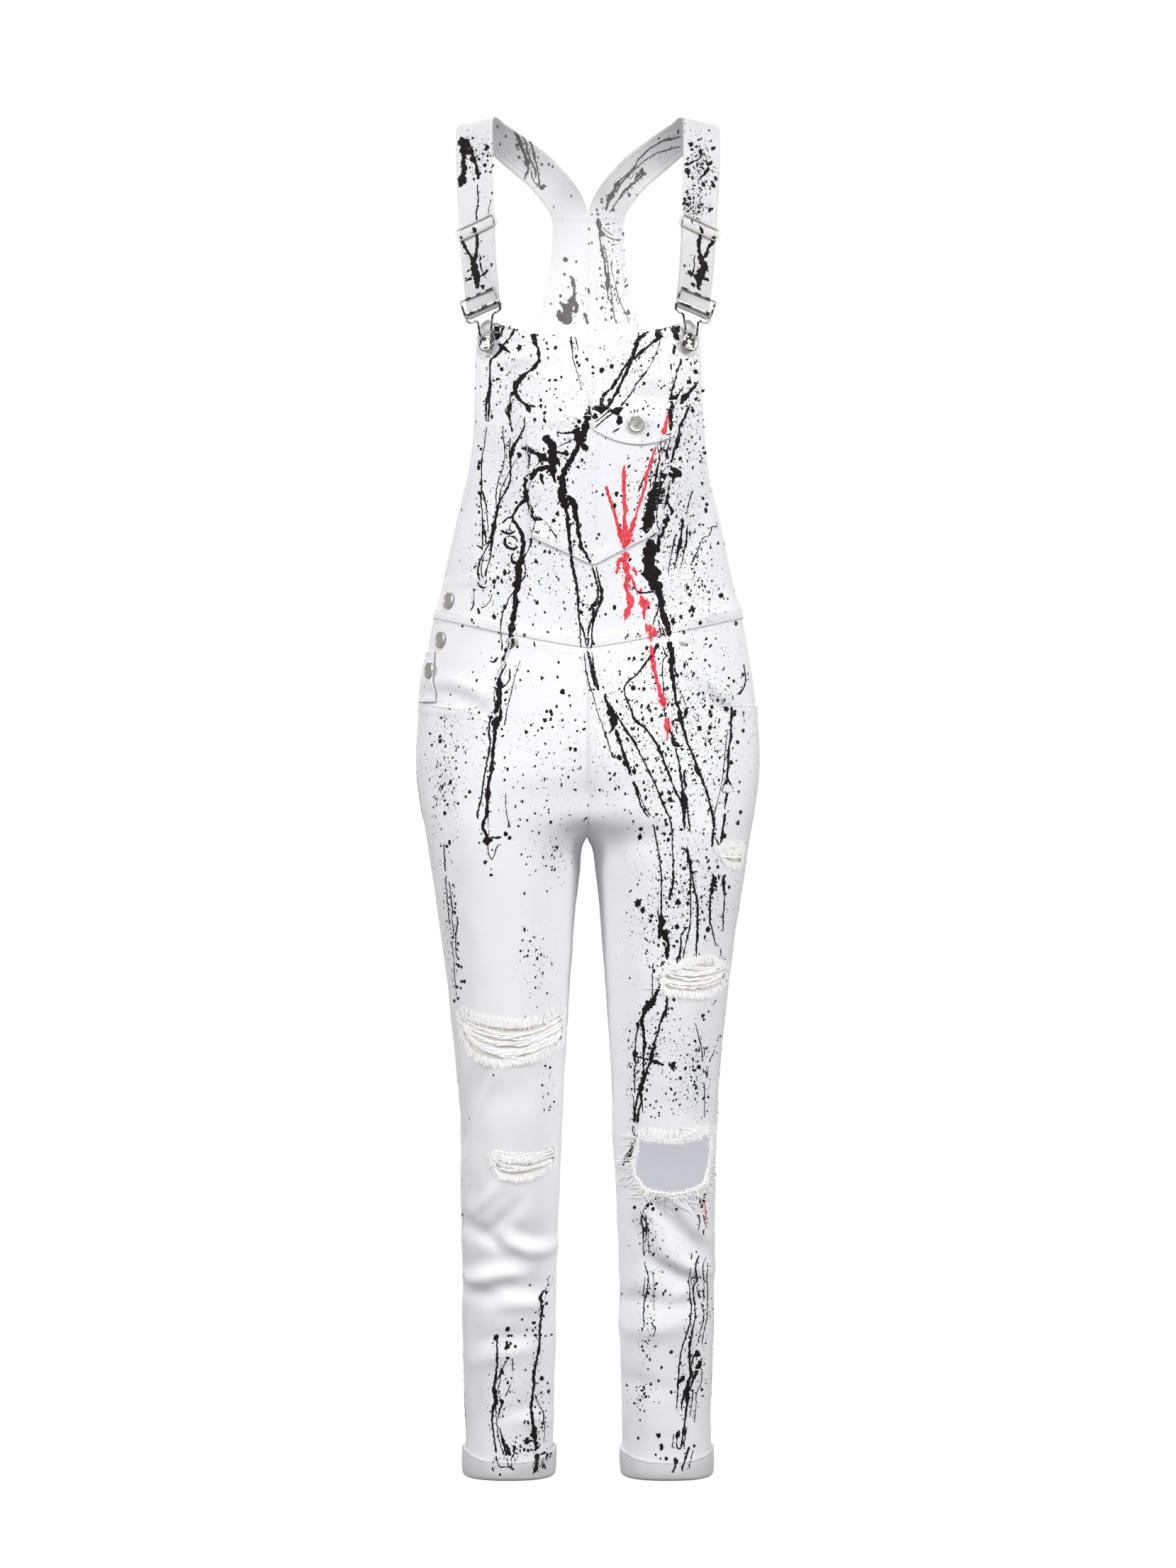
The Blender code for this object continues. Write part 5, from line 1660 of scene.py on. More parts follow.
def ragged_rim(tear, spread=0.9):
    """The rim's curve with small snags, every millimetre or so."""
    rng = np.random.default_rng(len(tear.name) * 7)
    curve = smoothed(tear.rim, 14, closed=True)
    steps = np.linalg.norm(np.diff(curve, axis=0), axis=1)
    run = np.concatenate([[0], np.cumsum(steps)])
    count = int(run[-1] / 1.3)
    at = np.linspace(0, run[-1], count, endpoint=False)
    even = np.stack([np.interp(at, run, curve[:, k]) for k in (0, 1)], axis=1)
    return even + rng.normal(size=even.shape) * spread * 0.45


def cut_tear(tear):
    """Cuts the opening through the leg's front."""
    rim = ragged_rim(tear, 0.3)
    count = len(rim)
    near = [(x, -220, z) for x, z in rim]
    far = [(x, -12, z) for x, z in rim]
    faces = [[k, (k + 1) % count, count + (k + 1) % count, count + k] for k in range(count)]
    faces += [list(range(count))[::-1], [count + k for k in range(count)]]
    mesh = mesh_from(f"{tear.name}_cut", np.array(near + far), faces, smooth=False)
    solid = bmesh.new()
    solid.from_mesh(mesh)
    bmesh.ops.triangulate(solid, faces=[f for f in solid.faces if len(f.verts) > 4])
    bmesh.ops.recalc_face_normals(solid, faces=solid.faces[:])
    solid.to_mesh(mesh)
    solid.free()
    cutter = bpy.data.objects.new(mesh.name, mesh)
    bpy.context.scene.collection.objects.link(cutter)
    leg = PIECES[tear.leg]
    cut = leg.modifiers.new("cut", "BOOLEAN")
    cut.operation, cut.object, cut.solver = "DIFFERENCE", cutter, "EXACT"
    fresh = evaluated_mesh(leg)
    leg.modifiers.clear()
    old, leg.data = leg.data, fresh
    fresh.name = leg.name
    bpy.data.meshes.remove(old)
    bpy.data.objects.remove(cutter)
    if not fresh.polygons:
        raise RuntimeError(f"{tear.leg} was lost while {tear.name} was cut")


def on_leg(points, lift):
    """Places so far above the form's front, in millimetres."""
    points = np.asarray(points, float)
    place, facing = on_front(points[:, 0], points[:, 1])
    return place + facing * np.asarray(lift, float).reshape(-1, 1), facing


def make_backing(tear):
    """The patch of old cloth behind a tear."""
    rim = np.array(tear.rim, float)
    low, high = rim.min(axis=0) - 7, rim.max(axis=0) + 7
    limit = 1.0 if low[0] < 0 else -1.0
    across = np.linspace(low[0], high[0], 30)
    down = np.linspace(high[1], low[1], 20)
    x, z = np.meshgrid(across, down)
    centre, half, _, _ = ring_at(z)
    edge = centre + half * 0.985
    inner = centre - half * 0.985
    x = np.where(limit > 0, -np.clip(-x, inner, edge), np.clip(x, inner, edge))
    place, facing = on_front(x, z)
    wave = 0.3 * np.sin(x / 5.0 + z / 9.0) + 0.25 * np.sin(z / 3.3)
    name = f"{tear.name}_backing"
    finishes = ("backing_cloth", "backing_cloth")
    shell(name, (place, facing), -2.1, 0.6, rise=wave, finishes=finishes)


def bristle_shapes():
    """Flat tapered tufts of yarn, one unit long on X and wide on Y, bent off the cloth."""
    shapes = []
    for bend, swing in ((0.12, 0.05), (0.2, -0.12), (0.06, 0.16), (0.26, 0.02)):
        places = []
        for t, half in ((0, 0.3), (0.35, 0.5), (0.7, 0.42), (1, 0.06)):
            middle, rise = swing * math.sin(3 * t), bend * t * t
            places += [(t, middle - half, rise - 0.02), (t, middle, rise + 0.03)]
            places.append((t, middle + half, rise - 0.02))
        faces = []
        for k in range(0, 9, 3):
            faces += [[k, k + 3, k + 4, k + 1], [k + 1, k + 4, k + 5, k + 2]]
        shapes.append((places, faces))
    return shapes


def rim_bristles(tear, rng):
    """Frayed ends in a dense white pile along the upper and lower rim, all combed downwards."""
    spots = []
    length = bpy.context.scene.overalls_tears.fringe / MM
    rim = ragged_rim(tear, 0.4)
    middle = rim.mean(axis=0)
    ahead = np.roll(rim, -1, axis=0) - np.roll(rim, 1, axis=0)
    for point, along in zip(rim, ahead):
        inward = np.array([along[1], -along[0]])
        inward /= np.linalg.norm(inward) + 1e-9
        if inward @ (middle - point) < 0:
            inward = -inward
        upper, lower = inward[1] < -0.35, inward[1] > 0.35
        if upper:
            nearest, farthest, count = -0.5, tear.pile, 3 + int(tear.pile * 0.8)
        elif lower and tear.backed:
            nearest, farthest, count = -2.5, tear.pile - 4.5, 2 + int(tear.pile * 0.6)
        else:
            nearest, farthest, count = -0.5, 3.5, 5
        for _ in range(count):
            depth = rng.uniform(nearest, farthest)
            base = point - inward * depth + rng.normal(size=2) * (0.5, 0.3)
            way = np.array([rng.normal(0, 0.24), -1.0])
            if not (upper or lower):
                way = np.array([inward[0] * 0.8 + rng.normal(0, 0.5), -0.8])
            elif lower and not tear.backed:
                way = np.array([rng.normal(0, 0.8), 0.7 * rng.choice((-1, 1))])
            place, facing = on_leg([base], rng.uniform(-0.15, 0.7))
            grow = length * rng.uniform(0.65, 1.15)
            if not (upper or (lower and tear.backed)):
                grow *= 0.8
            extent = (grow, rng.uniform(0.6, 1.0), grow)
            spots.append(Spot(place[0], (way[0], 0, way[1]), facing[0], extent, rng.integers(4)))
    return spots


def sagging_yarns(tear, rng):
    """Loose weft yarns that hang across the opening in twisted bundles."""
    radius = bpy.context.scene.overalls_tears.yarn / MM
    rim = smoothed(tear.rim, 14, closed=True)
    low, high = rim[:, 1].min(), rim[:, 1].max()
    parts = []
    for row in range(tear.rows):
        share = (row + 0.5) / tear.rows
        level = between(high, low, share)
        near = rim[np.abs(rim[:, 1] - level) < 5]
        if len(near) < 2:
            continue
        start = near[near[:, 0].argmin()] + (-1.5, 0)
        end = near[near[:, 0].argmax()] + (1.5, 0)
        start[1] = level + rng.normal(0, 1.2)
        end[1] = level + rng.normal(0, 1.2)
        start[1] += (high - level) * 0.35
        end[1] += (high - level) * 0.35
        sag = tear.sag * (0.75 + 0.5 * math.sin(math.pi * share)) * rng.uniform(0.85, 1.2)
        t = np.linspace(0, 1, 38)
        path = start + (end - start) * t[:, None]
        lean = rng.uniform(0.42, 0.58)
        bow = np.where(t < lean, t / lean, (1 - t) / (1 - lean))
        path[:, 1] -= sag * (1 - (1 - bow) ** 2)
        for _ in range(int(rng.integers(4, 7))):
            phase, twist = rng.uniform(0, 6.3), rng.uniform(3, 6)
            spin = phase + twist * 2 * math.pi * t
            wide = rng.uniform(0.4, 1.1)
            drift = rng.normal(0, 0.7) * np.sin(math.pi * t)
            points = path + np.stack([0 * t, wide * np.sin(spin) + drift], axis=1)
            ends = np.minimum(eased(0, 0.08, t), 1 - eased(0.92, 1, t))
            lift = -1.3 + 1.2 * ends + 0.4 * np.cos(spin)
            place, _ = on_leg(points, lift)
            parts.append(tube(place, radius * rng.uniform(1.0, 1.7), 5))
    return parts


def crosses(rim, middle, points):
    """Whether any of the points is inside the rim, as seen from its middle."""
    spokes, away = rim - middle, points - middle
    turn = np.arctan2(spokes[:, 1], spokes[:, 0])
    order = np.argsort(turn)
    reach = np.linalg.norm(spokes, axis=1)[order]
    limit = np.interp(np.arctan2(away[:, 1], away[:, 0]), turn[order], reach, period=2 * math.pi)
    return bool(np.any(np.linalg.norm(away, axis=1) < limit + 0.5))


def loose_threads(tear, rng, count):
    """Long thin threads that curl away from the rim."""
    parts = []
    rim = smoothed(tear.rim, 8, closed=True)
    middle = rim.mean(axis=0)
    for _ in range(count):
        start = rim[rng.integers(len(rim))]
        if start[1] > middle[1] + 12 and rng.random() < 0.5:
            continue
        away = (start - middle) / np.linalg.norm(start - middle)
        heading = math.atan2(away[1], away[0]) + rng.normal(0, 0.9)
        length = rng.uniform(8, 30)
        steps = int(length / 1.1)
        curl, wander = rng.normal(0, 0.10), rng.uniform(0.05, 0.2)
        points, spot = [], start - away * rng.uniform(0, 2)
        for _ in range(steps):
            points.append(spot)
            heading += curl + rng.normal(0, wander)
            if math.sin(heading) > 0.2:
                heading -= 0.12 * math.copysign(1, math.cos(heading))
            spot = spot + 1.1 * np.array([math.cos(heading), math.sin(heading) - 0.25])
        points = np.array(points)
        if crosses(rim, middle, points[3:]):
            continue
        centre, half, _, _ = ring_at(points[:, 1])
        points[:, 0] = np.clip(points[:, 0], centre - half * 0.97, centre + half * 0.97)
        lift = 0.5 + 0.9 * np.abs(np.sin(np.arange(steps) / rng.uniform(3, 6)))
        place, _ = on_leg(points, lift)
        parts.append(tube(place, rng.uniform(0.26, 0.5), 4))
    return parts


def make_rim_roll(tear, rng):
    """The rolled, felted rim of the open knee."""
    parts = []
    for strand in range(5):
        rim = ragged_rim(tear, 0.5)
        run = np.arange(len(rim))
        wobble = 0.5 * np.sin(run / rng.uniform(2, 4) + strand)
        place, _ = on_leg(rim, -0.9 + 0.42 * strand + 0.4 * wobble)
        middle = place.mean(axis=0)
        out = unit(place - middle)
        place = place + out * (wobble + rng.uniform(-0.6, 0.6))[:, None]
        parts.append(tube(place, rng.uniform(0.45, 0.7), 5, closed=True))
    return parts


def make_tears():
    rng = np.random.default_rng(23)
    for tear in TEARS:
        cut_tear(tear)
        spots = rim_bristles(tear, rng)
        if tear.backed:
            make_backing(tear)
            parts = sagging_yarns(tear, rng) + loose_threads(tear, rng, 3)
        else:
            parts = make_rim_roll(tear, rng) + loose_threads(tear, rng, 240)
        # Fringe and yarns take the weft yarn with its painted glow.
        spots_piece(f"{tear.name}_fringe", spots, bristle_shapes(), "weft_yarn")
        places, faces = joined(parts)
        keep(f"{tear.name}_yarns", mesh_from(f"{tear.name}_yarns", places, faces), ("weft_yarn",))


# ----------------------------------------------------------------------------------- stitches

CLOTH_PIECES = ("bib", "back", "bib_pocket", "bib_pocket_flap", "side_placket")
CLOTH_PIECES += tuple(
    f"{name}_{side}"
    for name in ("front_leg", "back_leg", "pocket_facing", "cuff", "strap_front", "strap_back")
    for side in ("right", "left")
)

# Rows of stitches as piece, edge and distance from that edge.
Row = namedtuple("Row", "piece edge inset")
STRAP_CUTS = ("front_left", "front_right", "back_left", "back_right")
STITCH_ROWS = [
    *(Row("bib", edge, inset) for edge in ("top", "foot", "start", "end") for inset in (2.2, 8.3)),
    *(Row("back", edge, inset) for edge in ("top", "foot", "start", "end") for inset in (2.2, 8.3)),
    *(Row("bib_pocket", edge, inset) for edge in ("foot", "start", "end") for inset in (2.2, 8.3)),
    Row("bib_pocket", "top", 8.3),
    *(Row("bib_pocket_flap", edge, 2.3) for edge in ("top", "foot", "start", "end")),
    Row("bib_pocket_flap", "top", 8.5),
    *(Row("side_placket", edge, 2.3) for edge in ("top", "foot", "start", "end")),
    *(Row("front_leg_right", edge, i) for edge in ("top", "end") for i in (2.2, 8.3)),
    *(Row("front_leg_left", edge, i) for edge in ("top", "end", "start") for i in (2.2, 8.3)),
    *(Row("back_leg_left", "end", i) for i in (2.4, 8.4)),
    *(Row(f"strap_{cut}", edge, 2.6) for cut in STRAP_CUTS for edge in ("start", "end")),
    Row("cuff_left", "top", 0),
    Row("cuff_right", "top", 0),
]


# Rows beside the centre seams, as piece and distance to the wearer's left.
SEAM_LINES = (("bib", 7.2), ("bib", 1.0), ("back", 5.2), ("back", -1.0), ("bib_pocket", 9.0))
STITCH_REACH = 0.0016  # how near its cloth a stitch has to lie, in metres


def edge_line(piece, edge, inset):
    """Places and facings along a piece's outer face, so far from one of its edges."""
    views = []
    for grid in SKINS[piece]:
        grid = grid.transpose(1, 0, 2) if edge in ("start", "end") else grid
        views.append(grid[::-1] if edge in ("foot", "end") else grid)
    place, facing = views
    run = run_from(place, 0)
    column = np.arange(place.shape[1])
    i = np.clip((run < inset).sum(axis=0) - 1, 0, len(place) - 2)
    gap = np.maximum(run[i + 1, column] - run[i, column], 1e-6)
    t = np.clip((inset - run[i, column]) / gap, 0, 1)[:, None]
    return between(place[i, column], place[i + 1, column], t), facing[i, column]


def along_line(place, pitch):
    """Numbers into a line of places, with fractions, at an even pitch."""
    run = np.concatenate([[0], np.cumsum(np.linalg.norm(np.diff(place, axis=0), axis=1))])
    return np.interp(np.arange(pitch / 2, run[-1], pitch), run, np.arange(len(place)))


def stitch_spots(place, facing, pitch, cloth, rng):
    """Stitches along a line of places, but none where a tear has taken the cloth away."""
    spots = []
    at = along_line(place, pitch)
    numbers = np.arange(len(place))
    for value in at:
        here = np.array([np.interp(value, numbers, place[:, k]) for k in range(3)])
        i = min(int(value), len(place) - 2)
        along = place[i + 1] - place[i]
        sewn_on = cloth.find_nearest(Vector(here * MM), STITCH_REACH)[0]
        if sewn_on is None or np.linalg.norm(along) < 1e-6:
            continue
        extent = (pitch * rng.uniform(0.72, 0.82), 0.62, 0.5)
        spots.append(Spot(here + facing[i] * 0.06, along, facing[i], extent))
    return spots


STITCH = (
    [(-0.5, 0, 0), (0.5, 0, 0)]
    + [(-0.3, y, z) for y, z in ((0.5, 0), (0, 0.5), (-0.5, 0), (0, -0.5))]
    + [(0.3, y, z) for y, z in ((0.5, 0), (0, 0.5), (-0.5, 0), (0, -0.5))],
    [[0, 2 + (k + 1) % 4, 2 + k] for k in range(4)]
    + [[1, 6 + k, 6 + (k + 1) % 4] for k in range(4)]
    + [[2 + k, 2 + (k + 1) % 4, 6 + (k + 1) % 4, 6 + k] for k in range(4)],
)


def cloth_tree(names=CLOTH_PIECES):
    """A search tree over the finished cloth."""
    places, faces, start = [], [], 0
    for name in names:
        mesh = PIECES[name].data
        flat = np.zeros(len(mesh.vertices) * 3)
        mesh.vertices.foreach_get("co", flat)
        places.append(flat.reshape(-1, 3))
        faces += [[start + v for v in polygon.vertices] for polygon in mesh.polygons]
        start += len(mesh.vertices)
    return BVHTree.FromPolygons(np.concatenate(places).tolist(), faces)


def make_stitches():
    rng = np.random.default_rng(31)
    pitch = bpy.context.scene.overalls_cloth.stitch_pitch / MM
    cloth = cloth_tree()
    spots = []
    for row in STITCH_ROWS:
        place, facing = edge_line(*row)
        spots += stitch_spots(place, facing, pitch, cloth, rng)
    for piece, across in SEAM_LINES:
        place, facing = SKINS[piece]
        column = np.abs(place[len(place) // 2, :, 0] - across).argmin()
        spots += stitch_spots(place[:, column], facing[:, column], pitch, cloth, rng)
    spots_piece("stitches", spots, [STITCH], "sewing_thread", 0.08)


# -------------------------------------------------------------------------------------- paint

# Paint as it lies on the worn cloth, in millimetres: every run lists distance to the wearer's left,
# height and width, point after point down its middle. Every blot is distance, height and radius.
BIB_RUNS = [
    # upper corner on the wearer's right
    [-89, -224, 6, -91, -231, 9, -92, -238, 8, -94, -243, 3],
    [-83, -226, 1.2, -86, -230, 1.5, -89, -234, 2],
    [-81, -227, 0.8, -83, -231, 0.6],
    [-69, -232, 3, -74, -232, 2, -77, -237, 2.5, -80, -242, 1.2, -86, -248, 1.6, -88, -252, 4, -91,
     -256, 2, -95, -260, 1.5, -99, -263, 1.8, -100, -272, 1.2, -100, -283, 1.8, -100, -292, 3.2,
     -101, -300, 2.2, -101, -312, 1.8, -102, -326, 0.8],
    [-101, -294, 2.5, -103, -301, 1.6, -104, -313, 1.5, -104, -323, 0.6],
    [-92, -247, 2, -87, -250, 3, -83, -254, 2.5, -79, -257, 1],
    [-103, -331, 1, -105, -340, 0.8, -106, -350, 0.8, -108, -358, 1, -109, -368, 1.5, -109, -380,
     1.2, -109, -395, 2, -110, -402, 2.2, -109, -412, 1.4, -108, -422, 1.2, -108, -433, 1.6, -108,
     -443, 1.8, -108, -450, 1.6, -108, -457, 1],
    [-59, -240, 4, -55, -241, 5, -54, -247, 3, -51, -253, 2, -50, -260, 1.8, -51, -267, 2.2, -55,
     -273, 4, -61, -277, 1.5, -66, -281, 4.5, -71, -286, 5, -74, -293, 4.5, -73, -299, 3.5, -70,
     -304, 2.5, -65, -309, 2.5, -61, -313, 4, -59, -319, 2],
    [-79, -297, 3, -74, -299, 4],
    [-62, -311, 2, -56, -312, 2, -53, -313, 1.5],
    [-79, -299, 0.9, -79, -306, 0.9, -80, -312, 4, -81, -319, 3, -79, -326, 0.9, -78, -333, 1, -77,
     -337, 3.5],
    [-81, -309, 0.8, -84, -315, 0.8, -82, -320, 1],
    [-64, -322, 1.2, -65, -328, 1, -65, -333, 1.2, -68, -339, 1.8, -72, -346, 2, -76, -352, 3.5,
     -78, -359, 2.5, -79, -366, 1.6, -79, -383, 1.2, -81, -391, 1.3, -84, -397, 1.5, -88, -403,
     1.3, -91, -409, 1.8, -93, -417, 2.6, -95, -427, 2.4, -97, -436, 2.8, -98, -444, 3, -99, -450,
     2.4, -99, -458, 1.3, -101, -468, 0.9, -104, -477, 0.8, -105, -484, 1.6],
    [-79, -343, 0.7, -80, -352, 1, -80, -361, 1.5, -79, -370, 1.4],
    [-86, -331, 1, -87, -338, 0.7, -86, -346, 1, -85, -352, 1.6, -85, -360, 0.7, -86, -369, 0.8,
     -88, -377, 0.8, -91, -384, 0.9, -93, -392, 1.1, -94, -400, 1.6, -94, -408, 1.1, -93, -416,
     1.5],
    [-72, -364, 0.6, -76, -370, 0.8, -80, -377, 0.8, -84, -385, 0.9, -88, -393, 1, -90, -400, 1.2,
     -91, -408, 1.2],
    # middle of the pocket, on the wearer's right
    [-63, -350, 1.5, -62, -356, 3, -61, -363, 2, -60, -368, 0.8, -61, -376, 0.6],
    [-68, -354, 3, -62, -355, 3, -57, -358, 3.5, -51, -361, 4, -46, -364, 6, -41, -368, 7],
    [-47, -346, 3.5, -42, -346, 6, -38, -350, 7, -36, -357, 9, -36, -365, 9, -36, -373, 8, -36,
     -380, 4.5, -34, -387, 2.5, -32, -390, 1],
    [-40, -372, 5, -45, -375, 4, -52, -377, 4, -57, -382, 5, -62, -388, 3.5, -63, -396, 5, -63,
     -404, 4.5, -66, -408, 3, -71, -413, 2.2, -75, -419, 2, -77, -425, 2.6, -74, -430, 2.4, -70,
     -436, 3.2, -67, -443, 3.6, -66, -451, 4, -67, -459, 4, -68, -466, 5, -70, -472, 7, -71, -480,
     5, -71, -488, 5, -73, -495, 5, -74, -502, 4.5, -74, -511, 4.2, -75, -520, 4.6, -77, -529, 5,
     -78, -538, 5, -79, -546, 4.6, -78, -553, 5.5, -82, -559, 3.6, -85, -567, 4, -87, -576, 4, -90,
     -584, 4, -91, -591, 4, -90, -597, 7, -91, -604, 5, -91, -611, 6, -93, -618, 4.5, -96, -624,
     4.5],
    [-48, -380, 3, -47, -386, 3, -45, -392, 0.8],
    [-53, -373, 0.8, -49, -369, 1, -45, -370, 1],
    [-32, -358, 2, -27, -360, 2, -22, -360, 2.5],
    [-31, -354, 0.8, -23, -350, 0.9, -14, -346, 1],
    [-32, -338, 1, -26, -340, 1.2, -17, -339, 2, -13, -338, 3.5, -8, -334, 3],
    [1, -312, 1.5, 1, -319, 2.5, -1, -324, 5, -2, -331, 6, -4, -338, 8, -8, -343, 9, -9, -350, 5,
     -12, -357, 4, -16, -364, 4.5, -20, -371, 5, -24, -378, 5, -26, -386, 5, -26, -394, 7, -26,
     -404, 9, -24, -410, 6, -22, -417, 3, -21, -426, 3, -20, -436, 2.8, -19, -446, 2.8, -18, -456,
     3, -17, -464, 2.6, -16, -473, 2.6, -14, -482, 2.2, -12, -491, 2.2, -11, -500, 2, -10, -508,
     2.4, -10, -517, 1.5, -9, -527, 1.5, -8, -537, 1, -8, -547, 0.9, -7, -557, 0.8],
    [-8, -350, 4, -3, -354, 4, 0, -357, 2],
    [-17, -238, 1.2, -17, -247, 2.2, -16, -256, 1, -15, -265, 1, -12, -275, 0.9, -9, -285, 0.6, -6,
     -297, 0.4],
    [-14, -238, 0.8, -12, -246, 1, -10, -256, 1],
    # lower bib on the wearer's right
    [-108, -456, 1, -111, -453, 1, -115, -451, 0.7],
    [-108, -396, 1.6, -106, -404, 2.4, -104, -413, 1.4, -103, -425, 0.7, -102, -438, 0.6],
    [-109, -422, 0.8, -107, -432, 1.3, -105, -443, 1.5, -104, -449, 1.8, -100, -448, 1.6],
    [-96, -433, 1.2, -99, -440, 1, -100, -447, 1.2, -104, -455, 1.5, -108, -462, 1.2, -111, -469,
     2.2, -113, -477, 1.6, -112, -484, 2, -110, -488, 0.6],
    [-106, -462, 0.8, -109, -471, 0.8, -109, -481, 0.9, -107, -486, 1.6],
    [-113, -489, 2, -111, -493, 2, -107, -495, 1.8, -103, -494, 0.8],
    [-117, -495, 1.6, -117, -501, 0.7, -117, -509, 0.9, -118, -514, 1, -121, -519, 0.7],
    [-98, -501, 0.6, -100, -508, 1, -103, -512, 0.8, -108, -516, 0.6],
    [-62, -404, 4, -60, -411, 3, -58, -418, 3, -56, -425, 3, -52, -426, 3, -46, -427, 2],
    [-53, -426, 1.6, -55, -433, 1, -57, -441, 1, -58, -449, 1.6, -60, -456, 1.4, -64, -462, 1.6,
     -66, -467, 2],
    [-44, -428, 0.5, -39, -435, 0.7, -35, -441, 1.1, -31, -447, 1],
    [-66, -468, 1, -64, -475, 1, -64, -482, 1, -67, -488, 1.2, -70, -491, 1.4],
    [-76, -460, 1.2, -78, -464, 1.6, -77, -469, 2.5, -73, -471, 3],
    [-77, -424, 2, -81, -424, 1.5, -85, -427, 2.2, -88, -430, 1.6],
    [-89, -437, 3, -84, -440, 1.6, -78, -440, 1.4, -74, -437, 1],
    [-84, -444, 2, -85, -450, 2.6, -81, -455, 2.5, -75, -456, 2, -72, -453, 1.6],
    [-84, -444, 1, -79, -443, 1, -74, -445, 2, -72, -450, 1.2],
    [-79, -430, 0.9, -80, -436, 1, -77, -438, 0.8],
    [-82, -450, 1.5, -78, -450, 1.5],
    [-76, -500, 2, -80, -505, 1.2, -83, -512, 1.3, -86, -518, 1.8, -88, -525, 1.4, -89, -533, 1.5,
     -89, -543, 0.8, -88, -552, 1.2, -88, -560, 0.8],
    [-22, -403, 5, -17, -407, 6, -14, -413, 6, -13, -421, 5, -11, -430, 3.6, -10, -439, 2.6, -8,
     -448, 2.4, -7, -455, 4, -4, -459, 2.2, 0, -466, 1.8, 3, -471, 2.6],
    [4, -474, 1, 6, -480, 1.6, 8, -488, 1.5, 10, -496, 1.3, 10, -505, 1.6, 8, -512, 2.4, 4, -515,
     2.2, 6, -521, 3, 4, -529, 2, 1, -536, 1.6, 0, -545, 1.2, 0, -556, 1.2],
    [8, -474, 0.8, 10, -483, 1, 12, -492, 1.6, 14, -501, 2.2, 13, -510, 2, 10, -517, 2.2, 7, -524,
     3, 5, -532, 1.8, 4, -542, 1, 4, -552, 1.5, 3, -558, 1.4],
    [-10, -509, 0.8, -5, -512, 0.8, 1, -514, 1],
    [-8, -531, 0.8, -5, -539, 1.6, -3, -548, 2, -1, -557, 1],
    [-101, -570, 1, -96, -571, 1.8, -92, -566, 1.6],
    # upper bib on the wearer's left
    [88, -224, 8, 89, -232, 7, 90, -240, 6, 93, -243, 3],
    [80, -226, 1, 84, -231, 1.5, 86, -236, 1.5],
    [65, -230, 1.5, 60, -236, 2.5, 55, -241, 3, 50, -245, 3.5, 48, -252, 2, 46, -258, 3, 45, -263,
     3, 41, -268, 2.5, 37, -273, 2, 34, -278, 2, 31, -284, 1.8, 28, -288, 4, 23, -295, 1.2, 18,
     -299, 3, 15, -304, 2.2, 13, -310, 2],
    [52, -245, 1.4, 49, -254, 1.3, 46, -262, 1.5, 43, -269, 1.6, 40, -276, 2, 37, -282, 1.8, 34,
     -288, 2, 31, -295, 2.5, 27, -302, 2.5, 23, -309, 2.5, 20, -314, 2],
    [72, -229, 3, 71, -236, 4, 71, -242, 5, 66, -247, 1.8, 60, -252, 1.8, 54, -257, 3, 51, -260,
     2.2, 46, -265, 1.4],
    [71, -241, 4, 76, -240, 3],
    [72, -236, 0.8, 77, -232, 1.4, 81, -231, 2],
    [73, -245, 1.2, 72, -251, 0.6, 69, -259, 0.6, 65, -267, 0.6, 60, -276, 0.8, 56, -281, 2, 53,
     -285, 2, 49, -290, 1, 45, -297, 1.1, 41, -303, 1.6, 37, -308, 1.3, 33, -313, 1.5],
    [36, -314, 3, 30, -317, 5, 25, -318, 4, 22, -315, 2],
    [4, -315, 4, 12, -315, 6, 18, -314, 5, 22, -312, 3],
    [8, -320, 5, 6, -326, 2],
    [22, -317, 1.5, 15, -323, 1.2, 7, -329, 1],
    [26, -319, 1.5, 18, -325, 1.5, 11, -331, 1.3, 7, -335, 0.8],
    [32, -335, 1.5, 25, -339, 1.5],
    [88, -248, 1.5, 88, -254, 3, 87, -259, 1],
    [84, -268, 1.3, 85, -275, 2],
    [95, -262, 1.5, 94, -268, 1.4, 91, -275, 1, 89, -283, 0.8, 87, -291, 1.5, 85, -298, 1.2, 86,
     -305, 5, 87, -310, 4, 84, -316, 5, 84, -324, 3.5, 84, -331, 4, 84, -337, 2.5],
    [85, -331, 2, 88, -332, 1.5],
    [85, -340, 1.5, 79, -341, 1.2],
    [97, -291, 0.8, 92, -299, 1.2, 89, -304, 3],
    [113, -284, 0.8, 109, -290, 2, 103, -297, 3.5, 97, -304, 4, 94, -309, 5],
    [112, -262, 1, 108, -268, 1.5],
    [105, -308, 1, 101, -315, 1.8, 99, -322, 2, 95, -328, 2, 93, -335, 1.3, 92, -343, 2.5, 91,
     -349, 4, 88, -356, 1.8, 86, -364, 1.5, 84, -369, 2],
    [96, -338, 1.5, 92, -344, 2],
    # pocket and below it, on the wearer's left
    [70, -350, 1, 72, -358, 1.2, 73, -366, 2, 71, -373, 2, 70, -383, 2],
    [80, -347, 0.8, 77, -354, 1, 75, -362, 0.8],
    [84, -343, 0.7, 82, -352, 0.9, 80, -361, 2.5, 82, -365, 2],
    [75, -344, 0.6, 74, -350, 1, 74, -358, 0.8],
    [84, -371, 6, 83, -377, 14, 79, -385, 12, 75, -393, 13, 73, -400, 14, 69, -402, 14, 66, -410,
     11, 63, -418, 10, 62, -426, 10, 60, -434, 9, 59, -441, 7],
    [86, -374, 8, 91, -379, 8, 95, -383, 4],
    [88, -384, 2, 86, -390, 1.5],
    [70, -374, 1, 69, -383, 1.2, 68, -392, 1],
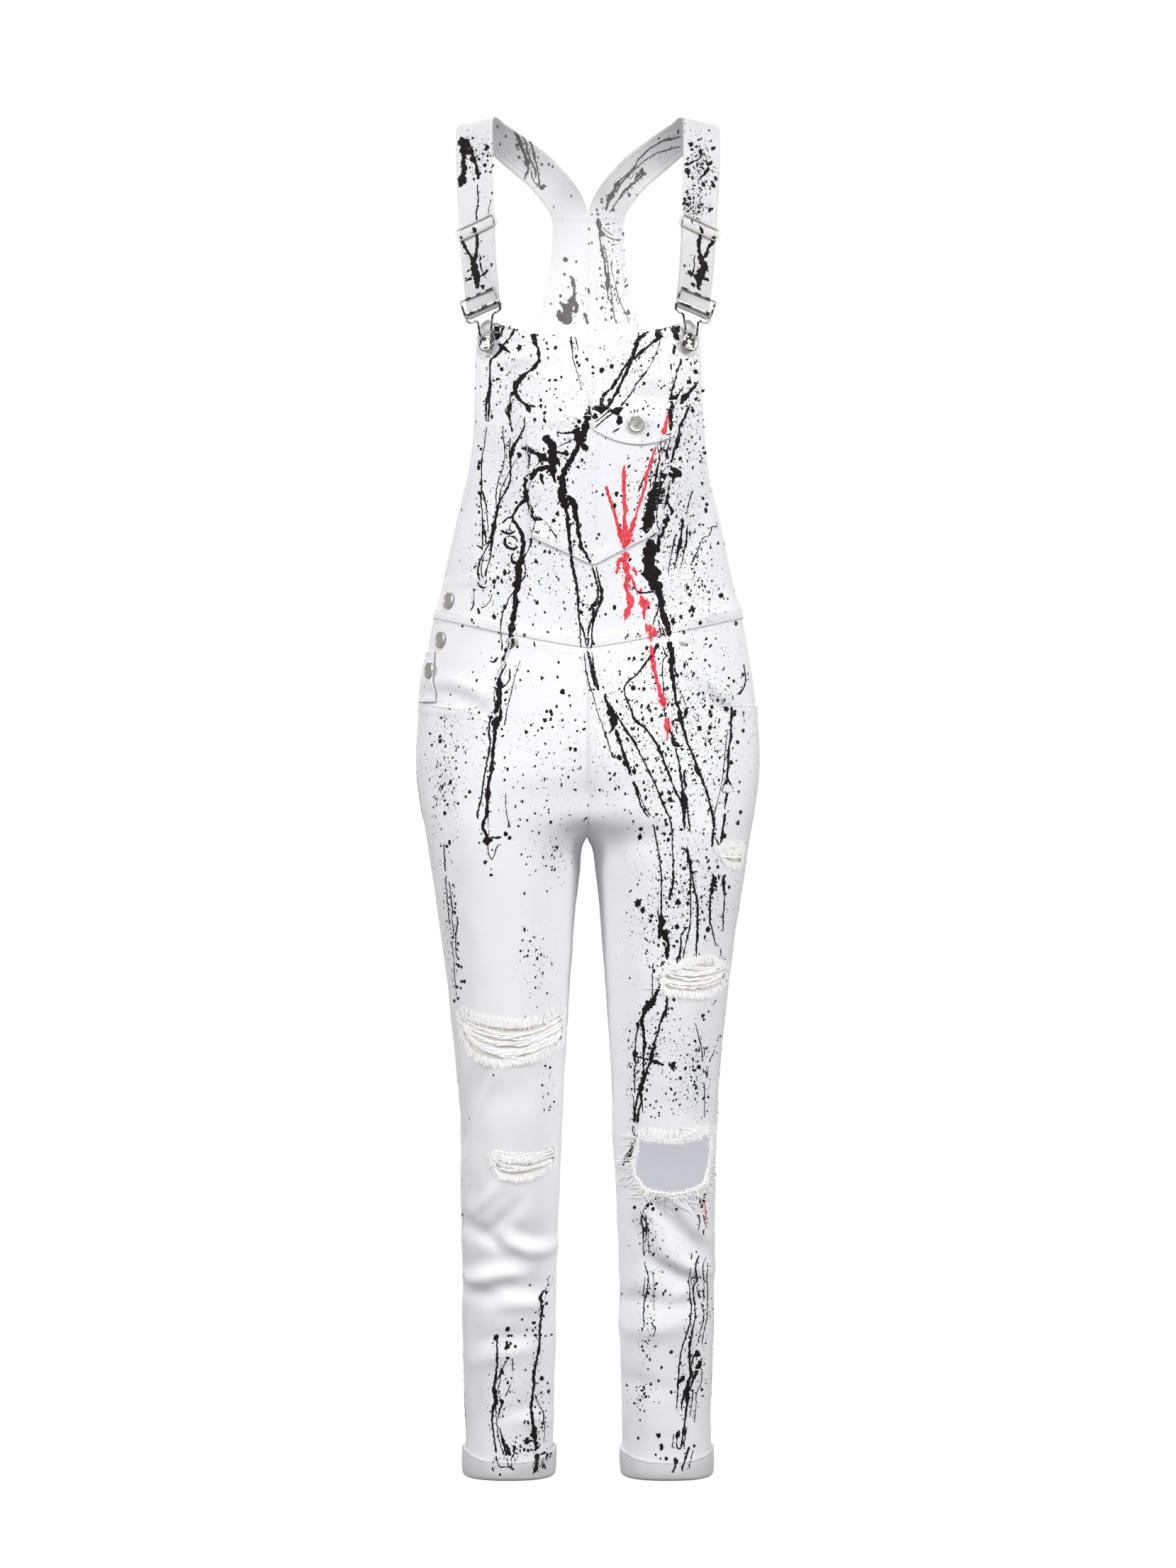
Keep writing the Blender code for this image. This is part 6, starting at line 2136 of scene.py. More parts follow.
    [64, -366, 1, 64, -376, 0.8, 64, -386, 1, 63, -396, 1],
    [57, -384, 1.5, 54, -391, 1.5, 51, -399, 1],
    [57, -434, 2, 52, -437, 2],
    [77, -394, 6, 79, -400, 6, 79, -408, 3, 77, -416, 2],
    [82, -422, 5, 79, -429, 4.5, 77, -436, 4, 74, -441, 3.5, 72, -446, 4],
    [72, -403, 1, 71, -413, 1.2, 70, -423, 1, 71, -433, 1.5, 73, -438, 2],
    [80, -405, 2, 83, -413, 2, 86, -417, 3, 84, -422, 3],
    [76, -441, 1.2, 79, -446, 1.2],
    [80, -445, 1, 84, -441, 1],
    [63, -446, 12, 64, -454, 13, 63, -462, 13, 62, -470, 12, 64, -478, 11, 66, -486, 9, 69, -493,
     9, 72, -499, 6, 74, -505, 6, 75, -512, 5, 76, -520, 5, 78, -527, 7, 81, -533, 6, 82, -540, 4,
     83, -546, 4],
    [72, -444, 4, 72, -452, 3, 71, -460, 2.5],
    [70, -500, 1, 64, -500, 2, 57, -501, 1.5, 51, -500, 2, 48, -496, 1.2, 44, -495, 1],
    [72, -512, 1.5, 71, -520, 1.2, 68, -527, 1.5, 66, -534, 1],
    [72, -528, 1, 73, -536, 1.5, 74, -545, 1.5, 70, -547, 1.5],
    [75, -534, 1, 77, -540, 1.5, 79, -546, 1],
    [107, -397, 1.5, 104, -405, 1.4, 102, -413, 1, 101, -421, 0.6],
    [98, -426, 1.2, 96, -434, 1.6, 95, -443, 1.4, 94, -450, 3, 92, -458, 2, 90, -468, 0.9, 88,
     -477, 0.7],
    [101, -446, 1, 99, -455, 1.2, 97, -464, 1, 95, -475, 0.7],
    [89, -443, 0.7, 87, -453, 2, 85, -462, 1, 83, -472, 0.8, 82, -482, 0.6],
    [102, -430, 0.8, 101, -441, 1.6, 101, -452, 1],
    [133, -426, 0.8, 132, -431, 1.2, 128, -431, 1, 126, -437, 1.5, 124, -441, 1, 119, -443, 1, 116,
     -447, 1, 114, -453, 1, 111, -460, 1.8, 108, -466, 1.6, 107, -470, 0.6],
]
BIB_BLOTS = [
    -35, -239, 1.8, -33, -253, 1.8, -41, -254, 1.2, -42, -248, 1.2, -12, -262, 1.6, -11, -268, 1.3,
    -9, -271, 1.5, -1, -265, 1.6, -39, -286, 1.4, -33, -286, 1.6, -27, -283, 1.3, -33, -295, 1,
    -42, -297, 1, -70, -252, 2.6, -66, -241, 1.2, -91, -269, 1.4, -88, -273, 1.9, -92, -283, 1.7,
    -82, -246, 1.2, -98, -321, 1.5, -44, -319, 1.6, -48, -306, 1.5, -48, -312, 1.8, -28, -316, 1.5,
    -54, -326, 1.6, -44, -327, 1.8, -12, -333, 1.5, -9, -328, 2, -6, -367, 1.6, -22, -360, 2.2,
    -30, -369, 2, -10, -374, 1.6, -30, -385, 2, -70, -361, 2.5, -112, -350, 1, -111, -367, 1.5,
    -112, -372, 1.8, -110, -388, 1.8, -111, -398, 1.8, 24, -272, 2.2, 14, -276, 2.5, 5, -273, 1.5,
    5, -279, 1.5, 57, -289, 1.5, 54, -271, 1.2, 51, -237, 1.2, 56, -315, 1.3, 61, -341, 1.5, 32,
    -327, 3.5, 40, -311, 1.6, 110, -275, 2.3, 103, -286, 2.2, 112, -296, 1.2, 110, -303, 1.5, 107,
    -315, 1.8, 94, -364, 1.8, 118, -352, 1.2, 119, -357, 1.5, 115, -360, 1, 115, -366, 1.2, 117,
    -388, 1.5, 106, -342, 1.2, -85, -480, 2.2, -80, -479, 1, -79, -487, 1.2, -96, -489, 2, -92,
    -485, 1.5, -88, -489, 1.5, -97, -463, 1.2, -96, -495, 1.2, -92, -501, 1.3, -85, -515, 1.9,
    -112, -519, 2, -119, -528, 1.3, -117, -531, 1, -96, -525, 2.1, -129, -534, 1.2, -52, -511, 1.8,
    -53, -469, 2, -44, -459, 1.5, -39, -460, 1.5, -39, -496, 1, -50, -489, 1, -44, -521, 1.2, -31,
    -421, 2, -35, -428, 2, -51, -440, 1.4, -65, -544, 1.6, -41, -541, 1.2, -14, -449, 1.4, -72,
    -556, 1.2, -32, -485, 1, -7, -521, 2, 102, -495, 1.9, 104, -502, 1.6, 107, -517, 2.8, 104,
    -519, 1.5, 122, -409, 1.8, 121, -415, 2, 118, -403, 1.6, 108, -421, 1, 118, -430, 1.2, 134,
    -448, 1.4, 126, -453, 1.2, 119, -470, 1.2, 124, -499, 1.3, 137, -502, 2.3, 144, -505, 1, 153,
    -530, 2, 95, -525, 1.8, 87, -530, 2.6, 98, -541, 1.6, 115, -531, 1.8, 114, -494, 1.2, 117,
    -488, 1, 60, -557, 1.8, 56, -563, 1.2, 55, -569, 1.3, 47, -568, 1.6, 42, -568, 1.5, 120, -569,
    1.3, 105, -568, 1.3, 145, -587, 1.3, 27, -516, 2, 62, -516, 1.3, 34, -403, 1.3, 29, -401, 2,
    15, -402, 1.3, 27, -413, 2, 11, -442, 1.3, 9, -446, 1.2, 4, -493, 1.3, 2, -518, 1.6, 6, -553,
    1.2, 43, -467, 1.4, 96, -427, 1.8, 90, -442, 1.2, 66, -587, 1.3, 18, -523, 1.2, 51, -543, 1.1,
]
HIP_RUNS = [
    # below the waist on the wearer's right
    [-98, -626, 3, -100, -631, 1.6, -101, -638, 1.3, -101, -645, 1.8, -100, -653, 1, -101, -662,
     1.2, -104, -678, 1.3, -107, -695, 1.3, -109, -711, 1.2, -111, -718, 1.2, -113, -727, 1.2,
     -112, -732, 0.8],
    [-90, -616, 1.5, -89, -622, 2, -90, -628, 4, -93, -631, 6, -95, -638, 4.5, -95, -646, 3, -96,
     -654, 3, -97, -662, 3.2, -98, -678, 3, -99, -685, 2.8, -101, -693, 1.6, -102, -700, 3, -102,
     -707, 3.6, -103, -714, 3, -103, -721, 2.8, -104, -728, 3, -107, -736, 2.6, -107, -742, 2.6,
     -104, -747, 3.4, -103, -752, 3],
    [-102, -700, 0.8, -102, -728, 0.8, -102, -738, 0.8, -101, -748, 1],
    [-108, -755, 3, -104, -754, 6, -97, -753, 5],
    [-100, -750, 2, -94, -751, 2, -88, -750, 1.5],
    [-102, -758, 1, -102, -765, 1, -100, -771, 1.2, -98, -773, 1.2, -96, -769, 1, -94, -763, 1.2,
     -91, -757, 1],
    [-94, -597, 1, -96, -604, 0.8, -95, -611, 1, -94, -615, 1],
    [-80, -578, 1, -80, -587, 0.8, -82, -593, 1, -86, -596, 1.5, -88, -598, 3],
    [-69, -570, 0.6, -72, -578, 0.6, -75, -588, 0.6, -77, -597, 0.8, -79, -605, 0.8, -81, -613, 1,
     -83, -621, 1, -84, -630, 1, -86, -637, 1],
    [-84, -705, 0.8, -84, -716, 0.9, -83, -727, 1, -81, -735, 1.3, -80, -741, 1.2],
    # below the waist, middle and the wearer's left
    [0, -561, 1.5, 2, -570, 2.4, 4, -579, 2.6, 7, -590, 4, 9, -596, 3.5, 11, -601, 2],
    [4, -561, 1, 5, -570, 1.4, 6, -580, 2],
    [-4, -562, 1, -2, -580, 1, 0, -589, 1, 2, -597, 2.2, 5, -605, 0.8, 7, -613, 0.8, 9, -620, 0.9,
     11, -627, 0.9, 14, -634, 1, 16, -641, 1, 18, -647, 1.5, 20, -652, 1, 24, -666, 1, 27, -669, 1,
     32, -668, 1.5],
    [19, -604, 1.5, 17, -607, 1.5, 19, -612, 2.5, 22, -618, 4, 24, -624, 6, 26, -630, 7, 26, -636,
     5, 25, -640, 3, 22, -643, 1],
    [28, -640, 3, 30, -646, 3, 32, -652, 3, 34, -658, 1.8, 36, -664, 1.6, 38, -670, 2, 40, -676,
     2.5, 42, -682, 2.5, 43, -687, 2],
    [46, -693, 3, 48, -698, 2.5, 50, -704, 2, 52, -711, 1.5, 54, -718, 1.2, 58, -725, 1.2, 62,
     -730, 0.8],
    [50, -699, 1, 53, -707, 1, 56, -716, 1, 60, -723, 1.3, 64, -729, 1],
    [29, -626, 1.5, 33, -632, 1.5, 36, -637, 1.6, 39, -642, 2.5, 43, -647, 1.5, 47, -653, 2.8, 50,
     -659, 1.3, 57, -673, 1, 65, -689, 1, 73, -707, 1, 76, -715, 2, 79, -722, 1.2, 83, -730, 1, 85,
     -738, 1.4, 86, -748, 0.8, 86, -760, 0.8, 87, -772, 1, 87, -785, 1, 87, -795, 1.8, 86, -802,
     1.6, 84, -808, 2, 83, -814, 1.3],
    [83, -550, 4, 84, -558, 4, 86, -566, 5, 85, -577, 4, 87, -591, 4, 88, -598, 3, 89, -605, 2.4,
     90, -612, 1.8, 93, -619, 2.5, 94, -626, 3.6, 95, -632, 4, 97, -638, 2.6, 99, -645, 2.5, 101,
     -652, 2, 104, -660, 1.6, 108, -668, 1.4, 110, -675, 2.2, 112, -682, 3.2, 116, -690, 2.2, 119,
     -698, 2, 122, -706, 2, 124, -714, 1.8, 126, -722, 1.8, 128, -730, 2.8, 129, -737, 1.5, 128,
     -748, 2, 127, -757, 2, 127, -761, 1],
    [72, -552, 4, 69, -558, 2.5, 66, -564, 2.2, 60, -571, 1.3, 54, -579, 1.1, 48, -586, 1.3, 42,
     -590, 1.6, 39, -594, 1.6, 37, -599, 1, 38, -606, 1, 41, -613, 1.2, 44, -620, 1.5, 46, -627, 2,
     50, -633, 3, 55, -636, 2, 60, -641, 1.6, 65, -648, 1.6, 70, -655, 1.6, 73, -662, 2.8, 76,
     -668, 1.3, 78, -675, 1.8, 81, -682, 1.2, 84, -690, 1.5, 87, -698, 1.2, 90, -705, 2, 93, -710,
     1.5, 97, -714, 3],
    [76, -555, 0.8, 79, -563, 1.2, 82, -566, 2],
    [81, -565, 1, 77, -569, 1, 76, -577, 1.4, 76, -586, 1, 77, -595, 1, 77, -604, 1, 78, -612, 1,
     78, -620, 1.2, 79, -628, 2.4],
    [88, -577, 1, 90, -583, 1.5, 92, -586, 3],
    [83, -640, 1.2, 86, -647, 1.5, 88, -654, 4, 94, -658, 4],
    [89, -660, 1, 91, -667, 1.5, 93, -675, 1, 94, -683, 2.4, 95, -690, 2, 96, -698, 1.5, 97, -706,
     2.5, 98, -713, 4, 98, -720, 4, 98, -728, 2.8, 98, -735, 2.2, 99, -742, 1],
    [101, -617, 1, 100, -623, 2, 98, -628, 2.5, 95, -630, 4],
    [88, -630, 1.5, 93, -632, 2],
    [91, -634, 1.5, 90, -640, 1, 91, -645, 0.8],
    [94, -602, 1, 97, -608, 1, 100, -616, 0.7],
    [99, -681, 1, 98, -690, 1.5, 99, -694, 2.5, 100, -700, 2],
    [101, -710, 1, 101, -718, 1, 102, -726, 1.5, 103, -734, 1.5, 104, -742, 1, 104, -745, 2],
    [148, -618, 1, 148, -624, 3, 147, -632, 1.5, 147, -640, 1.5, 147, -648, 2.5, 145, -657, 1.5,
     144, -666, 2, 144, -675, 2, 143, -684, 1.8, 143, -692, 2.2, 143, -699, 6, 143, -703, 7, 142,
     -708, 2, 141, -716, 1.3, 140, -722, 0.8],
    [140, -726, 2, 140, -733, 2, 138, -741, 1.5, 138, -748, 3, 135, -758, 1],
    [144, -640, 0.6, 142, -650, 1, 141, -660, 0.8, 139, -680, 1, 138, -690, 0.7, 136, -700, 0.6,
     133, -712, 0.6, 129, -728, 1],
    [161, -572, 0.8, 163, -588, 1, 161, -596, 1.2, 157, -602, 2, 154, -603, 3],
]
HIP_BLOTS = [
    -83, -602, 1.3, -88, -640, 1.2, -87, -647, 1.3, -85, -669, 1.2, -82, -681, 1.5, -85, -692, 1.2,
    -106, -669, 1.3, -106, -645, 1.2, -114, -590, 1.3, -118, -629, 1, -114, -648, 1, -125, -674, 1,
    -135, -680, 1.2, -121, -704, 1.8, -125, -709, 1.3, -133, -716, 1.3, -141, -694, 1.8, -144,
    -717, 1.3, -147, -713, 1.3, -147, -726, 1.8, -152, -647, 1.5, -152, -652, 1.9, -151, -628, 1.3,
    -142, -619, 1, -163, -644, 1.2, -161, -656, 1.2, -142, -756, 1.8, -145, -760, 1.6, -47, -588,
    1.6, -31, -587, 1.3, -30, -572, 1.2, -69, -590, 1.2, -61, -581, 1.2, -26, -602, 2.5, -19, -606,
    1.2, -18, -616, 1.2, -42, -622, 1.5, -38, -622, 1.8, -32, -617, 1.3, -37, -625, 1.5, -44, -631,
    2, -38, -630, 1.5, -26, -631, 1.2, -13, -631, 1.1, -58, -636, 1.2, -63, -643, 1.8, -47, -639,
    1.5, -36, -638, 1.2, -11, -642, 1.1, -4, -640, 1.6, -18, -660, 1.6, -13, -661, 1.8, -54, -678,
    1.1, -20, -689, 1.2, -27, -697, 1.2, -66, -700, 1.1, -13, -702, 1.2, -42, -713, 1.1, -74, -719,
    1.1, -54, -726, 1.1, -38, -735, 1.5, -62, -733, 1.2, -71, -739, 1.2, -50, -746, 1.2, -32, -761,
    1.5, -84, -747, 2.2, -80, -751, 2, -105, -776, 1.8, -99, -789, 1.4, -99, -783, 0.8, -111, -756,
    1, 32, -669, 2.4, 37, -675, 2, 91, -585, 2, 95, -583, 1.2, 32, -581, 1, 32, -599, 1.2, 46,
    -598, 2.4, 52, -599, 1.2, 57, -599, 1.8, 81, -598, 1.5, 50, -612, 1, 61, -618, 1.6, 63, -621,
    1.4, 69, -619, 1.4, 75, -626, 1.8, 86, -615, 1.6, 56, -630, 1.5, 65, -629, 1.3, 33, -625, 1.5,
    58, -671, 1.4, 47, -683, 2.3, 22, -685, 1.2, 28, -701, 1.3, 38, -706, 1.2, 12, -702, 1.2, 78,
    -692, 1.5, 75, -684, 1.2, 85, -681, 1.4, 69, -670, 1.2, 58, -702, 1.4, 59, -710, 1.8, 75, -706,
    2, 83, -705, 2, 84, -712, 2.3, 58, -722, 1.5, 70, -727, 1.4, 79, -733, 1.5, 80, -737, 1.6, 54,
    -742, 2, 53, -750, 2, 82, -753, 1.8, 84, -747, 1.4, 78, -747, 1.5, 127, -617, 1.8, 126, -626,
    1.8, 114, -639, 2.4, 125, -638, 2.2, 124, -644, 1.4, 120, -655, 1.3, 119, -673, 1.2, 135, -669,
    1.3, 134, -692, 1.3, 154, -653, 1.8, 147, -674, 2, 156, -694, 1.2, 155, -704, 1.2, 157, -725,
    1.8, 154, -736, 2, 160, -641, 1.6, 142, -619, 2.4, 133, -610, 1.6, 151, -623, 2.2, 150, -590,
    1.5, 160, -583, 1.6, 144, -595, 1.2,
]
THIGH_RUNS = [
    # thigh on the wearer's left
    [66, -737, 1, 68, -743, 1.3, 70, -755, 0.8, 72, -765, 1, 73, -773, 0.9, 75, -790, 1.1, 75,
     -800, 1, 75, -823, 1, 75, -829, 2, 75, -832, 6, 75, -838, 6, 75, -843, 5, 76, -848, 7, 79,
     -852, 6, 82, -858, 2.5, 81, -865, 3, 81, -872, 4, 81, -876, 2],
    [74, -850, 4, 72, -855, 2],
    [101, -760, 1.2, 102, -768, 2.5, 104, -776, 3.2, 105, -783, 2, 107, -791, 1.2, 108, -799, 1.2,
     110, -808, 1.5, 112, -818, 1.7, 112, -840, 1.8, 112, -852, 1.6, 111, -862, 1.5, 111, -870, 1,
     111, -876, 0.6],
    [104, -784, 1.5, 105, -792, 1.5, 105, -803, 1, 105, -823, 1.5, 105, -833, 1.3, 104, -843, 1.3,
     102, -851, 2.2, 100, -860, 1, 98, -870, 1, 97, -879, 0.7],
    [95, -852, 1.2, 95, -862, 1.1, 94, -870, 1.3, 92, -877, 4, 89, -884, 1.5, 86, -890, 1.2, 84,
     -897, 0.8, 83, -902, 1.5, 81, -912, 1.2, 81, -918, 2, 80, -926, 1.5, 77, -934, 2.8, 74, -941,
     1.5, 72, -950, 1.4, 69, -959, 1.5, 68, -966, 2.4, 66, -972, 3.5, 65, -977, 4.5, 64, -982, 2.5,
     61, -988, 2, 59, -994, 2, 57, -999, 2.6, 56, -1003, 4, 54, -1009, 4.5, 54, -1014, 3, 55,
     -1021, 2, 54, -1026, 1.6, 52, -1033, 1.6, 51, -1039, 2, 51, -1045, 2],
    [81, -925, 1, 80, -935, 1.2],
    [130, -750, 1, 134, -759, 1.5],
    [128, -788, 2, 129, -796, 4, 128, -802, 4, 126, -809, 2, 125, -818, 1.7, 125, -836, 1.7, 127,
     -844, 1, 129, -853, 0.8, 131, -862, 0.9],
    [134, -788, 1.8, 134, -795, 1.5],
    [139, -790, 1.8, 139, -798, 2.5, 140, -808, 1, 140, -820, 1, 139, -832, 1.2, 139, -845, 0.8],
    [137, -865, 1.2, 137, -872, 2, 140, -877, 1, 143, -882, 1.5, 140, -890, 1, 138, -898, 1, 134,
     -904, 1],
    [67, -879, 1, 66, -892, 0.8, 66, -905, 0.8, 66, -912, 1.5, 68, -917, 2],
    [74, -883, 2.5, 78, -879, 3, 79, -882, 1.2, 78, -890, 1.3, 75, -897, 1.5, 73, -904, 2, 70,
     -910, 3, 68, -916, 4, 64, -921, 5, 60, -926, 6, 57, -932, 3, 55, -939, 4, 56, -944, 2.5, 57,
     -952, 2.4, 58, -960, 3, 58, -966, 3, 57, -973, 2, 57, -980, 1.2, 57, -988, 1.2, 57, -997, 1.5],
    [51, -940, 2, 51, -948, 1.5, 49, -957, 0.8, 49, -964, 0.8, 48, -970, 2, 48, -974, 4, 48, -978,
     3, 49, -983, 1, 48, -989, 1, 48, -1000, 0.8, 48, -1014, 0.8],
    [49, -976, 1.5, 53, -977, 1, 58, -978, 1, 62, -979, 1.2, 66, -980, 2, 69, -981, 4.5, 72, -982,
     2, 76, -984, 2, 78, -983, 2.2],
    [52, -1012, 3, 51, -1019, 1.2, 49, -1027, 1.2, 48, -1033, 2, 48, -1040, 2, 48, -1045, 1.5],
    [55, -1021, 1.4, 56, -1027, 0.9, 56, -1034, 0.7],
    [45, -1014, 1, 47, -1021, 0.7, 47, -1030, 1, 48, -1034, 1],
    [132, -918, 1, 129, -924, 1.5],
    [110, -941, 0.8, 112, -949, 0.8, 114, -957, 1.5, 116, -964, 1.5, 117, -970, 1, 118, -981, 0.7],
    [119, -966, 1.3, 120, -972, 1, 119, -977, 0.8],
    [135, -956, 1, 134, -962, 1.3, 132, -968, 1.2, 130, -973, 1.2, 128, -977, 1.8, 126, -980, 2,
     125, -983, 1],
    [119, -989, 1.6, 119, -994, 1.5],
    [123, -990, 1, 123, -996, 1.3, 122, -1000, 0.9],
    [120, -1005, 1.2, 120, -1010, 1.4, 120, -1018, 0.7, 120, -1030, 0.7, 120, -1040, 1],
    [46, -1048, 1.6, 47, -1052, 2.4, 49, -1057, 4, 49, -1062, 3.4, 47, -1065, 1.5],
    [46, -1065, 1.6, 45, -1071, 2.8, 44, -1076, 3, 42, -1081, 1.4, 42, -1087, 1.6],
    [42, -1076, 1.2, 40, -1080, 1.6, 38, -1084, 2.6, 37, -1088, 2.2, 36, -1091, 1.2],
    [45, -1079, 1.2, 42, -1083, 1.8, 40, -1087, 1],
    # thigh on the wearer's right, towards the side seam
    [-148, -757, 1, -148, -765, 1.3, -147, -775, 1.8, -147, -785, 1.6],
    [-146, -790, 1.6, -146, -800, 0.8, -145, -810, 1.2, -145, -818, 1.8, -144, -825, 1.4, -143,
     -835, 1.5, -142, -845, 1.8, -141, -855, 1.8, -140, -863, 1.2, -139, -872, 1.6, -138, -878,
     1.8, -138, -888, 1, -137, -900, 1, -136, -910, 1.8, -136, -915, 1],
    [-143, -796, 2.2, -142, -802, 0.8, -141, -812, 0.6, -140, -820, 2.2, -139, -824, 1.5, -140,
     -832, 0.7, -139, -845, 0.7, -138, -855, 0.8],
    [-134, -833, 1.6, -134, -840, 2, -135, -846, 1.2, -136, -850, 1.5, -136, -860, 1, -136, -868,
     1.2, -134, -876, 1],
]
THIGH_BLOTS = [
    78, -860, 1.8, 72, -861, 1.5, 91, -842, 2.3, 91, -857, 1.5, 88, -862, 1.6, 92, -817, 2.8, 102,
    -818, 1.8, 140, -750, 1.8, 124, -782, 1.5, 133, -781, 1.5, 131, -793, 1.5, 123, -845, 2.4, 117,
    -827, 1.3, 119, -835, 1.2, 145, -802, 1.5, 51, -818, 3.4, 56, -825, 2.5, 65, -831, 1.8, 53,
    -750, 2.2, 86, -926, 1.3, 88, -917, 1.6, 118, -934, 1.8, 119, -938, 1.3, 124, -930, 1, 110,
    -960, 1.5, 87, -985, 3.2, 100, -988, 1.6, 114, -987, 2.2, 95, -998, 1.5, 88, -990, 1, 70, -973,
    1.3, 102, -974, 1.1, 114, -970, 1.2, 108, -990, 1.1, 111, -1008, 1.7, 112, -1014, 1, 106,
    -1001, 0.9, 76, -948, 1, 59, -1020, 1.2, 70, -1022, 1.1, 64, -1026, 1.1, 62, -993, 1, 94,
    -1026, 1, 80, -1014, 1, 75, -1028, 0.9, 86, -1030, 0.8, 68, -1029, 0.9, 73, -1034, 1, 73,
    -1037, 0.9, 69, -1039, 0.8, 65, -1038, 0.9, 64, -1005, 0.8, 60, -1010, 0.9, 113, -981, 1, 106,
    -997, 1, 67, -963, 1.5, 65, -967, 1.3, 44, -987, 1.2, 45, -1010, 1.1, 43, -950, 1, 122, -968,
    1.2, 124, -1019, 1.2, -137, -811, 1, -137, -828, 1.5, -136, -819, 1.2, -133, -883, 1.6, -130,
    -884, 1.2, -130, -899, 1.4, -127, -899, 1.7, -135, -905, 1.4, -131, -906, 1.2, -134, -917, 1.4,
    -138, -920, 1.4, -68, -768, 1, -63, -778, 1, -65, -808, 1.2, -65, -845, 1.5, -67, -856, 1, -59,
    -857, 1, -55, -853, 1, -61, -867, 1, -53, -866, 1, -69, -867, 1.2, -48, -871, 1.2, -62, -872,
    1.2, -65, -873, 1, -52, -875, 1.4, -54, -894, 1, -54, -905, 1, -42, -911, 1, -46, -771, 1, -43,
    -780, 1, -37, -781, 1, -37, -784, 1, -37, -769, 1, -34, -764, 1, -42, -806, 0.9, -44, -986,
    1.2, -39, -988, 1.2, -97, -995, 1, -47, -1006, 1.2, -35, -1024, 1, -39, -1029, 0.9, -40, -1032,
    0.9,
]
